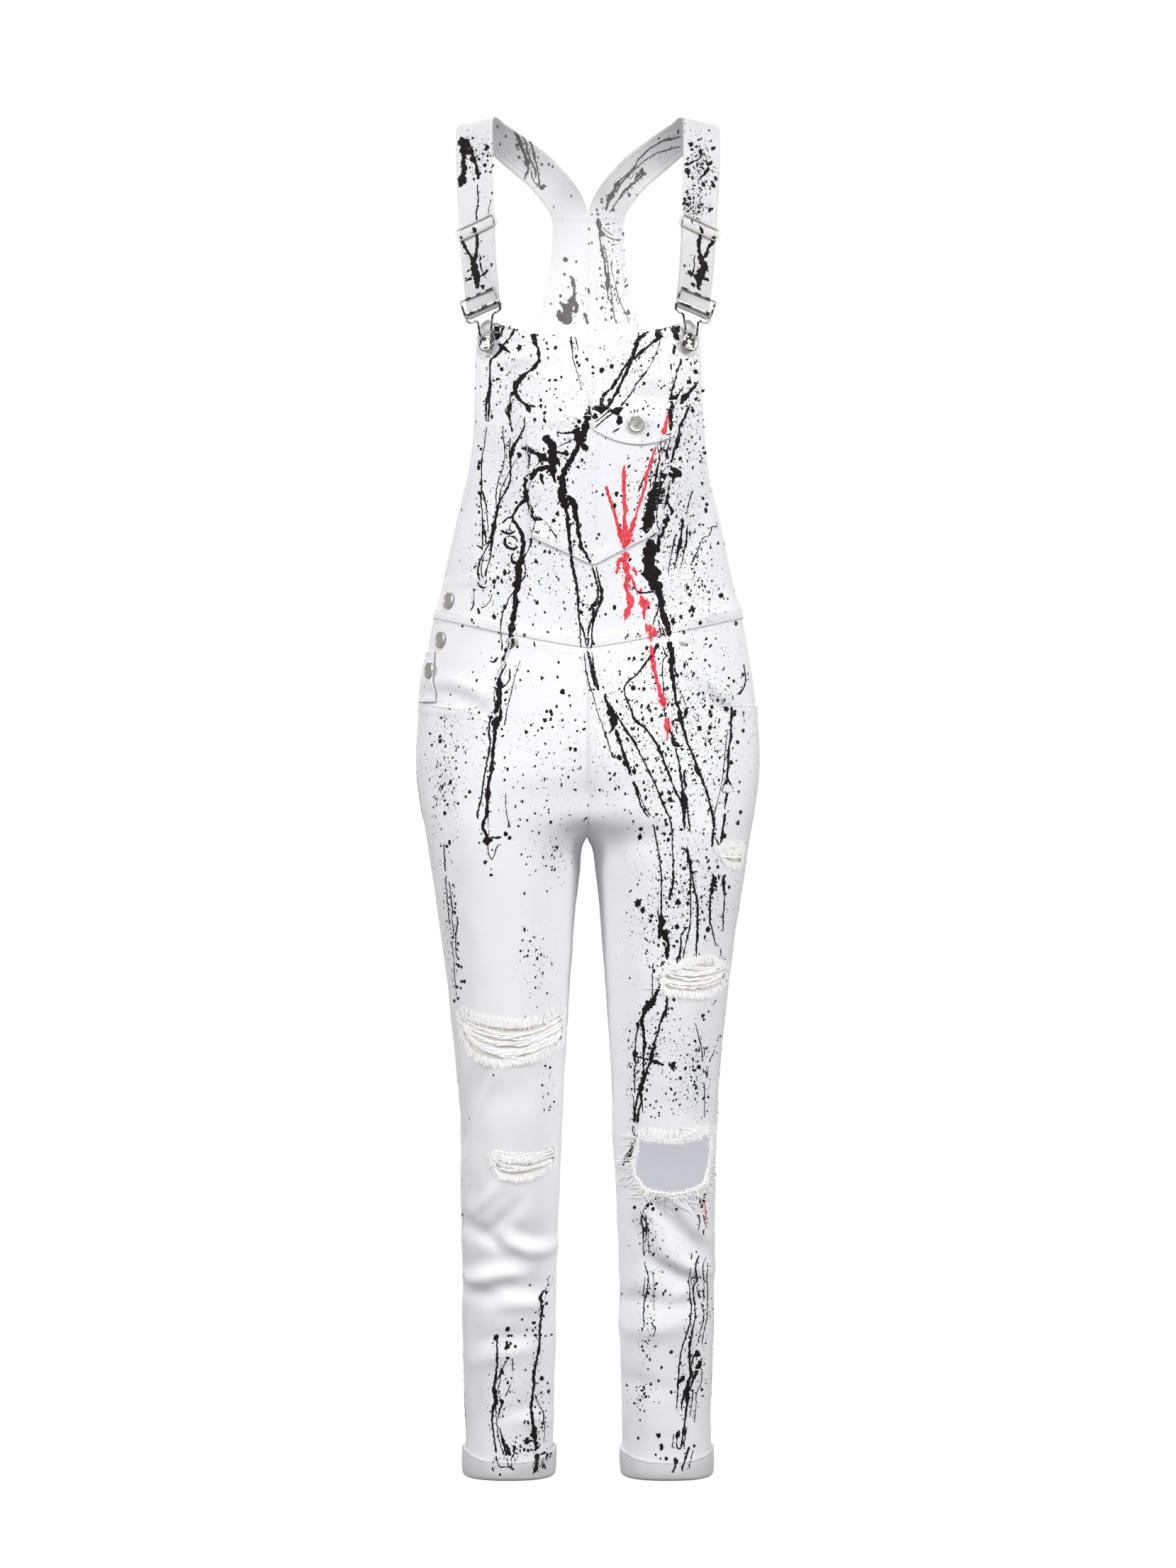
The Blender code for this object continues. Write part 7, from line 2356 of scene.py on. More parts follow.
SHIN_RUNS = [
    # shin and cuff on the wearer's right
    [-94, -1270, 1.4, -94, -1285, 1.4, -94, -1295, 1.4, -95, -1305, 1.6, -96, -1313, 1.8, -97,
     -1319, 3, -97, -1325, 3.4, -96, -1331, 3, -96, -1337, 2.4, -98, -1342, 3, -99, -1350, 1.6,
     -99, -1358, 1.5, -98, -1366, 1.3, -97, -1374, 1.2, -96, -1381, 1.4, -95, -1388, 1.6],
    [-96, -1340, 1, -95, -1350, 0.9, -94, -1360, 1, -93, -1370, 1, -91, -1378, 0.9, -88, -1387, 1,
     -86, -1391, 0.6],
    [-89, -1304, 1.6, -90, -1305, 1, -91, -1313, 1, -93, -1321, 0.9, -95, -1328, 1],
    [-83, -1291, 0.8, -86, -1295, 0.8, -88, -1300, 1, -92, -1309, 1.2, -94, -1313, 1],
    [-78, -1289, 1.4, -78, -1296, 0.7, -78, -1303, 1.5],
    [-80, -1316, 0.8, -82, -1322, 0.9, -84, -1326, 0.9, -86, -1330, 0.8],
    [-91, -1332, 3, -89, -1335, 3.5, -89, -1338, 2.5, -91, -1342, 1.2, -92, -1347, 0.9, -93, -1351,
     0.6],
    [-91, -1362, 0.7, -90, -1368, 1, -88, -1375, 2, -87, -1379, 2.5, -86, -1383, 2, -85, -1388,
     1.2, -84, -1391, 1.2],
    [-85, -1378, 1, -83, -1383, 2.5, -82, -1388, 3, -81, -1391, 1.5],
    [-95, -1391, 1.4, -94, -1397, 1.8, -91, -1402, 1.5, -85, -1402, 1.2, -81, -1402, 1.8, -78,
     -1404, 1.4, -76, -1405, 2.2],
    [-84, -1393, 0.8, -83, -1398, 0.9, -82, -1401, 2.5],
    [-80, -1393, 0.7, -79, -1398, 0.9, -80, -1402, 0.9],
    [-76, -1393, 0.6, -75, -1399, 0.7],
    [-99, -1402, 2, -98, -1407, 1.8],
    [-78, -1380, 2, -76, -1383, 2.5, -77, -1386, 1.5, -75, -1388, 1, -72, -1389, 1.5],
    [-40, -1206, 1, -39, -1211, 3.4, -41, -1217, 4.4, -43, -1222, 2.5, -44, -1225, 1],
    [-45, -1220, 1, -48, -1224, 2.5, -49, -1228, 3.5, -48, -1233, 3, -47, -1238, 3, -48, -1243, 2,
     -49, -1252, 1.6, -50, -1262, 1.8, -50, -1272, 1.8, -51, -1282, 1.8, -53, -1291, 1.9, -54,
     -1297, 2.2, -56, -1305, 1.8, -56, -1312, 2.8, -56, -1318, 2.4, -57, -1326, 2, -58, -1334, 2.4,
     -59, -1342, 2.6, -58, -1350, 2.6, -57, -1357, 3, -56, -1364, 4, -55, -1370, 5, -55, -1376,
     2.8, -54, -1382, 2.4, -54, -1388, 1.6],
    [-51, -1239, 1.2, -47, -1238, 1.5, -45, -1237, 1.2],
    [-60, -1372, 2, -58, -1370, 5, -53, -1373, 3],
    [-66, -1379, 2, -63, -1377, 3.5, -60, -1376, 2.5, -56, -1377, 1.5],
    [-65, -1374, 1.5, -61, -1373, 2.5],
    [-60, -1386, 1, -56, -1386, 1.5, -52, -1384, 1.5, -50, -1382, 1.5],
    [-52, -1390, 4, -53, -1395, 3.5, -53, -1400, 3.5, -54, -1405, 4, -57, -1409, 2.5],
    [-50, -1391, 3, -47, -1391, 1.5, -45, -1389, 1],
    [-42, -1390, 2, -43, -1395, 2.5, -45, -1401, 2.2, -48, -1406, 1.5],
    [-38, -1382, 1.5, -38, -1388, 2, -40, -1394, 1.2],
    [-46, -1394, 1, -48, -1400, 1, -50, -1404, 0.8],
    [-55, -1328, 0.8, -53, -1335, 0.8, -49, -1343, 0.9, -46, -1349, 1.6, -46, -1355, 2, -45, -1362,
     0.8, -45, -1370, 0.6, -46, -1380, 0.5],
    # shin and cuff on the wearer's left
    [59, -1134, 1.2, 61, -1131, 2.6, 64, -1128, 3, 67, -1130, 2],
    [57, -1134, 1.4, 56, -1140, 2, 55, -1147, 2.2, 57, -1155, 2, 57, -1161, 2.2, 57, -1168, 1.2,
     57, -1175, 1, 58, -1180, 1.8, 58, -1184, 0.8],
    [60, -1140, 1.8, 60, -1150, 1.6, 60, -1160, 1.2, 59, -1170, 1],
    [61, -1148, 0.6, 62, -1160, 0.7, 62, -1170, 0.7, 63, -1177, 1.3, 64, -1183, 0.8],
    [58, -1190, 0.6, 60, -1197, 0.9, 62, -1203, 1, 62, -1210, 1.2, 61, -1217, 1.2, 60, -1225, 1.2,
     58, -1232, 1.2, 58, -1238, 1.6, 57, -1245, 1, 58, -1251, 1.2, 58, -1258, 0.8],
    [59, -1205, 0.7, 58, -1215, 0.8, 57, -1225, 0.8],
    [66, -1200, 0.5, 68, -1210, 0.5, 68, -1225, 0.5, 68, -1240, 0.5],
    [66, -1251, 1, 67, -1255, 1, 69, -1257, 1.8, 69, -1262, 1, 67, -1267, 1.5],
    [107, -1180, 1, 107, -1187, 1.8],
    [106, -1195, 0.6, 105, -1203, 0.9, 104, -1210, 1.2, 105, -1217, 1.2, 105, -1224, 1.4, 106,
     -1230, 1.6, 107, -1237, 1.6, 106, -1246, 1.4, 105, -1254, 1.6, 103, -1261, 1.8, 101, -1268,
     1.4, 98, -1276, 1.6, 96, -1284, 1.6, 95, -1292, 1.6, 94, -1300, 1.8, 94, -1308, 1.6, 93,
     -1316, 2, 93, -1325, 1.8, 92, -1334, 1.4, 92, -1343, 1.2],
    [112, -1178, 1.4, 112, -1181, 1],
    [115, -1183, 1, 112, -1190, 1.4, 111, -1197, 1.3, 112, -1203, 1.2, 113, -1209, 1, 109, -1215,
     1.6, 109, -1224, 1, 110, -1233, 0.8, 111, -1243, 1, 110, -1252, 1, 108, -1260, 1.2, 107,
     -1268, 1.4, 105, -1276, 1.6, 105, -1285, 1.5, 105, -1294, 1.5, 106, -1302, 2.2, 107, -1308, 3,
     104, -1314, 2.4, 103, -1322, 4, 102, -1327, 5, 103, -1333, 3, 102, -1341, 2.2, 101, -1350,
     1.8, 100, -1358, 1.5, 99, -1365, 2.2, 98, -1372, 1.5, 97, -1379, 1.5, 96, -1383, 1.2],
    [113, -1209, 1, 109, -1206, 1, 106, -1209, 1, 108, -1214, 1.2],
    [112, -1215, 1.5, 114, -1222, 1.4, 116, -1229, 2.2],
    [117, -1233, 0.8, 119, -1240, 1, 120, -1246, 1.5, 119, -1254, 1.8, 117, -1260, 1, 115, -1268,
     0.8, 114, -1275, 0.8],
    [122, -1186, 1, 119, -1194, 1, 119, -1201, 1.5, 120, -1210, 0.8, 120, -1222, 0.9, 120, -1232,
     1],
    [124, -1192, 1.6, 124, -1200, 1.5, 123, -1208, 1, 124, -1218, 1.2, 124, -1230, 1.2, 124, -1242,
     1.2, 123, -1251, 1.4, 121, -1260, 1.3, 119, -1269, 1, 118, -1278, 0.8],
    [110, -1286, 2, 108, -1292, 1.6, 107, -1299, 1.6],
    [114, -1303, 2, 112, -1307, 2.5, 109, -1312, 1.6, 107, -1318, 1.5, 105, -1325, 1],
    [118, -1302, 1, 118, -1311, 0.8, 117, -1318, 1, 114, -1323, 1.2, 112, -1330, 0.9, 112, -1340,
     0.8, 110, -1358, 0.8],
    [100, -1308, 2.5, 97, -1312, 4, 94, -1315, 3, 92, -1317, 1.5],
    [100, -1323, 3, 99, -1330, 1.4, 97, -1337, 1, 97, -1345, 0.8],
    [109, -1323, 1.4, 108, -1332, 0.9, 107, -1342, 0.8, 105, -1352, 0.8],
    [102, -1362, 1.2, 101, -1368, 1.8, 100, -1374, 1.5, 99, -1381, 1.6],
    [95, -1365, 1.5, 93, -1368, 3, 92, -1374, 0.8, 92, -1381, 0.8, 94, -1384, 1.2, 97, -1383, 1],
    [89, -1368, 0.8, 88, -1375, 1, 87, -1383, 1.2],
    [104, -1382, 2.5, 104, -1385, 2, 102, -1391, 1.6, 100, -1397, 1.4, 98, -1402, 1.6, 97, -1407,
     1],
    [109, -1386, 1, 107, -1393, 1.2, 105, -1401, 1, 105, -1404, 1.2],
    [91, -1395, 3, 90, -1402, 1.4, 87, -1408, 1.5],
    [121, -1118, 1.2, 120, -1124, 1.6, 119, -1129, 2.8, 118, -1134, 2.8],
    [115, -1121, 1, 116, -1126, 1.2, 115, -1130, 1],
    [119, -1137, 2, 120, -1143, 2.4, 121, -1149, 1.8, 123, -1156, 1.4],
    [115, -1141, 1, 115, -1150, 1, 114, -1157, 0.8],
    [119, -1156, 1.2, 120, -1162, 1.2],
]
SHIN_BLOTS = [
    -95, -1268, 2.6, -96, -1329, 2.2, -95, -1334, 2.6, -89, -1304, 2.1, -83, -1289, 1.8, -83,
    -1259, 2.2, -82, -1266, 1.5, -79, -1266, 1.3, -84, -1273, 1.4, -80, -1274, 1.4, -83, -1277,
    2.4, -85, -1279, 1.4, -75, -1277, 1.5, -83, -1315, 1.4, -79, -1310, 1, -85, -1311, 0.8, -88,
    -1350, 1, -91, -1410, 1.2, -74, -1372, 1, -70, -1370, 0.8, -75, -1377, 1, -70, -1381, 1.2, -66,
    -1385, 1.4, -62, -1386, 1.6, -62, -1357, 1.4, -66, -1357, 0.9, -60, -1214, 1.1, -68, -1249,
    1.2, -63, -1260, 1, -65, -1266, 1, -56, -1253, 1.7, -57, -1261, 1.2, -54, -1242, 1, -43, -1234,
    1.5, -46, -1247, 1.2, -44, -1268, 1, -38, -1268, 1.1, -48, -1312, 2.2, -41, -1327, 1.6, -42,
    -1318, 1, -50, -1348, 1.2, -47, -1359, 1.5, -48, -1363, 1.2, 67, -1134, 1.9, 48, -1133, 1.7,
    69, -1124, 1.1, 75, -1140, 0.9, 56, -1278, 1.2, 57, -1282, 1.2, 63, -1271, 0.9, 70, -1277, 1,
    64, -1291, 1.3, 76, -1299, 1.3, 62, -1301, 1, 86, -1283, 1.9, 73, -1313, 1.3, 65, -1317, 1.3,
    86, -1325, 1.5, 40, -1321, 1.5, 84, -1237, 0.8, 91, -1134, 1.2, 82, -1183, 0.9, 35, -1227, 1,
    77, -1200, 0.9, 68, -1181, 1.2, 60, -1330, 1.4, 54, -1334, 1.3, 48, -1338, 1.2, 54, -1344, 1,
    54, -1355, 1, 52, -1374, 1.4, 56, -1324, 1.4, 113, -1286, 3, 115, -1298, 3.3, 73, -1370, 2.4,
    76, -1382, 2.4, 70, -1390, 1.2, 81, -1394, 1.8, 75, -1394, 1, 91, -1396, 2.4, 118, -1324, 1.6,
    119, -1331, 1, 110, -1382, 1.4,
]
STRAP_RUNS = [
    # strap on the wearer's right
    [-131, -27, 7, -130, -33, 7, -128, -40, 9, -127, -46, 7, -128, -52, 4.5, -128, -58, 4, -127,
     -64, 5, -128, -70, 5, -129, -75, 5, -130, -80, 4, -132, -85, 2],
    [-129, -80, 3, -126, -79, 3, -124, -79, 1],
    [-128, -30, 5, -124, -36, 4, -121, -42, 3, -119, -48, 3, -118, -54, 4, -115, -60, 2.5, -114,
     -66, 3, -113, -72, 3, -113, -77, 2],
    [-126, -44, 4, -121, -46, 4, -118, -49, 3],
    [-113, -82, 1.5, -113, -90, 1.6, -112, -98, 1.5, -113, -106, 1.6, -114, -114, 1.6, -113, -122,
     1.8],
    [-117, -128, 3, -115, -133, 2.5, -113, -138, 2.5, -113, -149, 2.5, -114, -156, 3, -116, -162,
     5, -116, -168, 6, -115, -174, 7, -113, -180, 7, -113, -186, 4, -112, -192, 2],
    [-132, -136, 3, -129, -141, 3, -126, -147, 2.4, -123, -153, 2, -119, -159, 3, -117, -165, 5],
    [-109, -179, 3, -105, -177, 2, -103, -174, 1.5, -101, -173, 1],
    [-118, -181, 3, -122, -182, 2, -125, -184, 1],
    [-120, -172, 1.5, -124, -174, 0.8],
    [-110, -156, 0.8, -110, -163, 1, -109, -170, 1.2, -107, -175, 1, -104, -182, 0.6],
    [-103, -45, 1, -99, -52, 0.7],
    [-99, -99, 1, -101, -108, 0.7, -102, -116, 0.5],
    # strap on the wearer's left
    [116, -42, 3, 116, -48, 1.3, 115, -53, 1, 110, -56, 1, 106, -58, 1.5, 104, -61, 2],
    [128, -56, 1.5, 124, -59, 4, 121, -60, 2],
    [124, -62, 2, 122, -67, 3, 119, -71, 1.5, 116, -74, 1.5, 114, -78, 1],
    [110, -118, 1.5, 113, -121, 2, 115, -124, 2],
    [114, -127, 3, 116, -133, 2.8, 113, -142, 2.5, 113, -150, 2.5, 114, -157, 4, 116, -163, 6, 118,
     -169, 7, 116, -175, 8, 113, -181, 7, 113, -187, 4, 112, -193, 2],
    [132, -136, 4, 128, -142, 4, 123, -149, 2.5, 121, -155, 2.5, 118, -160, 4],
    [109, -157, 1, 108, -164, 1, 108, -171, 1.3, 106, -177, 1.5, 104, -181, 0.8],
    [108, -179, 3, 104, -176, 2, 101, -174, 1],
    [118, -181, 3, 121, -182, 2, 123, -184, 1],
    [120, -173, 1.5, 123, -172, 1],
]
STRAP_BLOTS = [
    -119, -29, 1.4, -104, -41, 2.6, -106, -61, 2, -112, -54, 1.5, -111, -70, 1.5, -105, -68, 1,
    -100, -69, 1.3, -117, -76, 1.2, -98, -168, 1.4, -106, -159, 0.9, -123, -31, 1, -108, -48, 1.3,
    -98, -92, 1.2, -107, -190, 2, 106, -37, 2.4, 107, -43, 1.6, 112, -40, 1.2, 129, -41, 2.3, 127,
    -32, 1, 117, -30, 1, 101, -60, 1.8, 102, -68, 3, 118, -82, 2, 128, -82, 1.8, 131, -75, 2, 107,
    -75, 1.6, 103, -74, 1.2, 101, -91, 1.6, 99, -99, 1.8, 100, -104, 1.4, 104, -104, 1.2, 116,
    -104, 1.6, 125, -109, 2.2, 113, -112, 1.6, 108, -97, 1.2, 107, -188, 2, 98, -169, 1.3,
]
RED_RUNS = [
    [82, -319, 2, 79, -330, 2.6, 77, -341, 3],
    [69, -353, 1.5, 66, -362, 1.5, 64, -369, 2.8, 61, -377, 2.2, 59, -383, 2.5, 57, -388, 1],
    [60, -385, 1.5, 58, -393, 2, 54, -406, 2, 51, -415, 1.6, 48, -425, 2, 45, -434, 4, 43, -441, 3,
     42, -447, 4, 39, -452, 5],
    [37, -372, 1.5, 36.5, -380, 3.5, 36.5, -390, 3.5, 37, -406, 3, 38, -417, 3, 37, -428, 3, 38,
     -438, 5, 38, -446, 8, 38, -452, 6, 36, -457, 2],
    [18, -393, 1.5, 20, -399, 2.5, 22, -406, 2.5, 26, -417, 2.4, 29, -428, 2.6, 32, -438, 4, 35,
     -446, 6, 37, -453, 5],
    [38, -459, 4, 39, -465, 5, 37, -470, 6, 40, -478, 5, 40, -486, 4, 39, -494, 4, 40, -500, 3, 43,
     -507, 5, 43, -514, 6, 40, -521, 5, 38, -529, 4],
    [37, -467, 4, 32, -469, 3, 30, -476, 2.5, 29, -482, 2],
    [46, -474, 1.5, 48, -479, 2.5, 49, -484, 1.5],
    [41, -482, 3, 45, -487, 2, 47, -493, 2.5, 50, -499, 1.5],
    [42, -492, 2, 43, -497, 2],
    [54, -503, 2, 56, -509, 6, 58, -515, 6, 57, -522, 2.5, 58, -529, 1],
    [59, -533, 3, 62, -538, 6, 65, -534, 3],
    [64, -540, 7, 64, -546, 4, 64, -551, 2],
    [67, -535, 3, 68, -542, 4, 66, -545, 3],
    [64, -554, 2, 65, -560, 4, 66, -568, 5, 67, -577, 3.5, 69, -585, 2.2, 71, -593, 2.6, 73, -600,
     3.6, 75, -607, 4, 77, -613, 4, 78, -618, 3.4],
    [80, -628, 2, 80, -634, 5, 82, -640, 6, 81, -645, 1, 81, -652, 1.2],
    [120, -1124, 0.8, 121, -1133, 1, 122, -1142, 1.2, 124, -1152, 1.2],
]
RED_BLOTS = [54, -498, 1.5]
# Paint that soaked through to the inside of the back. It is laid out in the bib's plane, where it
# lines up from the camera, and farther() moves it to the back.
SOAKED_RUNS = [
    [-90, -20, 0.8, -84, -25, 1, -78, -31, 1.3, -73, -37, 3, -70, -43, 2.5, -67, -50, 2.5, -64,
     -57, 2, -62, -63, 3.5, -61, -69, 1.5, -62, -74, 2, -65, -77, 1.5],
    [-72, -34, 3, -68, -38, 1, -63, -45, 1, -62, -52, 1.5, -59, -60, 1, -54, -70, 1, -53, -78, 0.6],
    [-59, -42, 1.5, -57, -48, 1.5, -55, -56, 1.2, -53, -64, 1, -51, -72, 1, -50, -80, 0.8, -49,
     -86, 2, -47, -88, 3.5, -44, -86, 1.5, -42, -87, 1],
    [-58, -70, 1, -57, -77, 1, -55, -82, 1, -51, -86, 1],
    [-19, -178, 3, -16, -180, 2, -15, -184, 4, -14, -190, 2, -14, -196, 2, -15, -200, 5, -17, -206,
     8, -22, -213, 9, -22, -220, 10, -20, -227, 9],
    [-12, -204, 4, -12, -210, 4, -13, -216, 2],
    [-29, -212, 5, -29, -219, 4, -26, -224, 6],
    [-4, -215, 3, -2, -220, 2.5, 0, -227, 1.4],
    [97, -41, 0.8, 88, -43, 1, 78, -44, 1.2, 70, -47, 1, 62, -51, 0.9, 56, -56, 0.9, 51, -61, 0.9,
     47, -68, 1.2, 42, -73, 1.6, 36, -78, 1, 32, -81, 1.5, 30, -84, 3, 27, -90, 1.5, 24, -95, 4,
     21, -101, 3, 19, -107, 2, 18, -111, 1.5],
    [97, -50, 1, 88, -51, 1, 79, -53, 1.5, 70, -55, 1, 62, -59, 0.9, 56, -63, 1, 51, -67, 1, 46,
     -72, 1, 40, -77, 1.2, 35, -82, 1.4, 31, -88, 2, 28, -93, 1.5],
    [55, -68, 3, 54, -73, 3, 50, -77, 2, 47, -81, 1],
    [59, -73, 3, 54, -77, 1.2, 48, -82, 1, 42, -87, 2, 37, -91, 2.5, 34, -96, 1.5, 30, -101, 1, 26,
     -107, 0.8, 22, -113, 0.6],
    [10, -119, 2, 11, -124, 4, 12, -130, 3, 12, -138, 1, 13, -146, 1, 15, -155, 1, 17, -165, 1, 18,
     -174, 2, 20, -178, 3, 20, -186, 4, 20, -194, 1, 21, -203, 1],
    [13, -131, 1.2, 17, -136, 1, 22, -139, 1, 28, -141, 1.5, 34, -141, 1.5],
    [15, -129, 1, 20, -133, 0.8, 26, -137, 0.6],
    [16, -145, 0.6, 18, -155, 1, 20, -165, 0.8, 21, -175, 1, 22, -186, 1, 24, -196, 1, 25, -206, 1,
     26, -215, 1, 28, -225, 0.8],
    [24, -163, 1.8, 24, -168, 1.2, 25, -175, 0.6, 28, -186, 0.6, 30, -196, 1.4, 33, -205, 0.8, 37,
     -213, 0.7, 42, -225, 0.6],
]
SOAKED_BLOTS = [
    -72, -48, 1.6, -70, -59, 1.5, -91, -35, 1, -89, -48, 1, -83, -41, 1, -40, -65, 1.2, -47, -65,
    1.2, -36, -67, 1.1, -17, -96, 1, -35, -107, 0.9, -23, -161, 2.4, -12, -163, 1.2, -24, -176,
    1.3, -28, -198, 1.5, -20, -189, 1, -28, -205, 1.4, -38, -206, 1, 9, -110, 1.2, 10, -115, 1.5,
    4, -115, 1, 1, -130, 1.2, 4, -144, 1.1, 1, -145, 1, 12, -170, 1.3, 14, -188, 1.3, 13, -177,
    1.2, 15, -200, 1.4, 9, -201, 1, 14, -210, 1.6, 18, -222, 1.2, 24, -212, 1.6, 24, -220, 1.4, 26,
    -110, 1.5, 42, -95, 1.6, 48, -110, 1.3, 39, -163, 1.2, 14, -102, 1.4, 14, -99, 1.2, 41, -215,
    2.2,
]


class Caster:
    """Finds the outermost cloth along Y or X, where it faces the ray by at least so much."""

    def __init__(self, tree, axis=1, sign=1, least=0.0):
        self.tree, self.axis, self.sign, self.least = tree, axis, sign, least
        self.way = Vector((sign, 0, 0)) if axis == 0 else Vector((0, sign, 0))

    def at(self, flat, height):
        """Place and facing of the cloth at this distance across and height, or None."""
        far = -0.45 * self.sign
        if self.axis == 0:
            start = Vector((far, flat * MM, height * MM))
        else:
            start = Vector((flat * MM, far, height * MM))
        place, normal, _, _ = self.tree.ray_cast(start, self.way, 1.0)
        if place is None:
            return None
        if normal.dot(self.way) > 0:
            normal = -normal
        if -normal.dot(self.way) < self.least:
            return None
        return place / MM, normal


def waver(rng, run, low=4.0, high=17.0):
    """Smooth noise along a run, about as large as one."""
    total = np.zeros(len(run))
    for _ in range(5):
        total += np.sin(run * 2 * math.pi / rng.uniform(low, high) + rng.uniform(0, 6.3))
    return total / 2.2


def run_film(points, caster, rng, jump=2.6, step=0.95, raggedness=0.24):
    """Places and faces of one run of paint, and the small drops beside it."""
    curve = smoothed(np.reshape(points, (-1, 3)).tolist(), 12)
    gaps = np.linalg.norm(np.diff(curve[:, :2], axis=0), axis=1)
    run = np.concatenate([[0], np.cumsum(gaps)])
    count = max(4, int(run[-1] / step))
    at = np.linspace(0, run[-1], count)
    path = np.stack([np.interp(at, run, curve[:, k]) for k in range(3)], axis=1)
    path[:, 0] += 0.2 * waver(rng, at, 3, 9)
    ahead = np.gradient(path[:, :2], axis=0)
    ahead /= np.linalg.norm(ahead, axis=1, keepdims=True) + 1e-9
    aside = np.stack([ahead[:, 1], -ahead[:, 0]], axis=1)
    width = 1.12 * path[:, 2] + 0.35
    tip = np.minimum(at, run[-1] - at)
    width = width * np.sqrt(np.clip(tip / (width * 0.6 + 0.3), 0.04, 1))
    bulge = np.zeros(count)
    for _ in range(int(run[-1] / 22) + 1):
        bulge += rng.uniform(0.1, 0.75) * np.exp(
            -(((at - rng.uniform(0, run[-1])) / rng.uniform(1.2, 3.6)) ** 2)
        )
    edges = []
    for _ in range(2):
        swell = np.clip(1 + raggedness * waver(rng, at) + bulge, 0.4, 3)
        hairs = (0.25 + 0.09 * width) * rng.random(count) ** 4 + rng.normal(0, 0.05, count)
        edges.append(np.maximum(width / 2 * swell + hairs, 0.12))
    left, right = edges
    lift = bpy.context.scene.overalls_paint.lift / MM
    shares_over = (-1, -0.72, 0, 0.72, 1) if path[:, 2].max() > 2.4 else (-1, 0, 1)
    heights = [-0.12 if abs(s) == 1 else lift for s in shares_over]
    places, index = [], {}
    for i in range(count):
        for k, share in enumerate(shares_over):
            reach = left[i] * -share if share < 0 else right[i] * share
            flat = path[i, :2] + aside[i] * math.copysign(reach, share)
            found = caster.at(flat[0], flat[1])
            if found is None:
                continue
            index[i, k] = len(places)
            places.append(found[0] + found[1] * heights[k])
    faces = []
    for i in range(count - 1):
        for k in range(len(shares_over) - 1):
            corners = [(i, k), (i, k + 1), (i + 1, k + 1), (i + 1, k)]
            if not all(corner in index for corner in corners):
                continue
            face = [index[corner] for corner in corners]
            depth = [places[v][caster.axis] for v in face]
            if max(depth) - min(depth) < jump:
                faces.append(face)
    drops = []
    for _ in range(int(run[-1] / 5)):
        i = rng.integers(count)
        side = rng.choice((-1, 1))
        off = width[i] / 2 + abs(rng.normal(0.6, 1.9))
        spot = path[i, :2] + aside[i] * side * off
        drops.append((spot[0], spot[1], abs(rng.normal(0, 0.45)) + 0.25))
    return (places, faces), drops


def blot_film(x, z, radius, tall, caster, rng, jump=2.6, ragged=0.28):
    """Places and faces of a flat, ragged blot."""
    sides = 12 if radius < 2.5 else 28
    rings = (0.45, 0.86, 1.0) if radius < 4 else (0.25, 0.5, 0.72, 0.92, 1.0)
    turn = np.arange(sides) * 2 * math.pi / sides
    shape = np.ones(sides)
    for wave in range(2, 8):
        shape += ragged / wave**0.6 * rng.normal(0, 0.8) * np.sin(wave * turn + rng.uniform(0, 6.3))
    shape = np.clip(shape, 0.35, 1.9)
    lift = bpy.context.scene.overalls_paint.lift / MM
    middle = caster.at(x, z)
    if middle is None:
        return None
    places, index = [middle[0] + middle[1] * lift], {}
    for r, ring in enumerate(rings):
        for k in range(sides):
            reach = radius * ring * shape[k]
            found = caster.at(x + reach * math.cos(turn[k]), z + reach * tall * math.sin(turn[k]))
            if found is None:
                continue
            index[r, k] = len(places)
            places.append(found[0] + found[1] * (-0.12 if ring == 1 else lift))
    faces = []
    for k in range(sides):
        n = (k + 1) % sides
        candidates = []
        if (0, k) in index and (0, n) in index:
            candidates.append([0, index[0, k], index[0, n]])
        for r in range(len(rings) - 1):
            corners = [(r, k), (r + 1, k), (r + 1, n), (r, n)]
            if all(corner in index for corner in corners):
                candidates.append([index[corner] for corner in corners])
        for face in candidates:
            depth = [places[v][caster.axis] for v in face]
            if max(depth) - min(depth) < jump:
                faces.append(face)
    return places, faces


def outward(mesh, caster):
    """Turns every face of a film towards the side it was cast from."""
    film = bmesh.new()
    film.from_mesh(mesh)
    for face in film.faces:
        face.normal_update()
        if face.normal.dot(caster.way) > 0:
            face.normal_flip()
    film.to_mesh(mesh)
    film.free()


def film_piece(name, runs, blots, caster, finish_name, seed, jump=2.6):
    """One piece of paint from runs and blots, broken where the cloth steps by more than jump."""
    rng = np.random.default_rng(seed)
    parts = []
    for points in runs:
        film, drops = run_film(points, caster, rng, jump)
        parts.append(film)
        parts += [blot_film(x, z, r, 1.2, caster, rng, jump) for x, z, r in drops]
    for x, z, radius in np.reshape(blots, (-1, 3)):
        tall = rng.uniform(1.05, 1.35)
        parts.append(blot_film(x, z, 1.1 * radius, tall, caster, rng, jump))
    parts = [part for part in parts if part and part[1]]
    places, faces = joined(parts)
    mesh = mesh_from(name, places, faces)
    outward(mesh, caster)
    keep(name, mesh, (finish_name,))


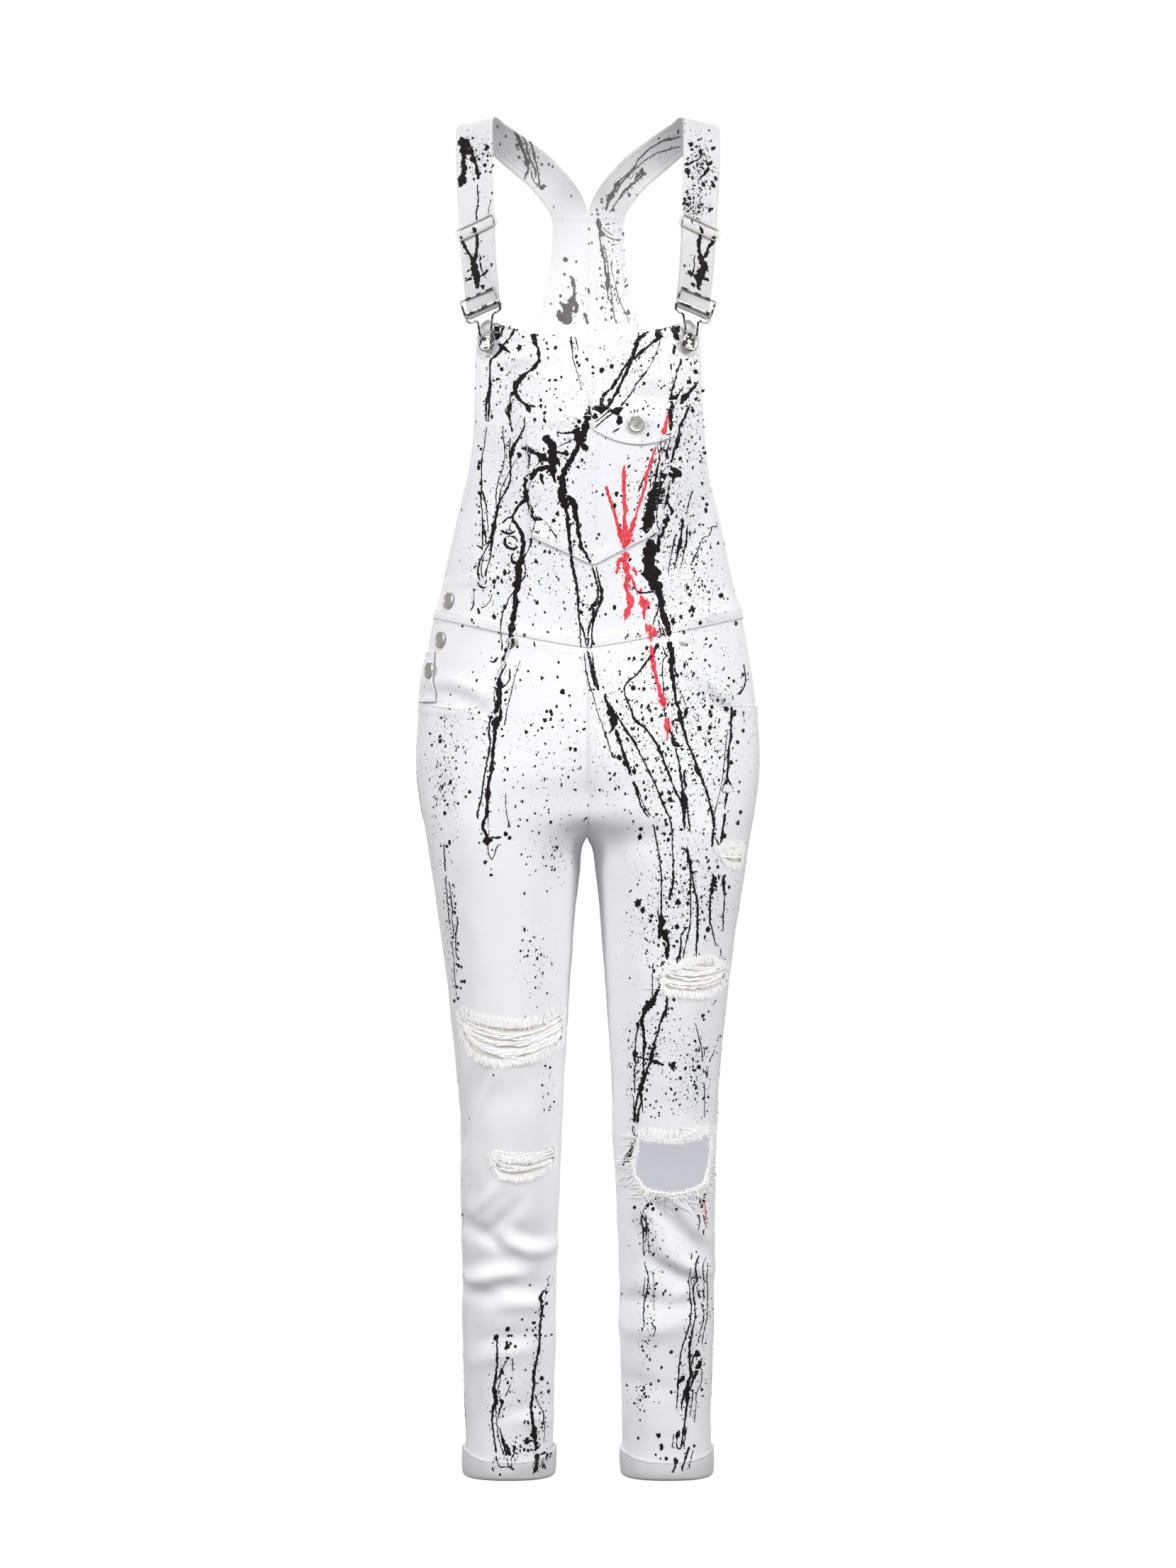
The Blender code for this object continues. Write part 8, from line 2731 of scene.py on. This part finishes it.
# Fine spatter by zone: the middle, half width and half height of the zone, how many drops, their
# usual radius and their lean.
Zone = namedtuple("Zone", "x height across tall count radius lean")
BLACK_ZONES = [
    Zone(-78, -290, 42, 60, 260, 0.34, 0),
    Zone(-60, -385, 60, 55, 260, 0.35, 0),
    Zone(-15, -350, 35, 50, 150, 0.35, 0),
    Zone(-90, -480, 45, 60, 260, 0.36, 0),
    Zone(-30, -480, 50, 60, 220, 0.35, 0),
    Zone(50, -270, 42, 45, 220, 0.34, 20),
    Zone(105, -310, 25, 70, 260, 0.4, 25),
    Zone(82, -390, 42, 55, 420, 0.4, 20),
    Zone(100, -480, 55, 70, 460, 0.42, 22),
    Zone(105, -640, 65, 90, 900, 0.42, 18),
    Zone(38, -640, 50, 90, 340, 0.38, 10),
    Zone(-147, -685, 20, 65, 320, 0.38, 0),
    Zone(-110, -640, 45, 60, 140, 0.36, 0),
    Zone(-40, -690, 48, 80, 190, 0.35, 0),
    Zone(100, -800, 48, 60, 460, 0.4, 10),
    Zone(65, -840, 28, 50, 170, 0.36, 5),
    Zone(72, -960, 42, 45, 240, 0.38, 5),
    Zone(110, -1000, 26, 40, 200, 0.38, 0),
    Zone(47, -1000, 12, 45, 70, 0.36, 0),
    Zone(-141, -850, 9, 72, 160, 0.36, 0),
    Zone(-50, -880, 24, 42, 90, 0.34, 0),
    Zone(-30, -770, 24, 30, 90, 0.34, 0),
    Zone(-38, -1010, 10, 34, 40, 0.34, 0),
    Zone(60, -1160, 14, 40, 60, 0.34, 0),
    Zone(75, -1190, 24, 50, 60, 0.32, 0),
    Zone(60, -1250, 12, 50, 75, 0.34, 0),
    Zone(112, -1290, 14, 50, 100, 0.36, 0),
    Zone(55, -1325, 18, 16, 55, 0.36, 0),
    Zone(-50, -1330, 13, 70, 120, 0.34, 0),
    Zone(-86, -1320, 16, 60, 70, 0.32, 0),
    Zone(-70, -1384, 25, 14, 50, 0.34, 0),
    Zone(-113, -48, 16, 28, 170, 0.36, 0),
    Zone(116, -60, 16, 42, 300, 0.42, 20),
    Zone(108, -105, 14, 18, 140, 0.42, 20),
]
RED_ZONES = [
    Zone(40, -450, 22, 60, 36, 0.34, 10),
    Zone(58, -530, 13, 30, 24, 0.34, 10),
    Zone(75, -610, 13, 40, 20, 0.34, 10),
]
SOAKED_ZONES = [
    Zone(25, -175, 22, 60, 150, 0.4, 12),
    Zone(-15, -205, 22, 26, 36, 0.4, 0),
    Zone(-66, -55, 24, 20, 50, 0.4, -50),
    Zone(45, -78, 20, 22, 36, 0.38, 50),
]
BACK_ZONES = [
    Zone(0, -150, 100, 110, 260, 0.38, 0),
    Zone(0, -400, 120, 150, 600, 0.38, 10),
    Zone(0, -680, 170, 130, 800, 0.38, -10),
    Zone(-85, -1000, 60, 300, 350, 0.36, 0),
    Zone(85, -1000, 60, 300, 350, 0.36, 0),
]
SIDE_ZONES = [Zone(0, -700, 90, 180, 260, 0.36, 0), Zone(0, -1050, 50, 280, 160, 0.36, 0)]
DROP_KINDS = 6


def drop_shapes():
    """Flat drops with an uneven rim, one unit across."""
    rng = np.random.default_rng(3)
    shapes = []
    sides = 7
    for _ in range(DROP_KINDS):
        turn = np.arange(sides) * 2 * math.pi / sides + rng.uniform(0, 1, sides) * 0.4
        reach = 0.5 * rng.uniform(0.7, 1.25, sides)
        rim = [(r * math.cos(a), r * math.sin(a), -0.6) for r, a in zip(reach, turn)]
        shapes.append(([(0, 0, 1), *rim], [[0, 1 + k, 1 + (k + 1) % sides] for k in range(sides)]))
    return shapes


def zone_spots(zones, caster, rng):
    """Spots for spatter, thickest in the middle of each zone."""
    plenty = bpy.context.scene.overalls_paint.plenty
    spots = []
    for zone in zones:
        for _ in range(int(zone.count * plenty)):
            x = zone.x + zone.across * float(np.clip(rng.normal(0, 0.5), -1.3, 1.3))
            z = zone.height + zone.tall * float(np.clip(rng.normal(0, 0.5), -1.3, 1.3))
            found = caster.at(x, z)
            if found is None:
                continue
            place, normal = found
            size = zone.radius * (0.6 + 1.1 * rng.pareto(2.5) + 0.2 * rng.random())
            size = min(size, 4.5 * zone.radius, 2.0)
            long = size * rng.uniform(1.0, 2.3)
            lean = math.radians(zone.lean + rng.normal(0, 24))
            way = (math.sin(lean), 0, math.cos(lean))
            if caster.axis == 0:
                way = (0, math.sin(lean), math.cos(lean))
            extent = (2 * long, 2 * size, 0.16)
            spots.append(Spot(place, way, normal, extent, int(rng.integers(DROP_KINDS))))
    return spots


def wandering_runs(rng, count, low, high, top, foot):
    """Runs for the sides that face away: each drips down from a random place."""
    runs = []
    for _ in range(count):
        x, z = rng.uniform(low, high), rng.uniform(foot, top)
        width = rng.choice((0.9, 1.2, 1.8, 3.0, 5.5), p=(0.18, 0.27, 0.27, 0.18, 0.1))
        slope = rng.normal(0, 0.16)
        points = []
        for _ in range(int(rng.integers(4, 12))):
            points.append((x, z, width * rng.uniform(0.7, 1.4)))
            z -= rng.uniform(10, 26)
            slope = 0.7 * slope + rng.normal(0, 0.12)
            x += slope * 18
            width *= rng.uniform(0.86, 1.06)
        runs.append(points)
    return runs


BACK_SHARE = 1.046  # how much farther from the camera the back is than the bib


def farther(values):
    """Runs or blots in the bib's plane, moved straight away from the camera to the back's."""
    rows = np.reshape(values, (-1, 3))
    moved = rows * BACK_SHARE
    moved[:, 1] = EYE_HEIGHT + (rows[:, 1] - EYE_HEIGHT) * BACK_SHARE
    return moved.ravel()


def make_paint():
    front = Caster(cloth_tree((*CLOTH_PIECES, "rivet_right")))
    film_piece("black_bib_paint", BIB_RUNS, BIB_BLOTS, front, "black_paint", 5)
    film_piece("black_hip_paint", HIP_RUNS, HIP_BLOTS, front, "black_paint", 15)
    film_piece("black_thigh_paint", THIGH_RUNS, THIGH_BLOTS, front, "black_paint", 25)
    film_piece("black_shin_paint", SHIN_RUNS, SHIN_BLOTS, front, "black_paint", 35)
    film_piece("black_strap_paint", STRAP_RUNS, STRAP_BLOTS, front, "black_paint", 45, 9)
    film_piece("red_paint", RED_RUNS, RED_BLOTS, front, "red_paint", 6)
    runs = [farther(run) for run in SOAKED_RUNS]
    film_piece("soaked_paint", runs, farther(SOAKED_BLOTS), front, "soaked_paint", 7, 9)


def make_far_paint():
    """Paint on the back and on both sides."""
    tree = cloth_tree()
    rng = np.random.default_rng(77)
    back = Caster(tree, 1, -1, 0.3)
    runs = wandering_runs(rng, 9, -45, 45, -95, -240)
    runs += wandering_runs(rng, 18, -110, 110, -250, -520)
    runs += wandering_runs(rng, 24, -160, 160, -540, -800)
    for low in (-118, 40):
        runs += wandering_runs(rng, 5, low, low + 78, -20, -60)
    runs += wandering_runs(rng, 14, -130, -40, -800, -1280)
    runs += wandering_runs(rng, 14, 40, 130, -800, -1280)
    blots = [
        (rng.uniform(-150, 150), rng.uniform(-1000, -60), rng.uniform(0.9, 2.2) ** 2)
        for _ in range(90)
    ]
    film_piece("black_back_paint", runs, blots, back, "black_paint", 8)
    for side in (RIGHT, LEFT):
        caster = Caster(tree, 0, -side, 0.8)
        runs = wandering_runs(rng, 18, -10, 60, -560, -1280)
        name = f"black_{side_name(side)}_side_paint"
        film_piece(name, runs, [], caster, "black_paint", 9 + side)


def make_spatter():
    tree = cloth_tree()
    rng = np.random.default_rng(41)
    spots = zone_spots(BLACK_ZONES, Caster(tree), rng)
    spots += zone_spots(BACK_ZONES, Caster(tree, 1, -1, 0.3), rng)
    for side in (RIGHT, LEFT):
        spots += zone_spots(SIDE_ZONES, Caster(tree, 0, -side, 0.7), rng)
    spots_piece("black_spatter", spots, drop_shapes(), "black_paint")
    spots = zone_spots(RED_ZONES, Caster(tree), rng)
    spots_piece("red_spatter", spots, drop_shapes(), "red_paint")
    zones = []
    for zone in SOAKED_ZONES:
        height = EYE_HEIGHT + (zone.height - EYE_HEIGHT) * BACK_SHARE
        zones.append(zone._replace(x=zone.x * BACK_SHARE, height=height))
    spots = zone_spots(zones, Caster(tree), rng)
    spots_piece("soaked_spatter", spots, drop_shapes(), "soaked_paint")


# ----------------------------------------------------------------------------- cut of the cloth

# Each piece's cut with its seam allowance, in metres and square metres, and what it hangs from or
# lies on. A tube is cut as what shows of it, all round.
Cut = namedtuple("Cut", "name width length area held rests_on")
CUTS = [
    Cut("bib", 0.455, 0.35, 0.101, "hung", ("strap_front_left", "strap_front_right")),
    Cut("back", 0.45, 0.51, 0.092, "hung", ("strap_back_left", "strap_back_right")),
    Cut("bib_pocket", 0.175, 0.17, 0.0235, "laid", ("bib",)),
    Cut("bib_pocket_flap", 0.105, 0.06, 0.0048, "laid", ("bib_pocket",)),
    Cut("side_placket", 0.07, 0.065, 0.0038, "laid", ("back_leg_right",)),
    Cut("front_leg_right", 0.325, 0.95, 0.186, "hung", ("bib",)),
    Cut("front_leg_left", 0.325, 0.95, 0.188, "hung", ("bib",)),
    Cut("back_leg_right", 0.32, 1.0, 0.203, "hung", ("back",)),
    Cut("back_leg_left", 0.32, 1.0, 0.203, "hung", ("back",)),
    Cut("pocket_facing_right", 0.185, 0.13, 0.0185, "hung", ("bib",)),
    Cut("pocket_facing_left", 0.155, 0.125, 0.015, "hung", ("bib",)),
    Cut("cuff_right", 0.345, 0.038, 0.0125, "folded", ("front_leg_right",)),
    Cut("cuff_left", 0.345, 0.038, 0.0125, "folded", ("front_leg_left",)),
    Cut("strap_front_right", 0.046, 0.27, 0.0122, "hung", ("strap_back_right",)),
    Cut("strap_front_left", 0.046, 0.27, 0.0122, "hung", ("strap_back_left",)),
    Cut("strap_back_right", 0.046, 0.345, 0.0155, "hung", ()),
    Cut("strap_back_left", 0.046, 0.345, 0.0155, "hung", ()),
]


def declare_sheets():
    """Looks up in PIECES the pieces that every cut rests on and the tear pieces that lie on each
    leg; nothing more is done with them.
    """
    with_pieces = {}
    for tear in TEARS:
        parts = [f"{tear.name}_fringe", f"{tear.name}_yarns", f"{tear.name}_backing"]
        with_pieces.setdefault(tear.leg, []).extend(part for part in parts if part in PIECES)
    for cut in CUTS:
        [PIECES[other] for other in cut.rests_on]
        [PIECES[part] for part in with_pieces.get(cut.name, [])]


# -------------------------------------------------------------------------------------- stage


# Lamps as place and width in metres, power in watts and spread in degrees.
Lamp = namedtuple("Lamp", "name place power width spread")
LAMPS = [
    Lamp("key_light", (0.8, -4.4, 3.6), 3.6, 1.1, 28),
    Lamp("left_light", (4.4, -3.4, 2.0), 178, 1.4, 180),
    Lamp("right_light", (-4.4, -3.4, 2.0), 184, 1.4, 180),
    Lamp("back_light", (-1.6, 4.8, 3.0), 170, 1.6, 180),
]
LAMP_TARGET = (0, 0, -0.85)
FLOOR_LEVEL = -1620
FLOOR_FROM, FLOOR_TO = Vector((-1500, -1500)), Vector((1500, 500))
SENSOR_HEIGHT = 24
EYE_DISTANCE, VIEW_HEIGHT = 4.5, 1.63688  # metres to the straps' plane, and its height in view


def make_stage():
    stage = bpy.context.scene.overalls_stage
    scene = bpy.context.scene
    scene.view_settings.view_transform = "Standard"
    scene.view_settings.look = "None"
    world = bpy.data.worlds.new("soft_light")
    scene.world = world
    world.use_nodes = True
    tree = world.node_tree
    tree.nodes.clear()
    path = node(tree, "ShaderNodeLightPath")
    seen = node(
        tree,
        "ShaderNodeMath",
        [(0, path.outputs["Is Camera Ray"]), (1, path.outputs["Is Transmission Ray"])],
        operation="MAXIMUM",
    )
    soft = node(tree, "ShaderNodeBackground", [("Color", (1, 1, 1, 1)), ("Strength", stage.fill)])
    shown = node(tree, "ShaderNodeBackground", [("Color", (*stage.ground, 1)), ("Strength", 1.0)])
    mixed = node(tree, "ShaderNodeMixShader", [(0, seen.outputs[0])])
    tree.links.new(soft.outputs[0], mixed.inputs[1])
    tree.links.new(shown.outputs[0], mixed.inputs[2])
    node(tree, "ShaderNodeOutputWorld", [("Surface", mixed.outputs[0])])
    for row in LAMPS:
        light = bpy.data.lights.new(row.name, "AREA")
        light.shape, light.size = "DISK", row.width
        light.energy = stage.key * row.power
        light.spread = math.radians(row.spread)
        lamp = bpy.data.objects.new(row.name, light)
        lamp.location = row.place
        aim = Vector(LAMP_TARGET) - Vector(row.place)
        lamp.rotation_euler = aim.to_track_quat("-Z", "Y").to_euler()
        scene.collection.objects.link(lamp)
    low, high = FLOOR_FROM, FLOOR_TO
    corners = ((low.x, low.y), (high.x, low.y), (high.x, high.y), (low.x, high.y))
    floor = mesh_from(
        "floor", [(x, y, FLOOR_LEVEL) for x, y in corners], [[0, 1, 2, 3]], smooth=False
    )
    ground = bpy.data.materials.new("ground")
    ground.use_nodes = True
    shader = ground.node_tree.nodes["Principled BSDF"]
    shader.inputs["Roughness"].default_value = 0.95
    seen = node(ground.node_tree, "ShaderNodeLightPath").outputs["Is Camera Ray"]
    shade = ramp(ground.node_tree, seen, [(0, (0.12, 0.12, 0.12)), (1, tuple(stage.ground))])
    ground.node_tree.links.new(shade, shader.inputs["Base Color"])
    floor.materials.append(ground)
    plane = bpy.data.objects.new("floor", floor)
    scene.collection.objects.link(plane)
    camera = bpy.data.cameras.new("camera")
    camera.type, camera.sensor_fit = "PERSP", "VERTICAL"
    camera.sensor_height = SENSOR_HEIGHT
    camera.lens = SENSOR_HEIGHT * EYE_DISTANCE / VIEW_HEIGHT
    eye = bpy.data.objects.new("camera", camera)
    eye.location = (0, -EYE_DISTANCE, EYE_HEIGHT * MM)
    eye.rotation_euler = (math.radians(90), 0, 0)
    scene.collection.objects.link(eye)
    scene.camera = eye


# -------------------------------------------------------------------------------- add-on parts


class OVERALLS_OT_bib_and_back(bpy.types.Operator):
    """Sews the bib and the back panel"""

    bl_idname = "overalls.bib_and_back"
    bl_label = "Bib and back"

    def execute(self, context):
        make_bib()
        make_back()
        return {"FINISHED"}


class OVERALLS_OT_legs(bpy.types.Operator):
    """Sews the leg panels"""

    bl_idname = "overalls.legs"
    bl_label = "Legs"

    def execute(self, context):
        for side in (RIGHT, LEFT):
            make_front_leg(side)
            make_back_leg(side)
        return {"FINISHED"}


class OVERALLS_OT_pockets(bpy.types.Operator):
    """Sews the bib pocket, its flap, the hip pockets' facings and the buttoned placket"""

    bl_idname = "overalls.pockets"
    bl_label = "Pockets and placket"

    def execute(self, context):
        make_pockets()
        return {"FINISHED"}


class OVERALLS_OT_cuffs(bpy.types.Operator):
    """Turns up the hems"""

    bl_idname = "overalls.cuffs"
    bl_label = "Turn-ups"

    def execute(self, context):
        for side in (RIGHT, LEFT):
            make_cuff(side)
        return {"FINISHED"}


class OVERALLS_OT_straps(bpy.types.Operator):
    """Makes the straps with their buckles and sliders"""

    bl_idname = "overalls.straps"
    bl_label = "Straps, buckles and sliders"

    def execute(self, context):
        for side in (RIGHT, LEFT):
            line = StrapLine(side)
            make_strap(f"strap_front_{side_name(side)}", line, front_strap_route())
            ends = [(between(SHOULDER_SEAM + 0.2, line.length - 0.1, v), 0.0) for v in shares(60)]
            make_strap(f"strap_back_{side_name(side)}", line, ends)
            make_buckle(side, line)
            make_slider(side, line)
        return {"FINISHED"}


class OVERALLS_OT_buttons(bpy.types.Operator):
    """Sets the buttons and rivets"""

    bl_idname = "overalls.buttons"
    bl_label = "Buttons and rivets"

    def execute(self, context):
        make_buttons()
        return {"FINISHED"}


class OVERALLS_OT_tears(bpy.types.Operator):
    """Cuts the tears and frays them"""

    bl_idname = "overalls.tears"
    bl_label = "Tears"

    def execute(self, context):
        make_tears()
        return {"FINISHED"}


class OVERALLS_OT_stitches(bpy.types.Operator):
    """Runs the stitches along the seams and hems"""

    bl_idname = "overalls.stitches"
    bl_label = "Stitches"

    def execute(self, context):
        make_stitches()
        return {"FINISHED"}


class OVERALLS_OT_paint(bpy.types.Operator):
    """Lets the runs and blots of paint down the cloth"""

    bl_idname = "overalls.paint"
    bl_label = "Runs of paint"

    def execute(self, context):
        make_paint()
        make_far_paint()
        return {"FINISHED"}


class OVERALLS_OT_spatter(bpy.types.Operator):
    """Throws the fine spatter"""

    bl_idname = "overalls.spatter"
    bl_label = "Fine spatter"

    def execute(self, context):
        make_spatter()
        return {"FINISHED"}


class OVERALLS_OT_cut(bpy.types.Operator):
    """Looks up the pieces that every flat cut rests on"""

    bl_idname = "overalls.cut"
    bl_label = "Flat cuts"

    def execute(self, context):
        declare_sheets()
        return {"FINISHED"}


class OVERALLS_OT_stage(bpy.types.Operator):
    """Sets the floor, the lamps and the camera"""

    bl_idname = "overalls.stage"
    bl_label = "Stage"

    def execute(self, context):
        make_stage()
        return {"FINISHED"}


OPERATORS = (
    OVERALLS_OT_bib_and_back,
    OVERALLS_OT_legs,
    OVERALLS_OT_pockets,
    OVERALLS_OT_cuffs,
    OVERALLS_OT_straps,
    OVERALLS_OT_buttons,
    OVERALLS_OT_tears,
    OVERALLS_OT_stitches,
    OVERALLS_OT_paint,
    OVERALLS_OT_spatter,
    OVERALLS_OT_cut,
    OVERALLS_OT_stage,
)
SETTINGS = {
    "overalls_cloth": OverallsCloth,
    "overalls_tears": OverallsTears,
    "overalls_metal": OverallsMetal,
    "overalls_paint": OverallsPaint,
    "overalls_stage": OverallsStage,
}


class OVERALLS_PT_sidebar(bpy.types.Panel):
    """Lists the steps that dress the overalls"""

    bl_idname = "OVERALLS_PT_sidebar"
    bl_label = "Spattered overalls"
    bl_space_type = "VIEW_3D"
    bl_region_type = "UI"
    bl_category = "Overalls"

    def draw(self, context):
        for key, group in SETTINGS.items():
            box = self.layout.box()
            for name in group.__annotations__:
                box.prop(getattr(context.scene, key), name)
        for operator in OPERATORS:
            self.layout.operator(operator.bl_idname)


CLASSES = (*SETTINGS.values(), *OPERATORS, OVERALLS_PT_sidebar)


def register():
    for each in CLASSES:
        bpy.utils.register_class(each)
    for key, group in SETTINGS.items():
        setattr(bpy.types.Scene, key, bpy.props.PointerProperty(type=group))


def unregister():
    for key in SETTINGS:
        delattr(bpy.types.Scene, key)
    for each in reversed(CLASSES):
        bpy.utils.unregister_class(each)


def main():
    register()
    for operator in OPERATORS:
        group, name = operator.bl_idname.split(".")
        getattr(getattr(bpy.ops, group), name)()


if __name__ == "__main__":
    main()
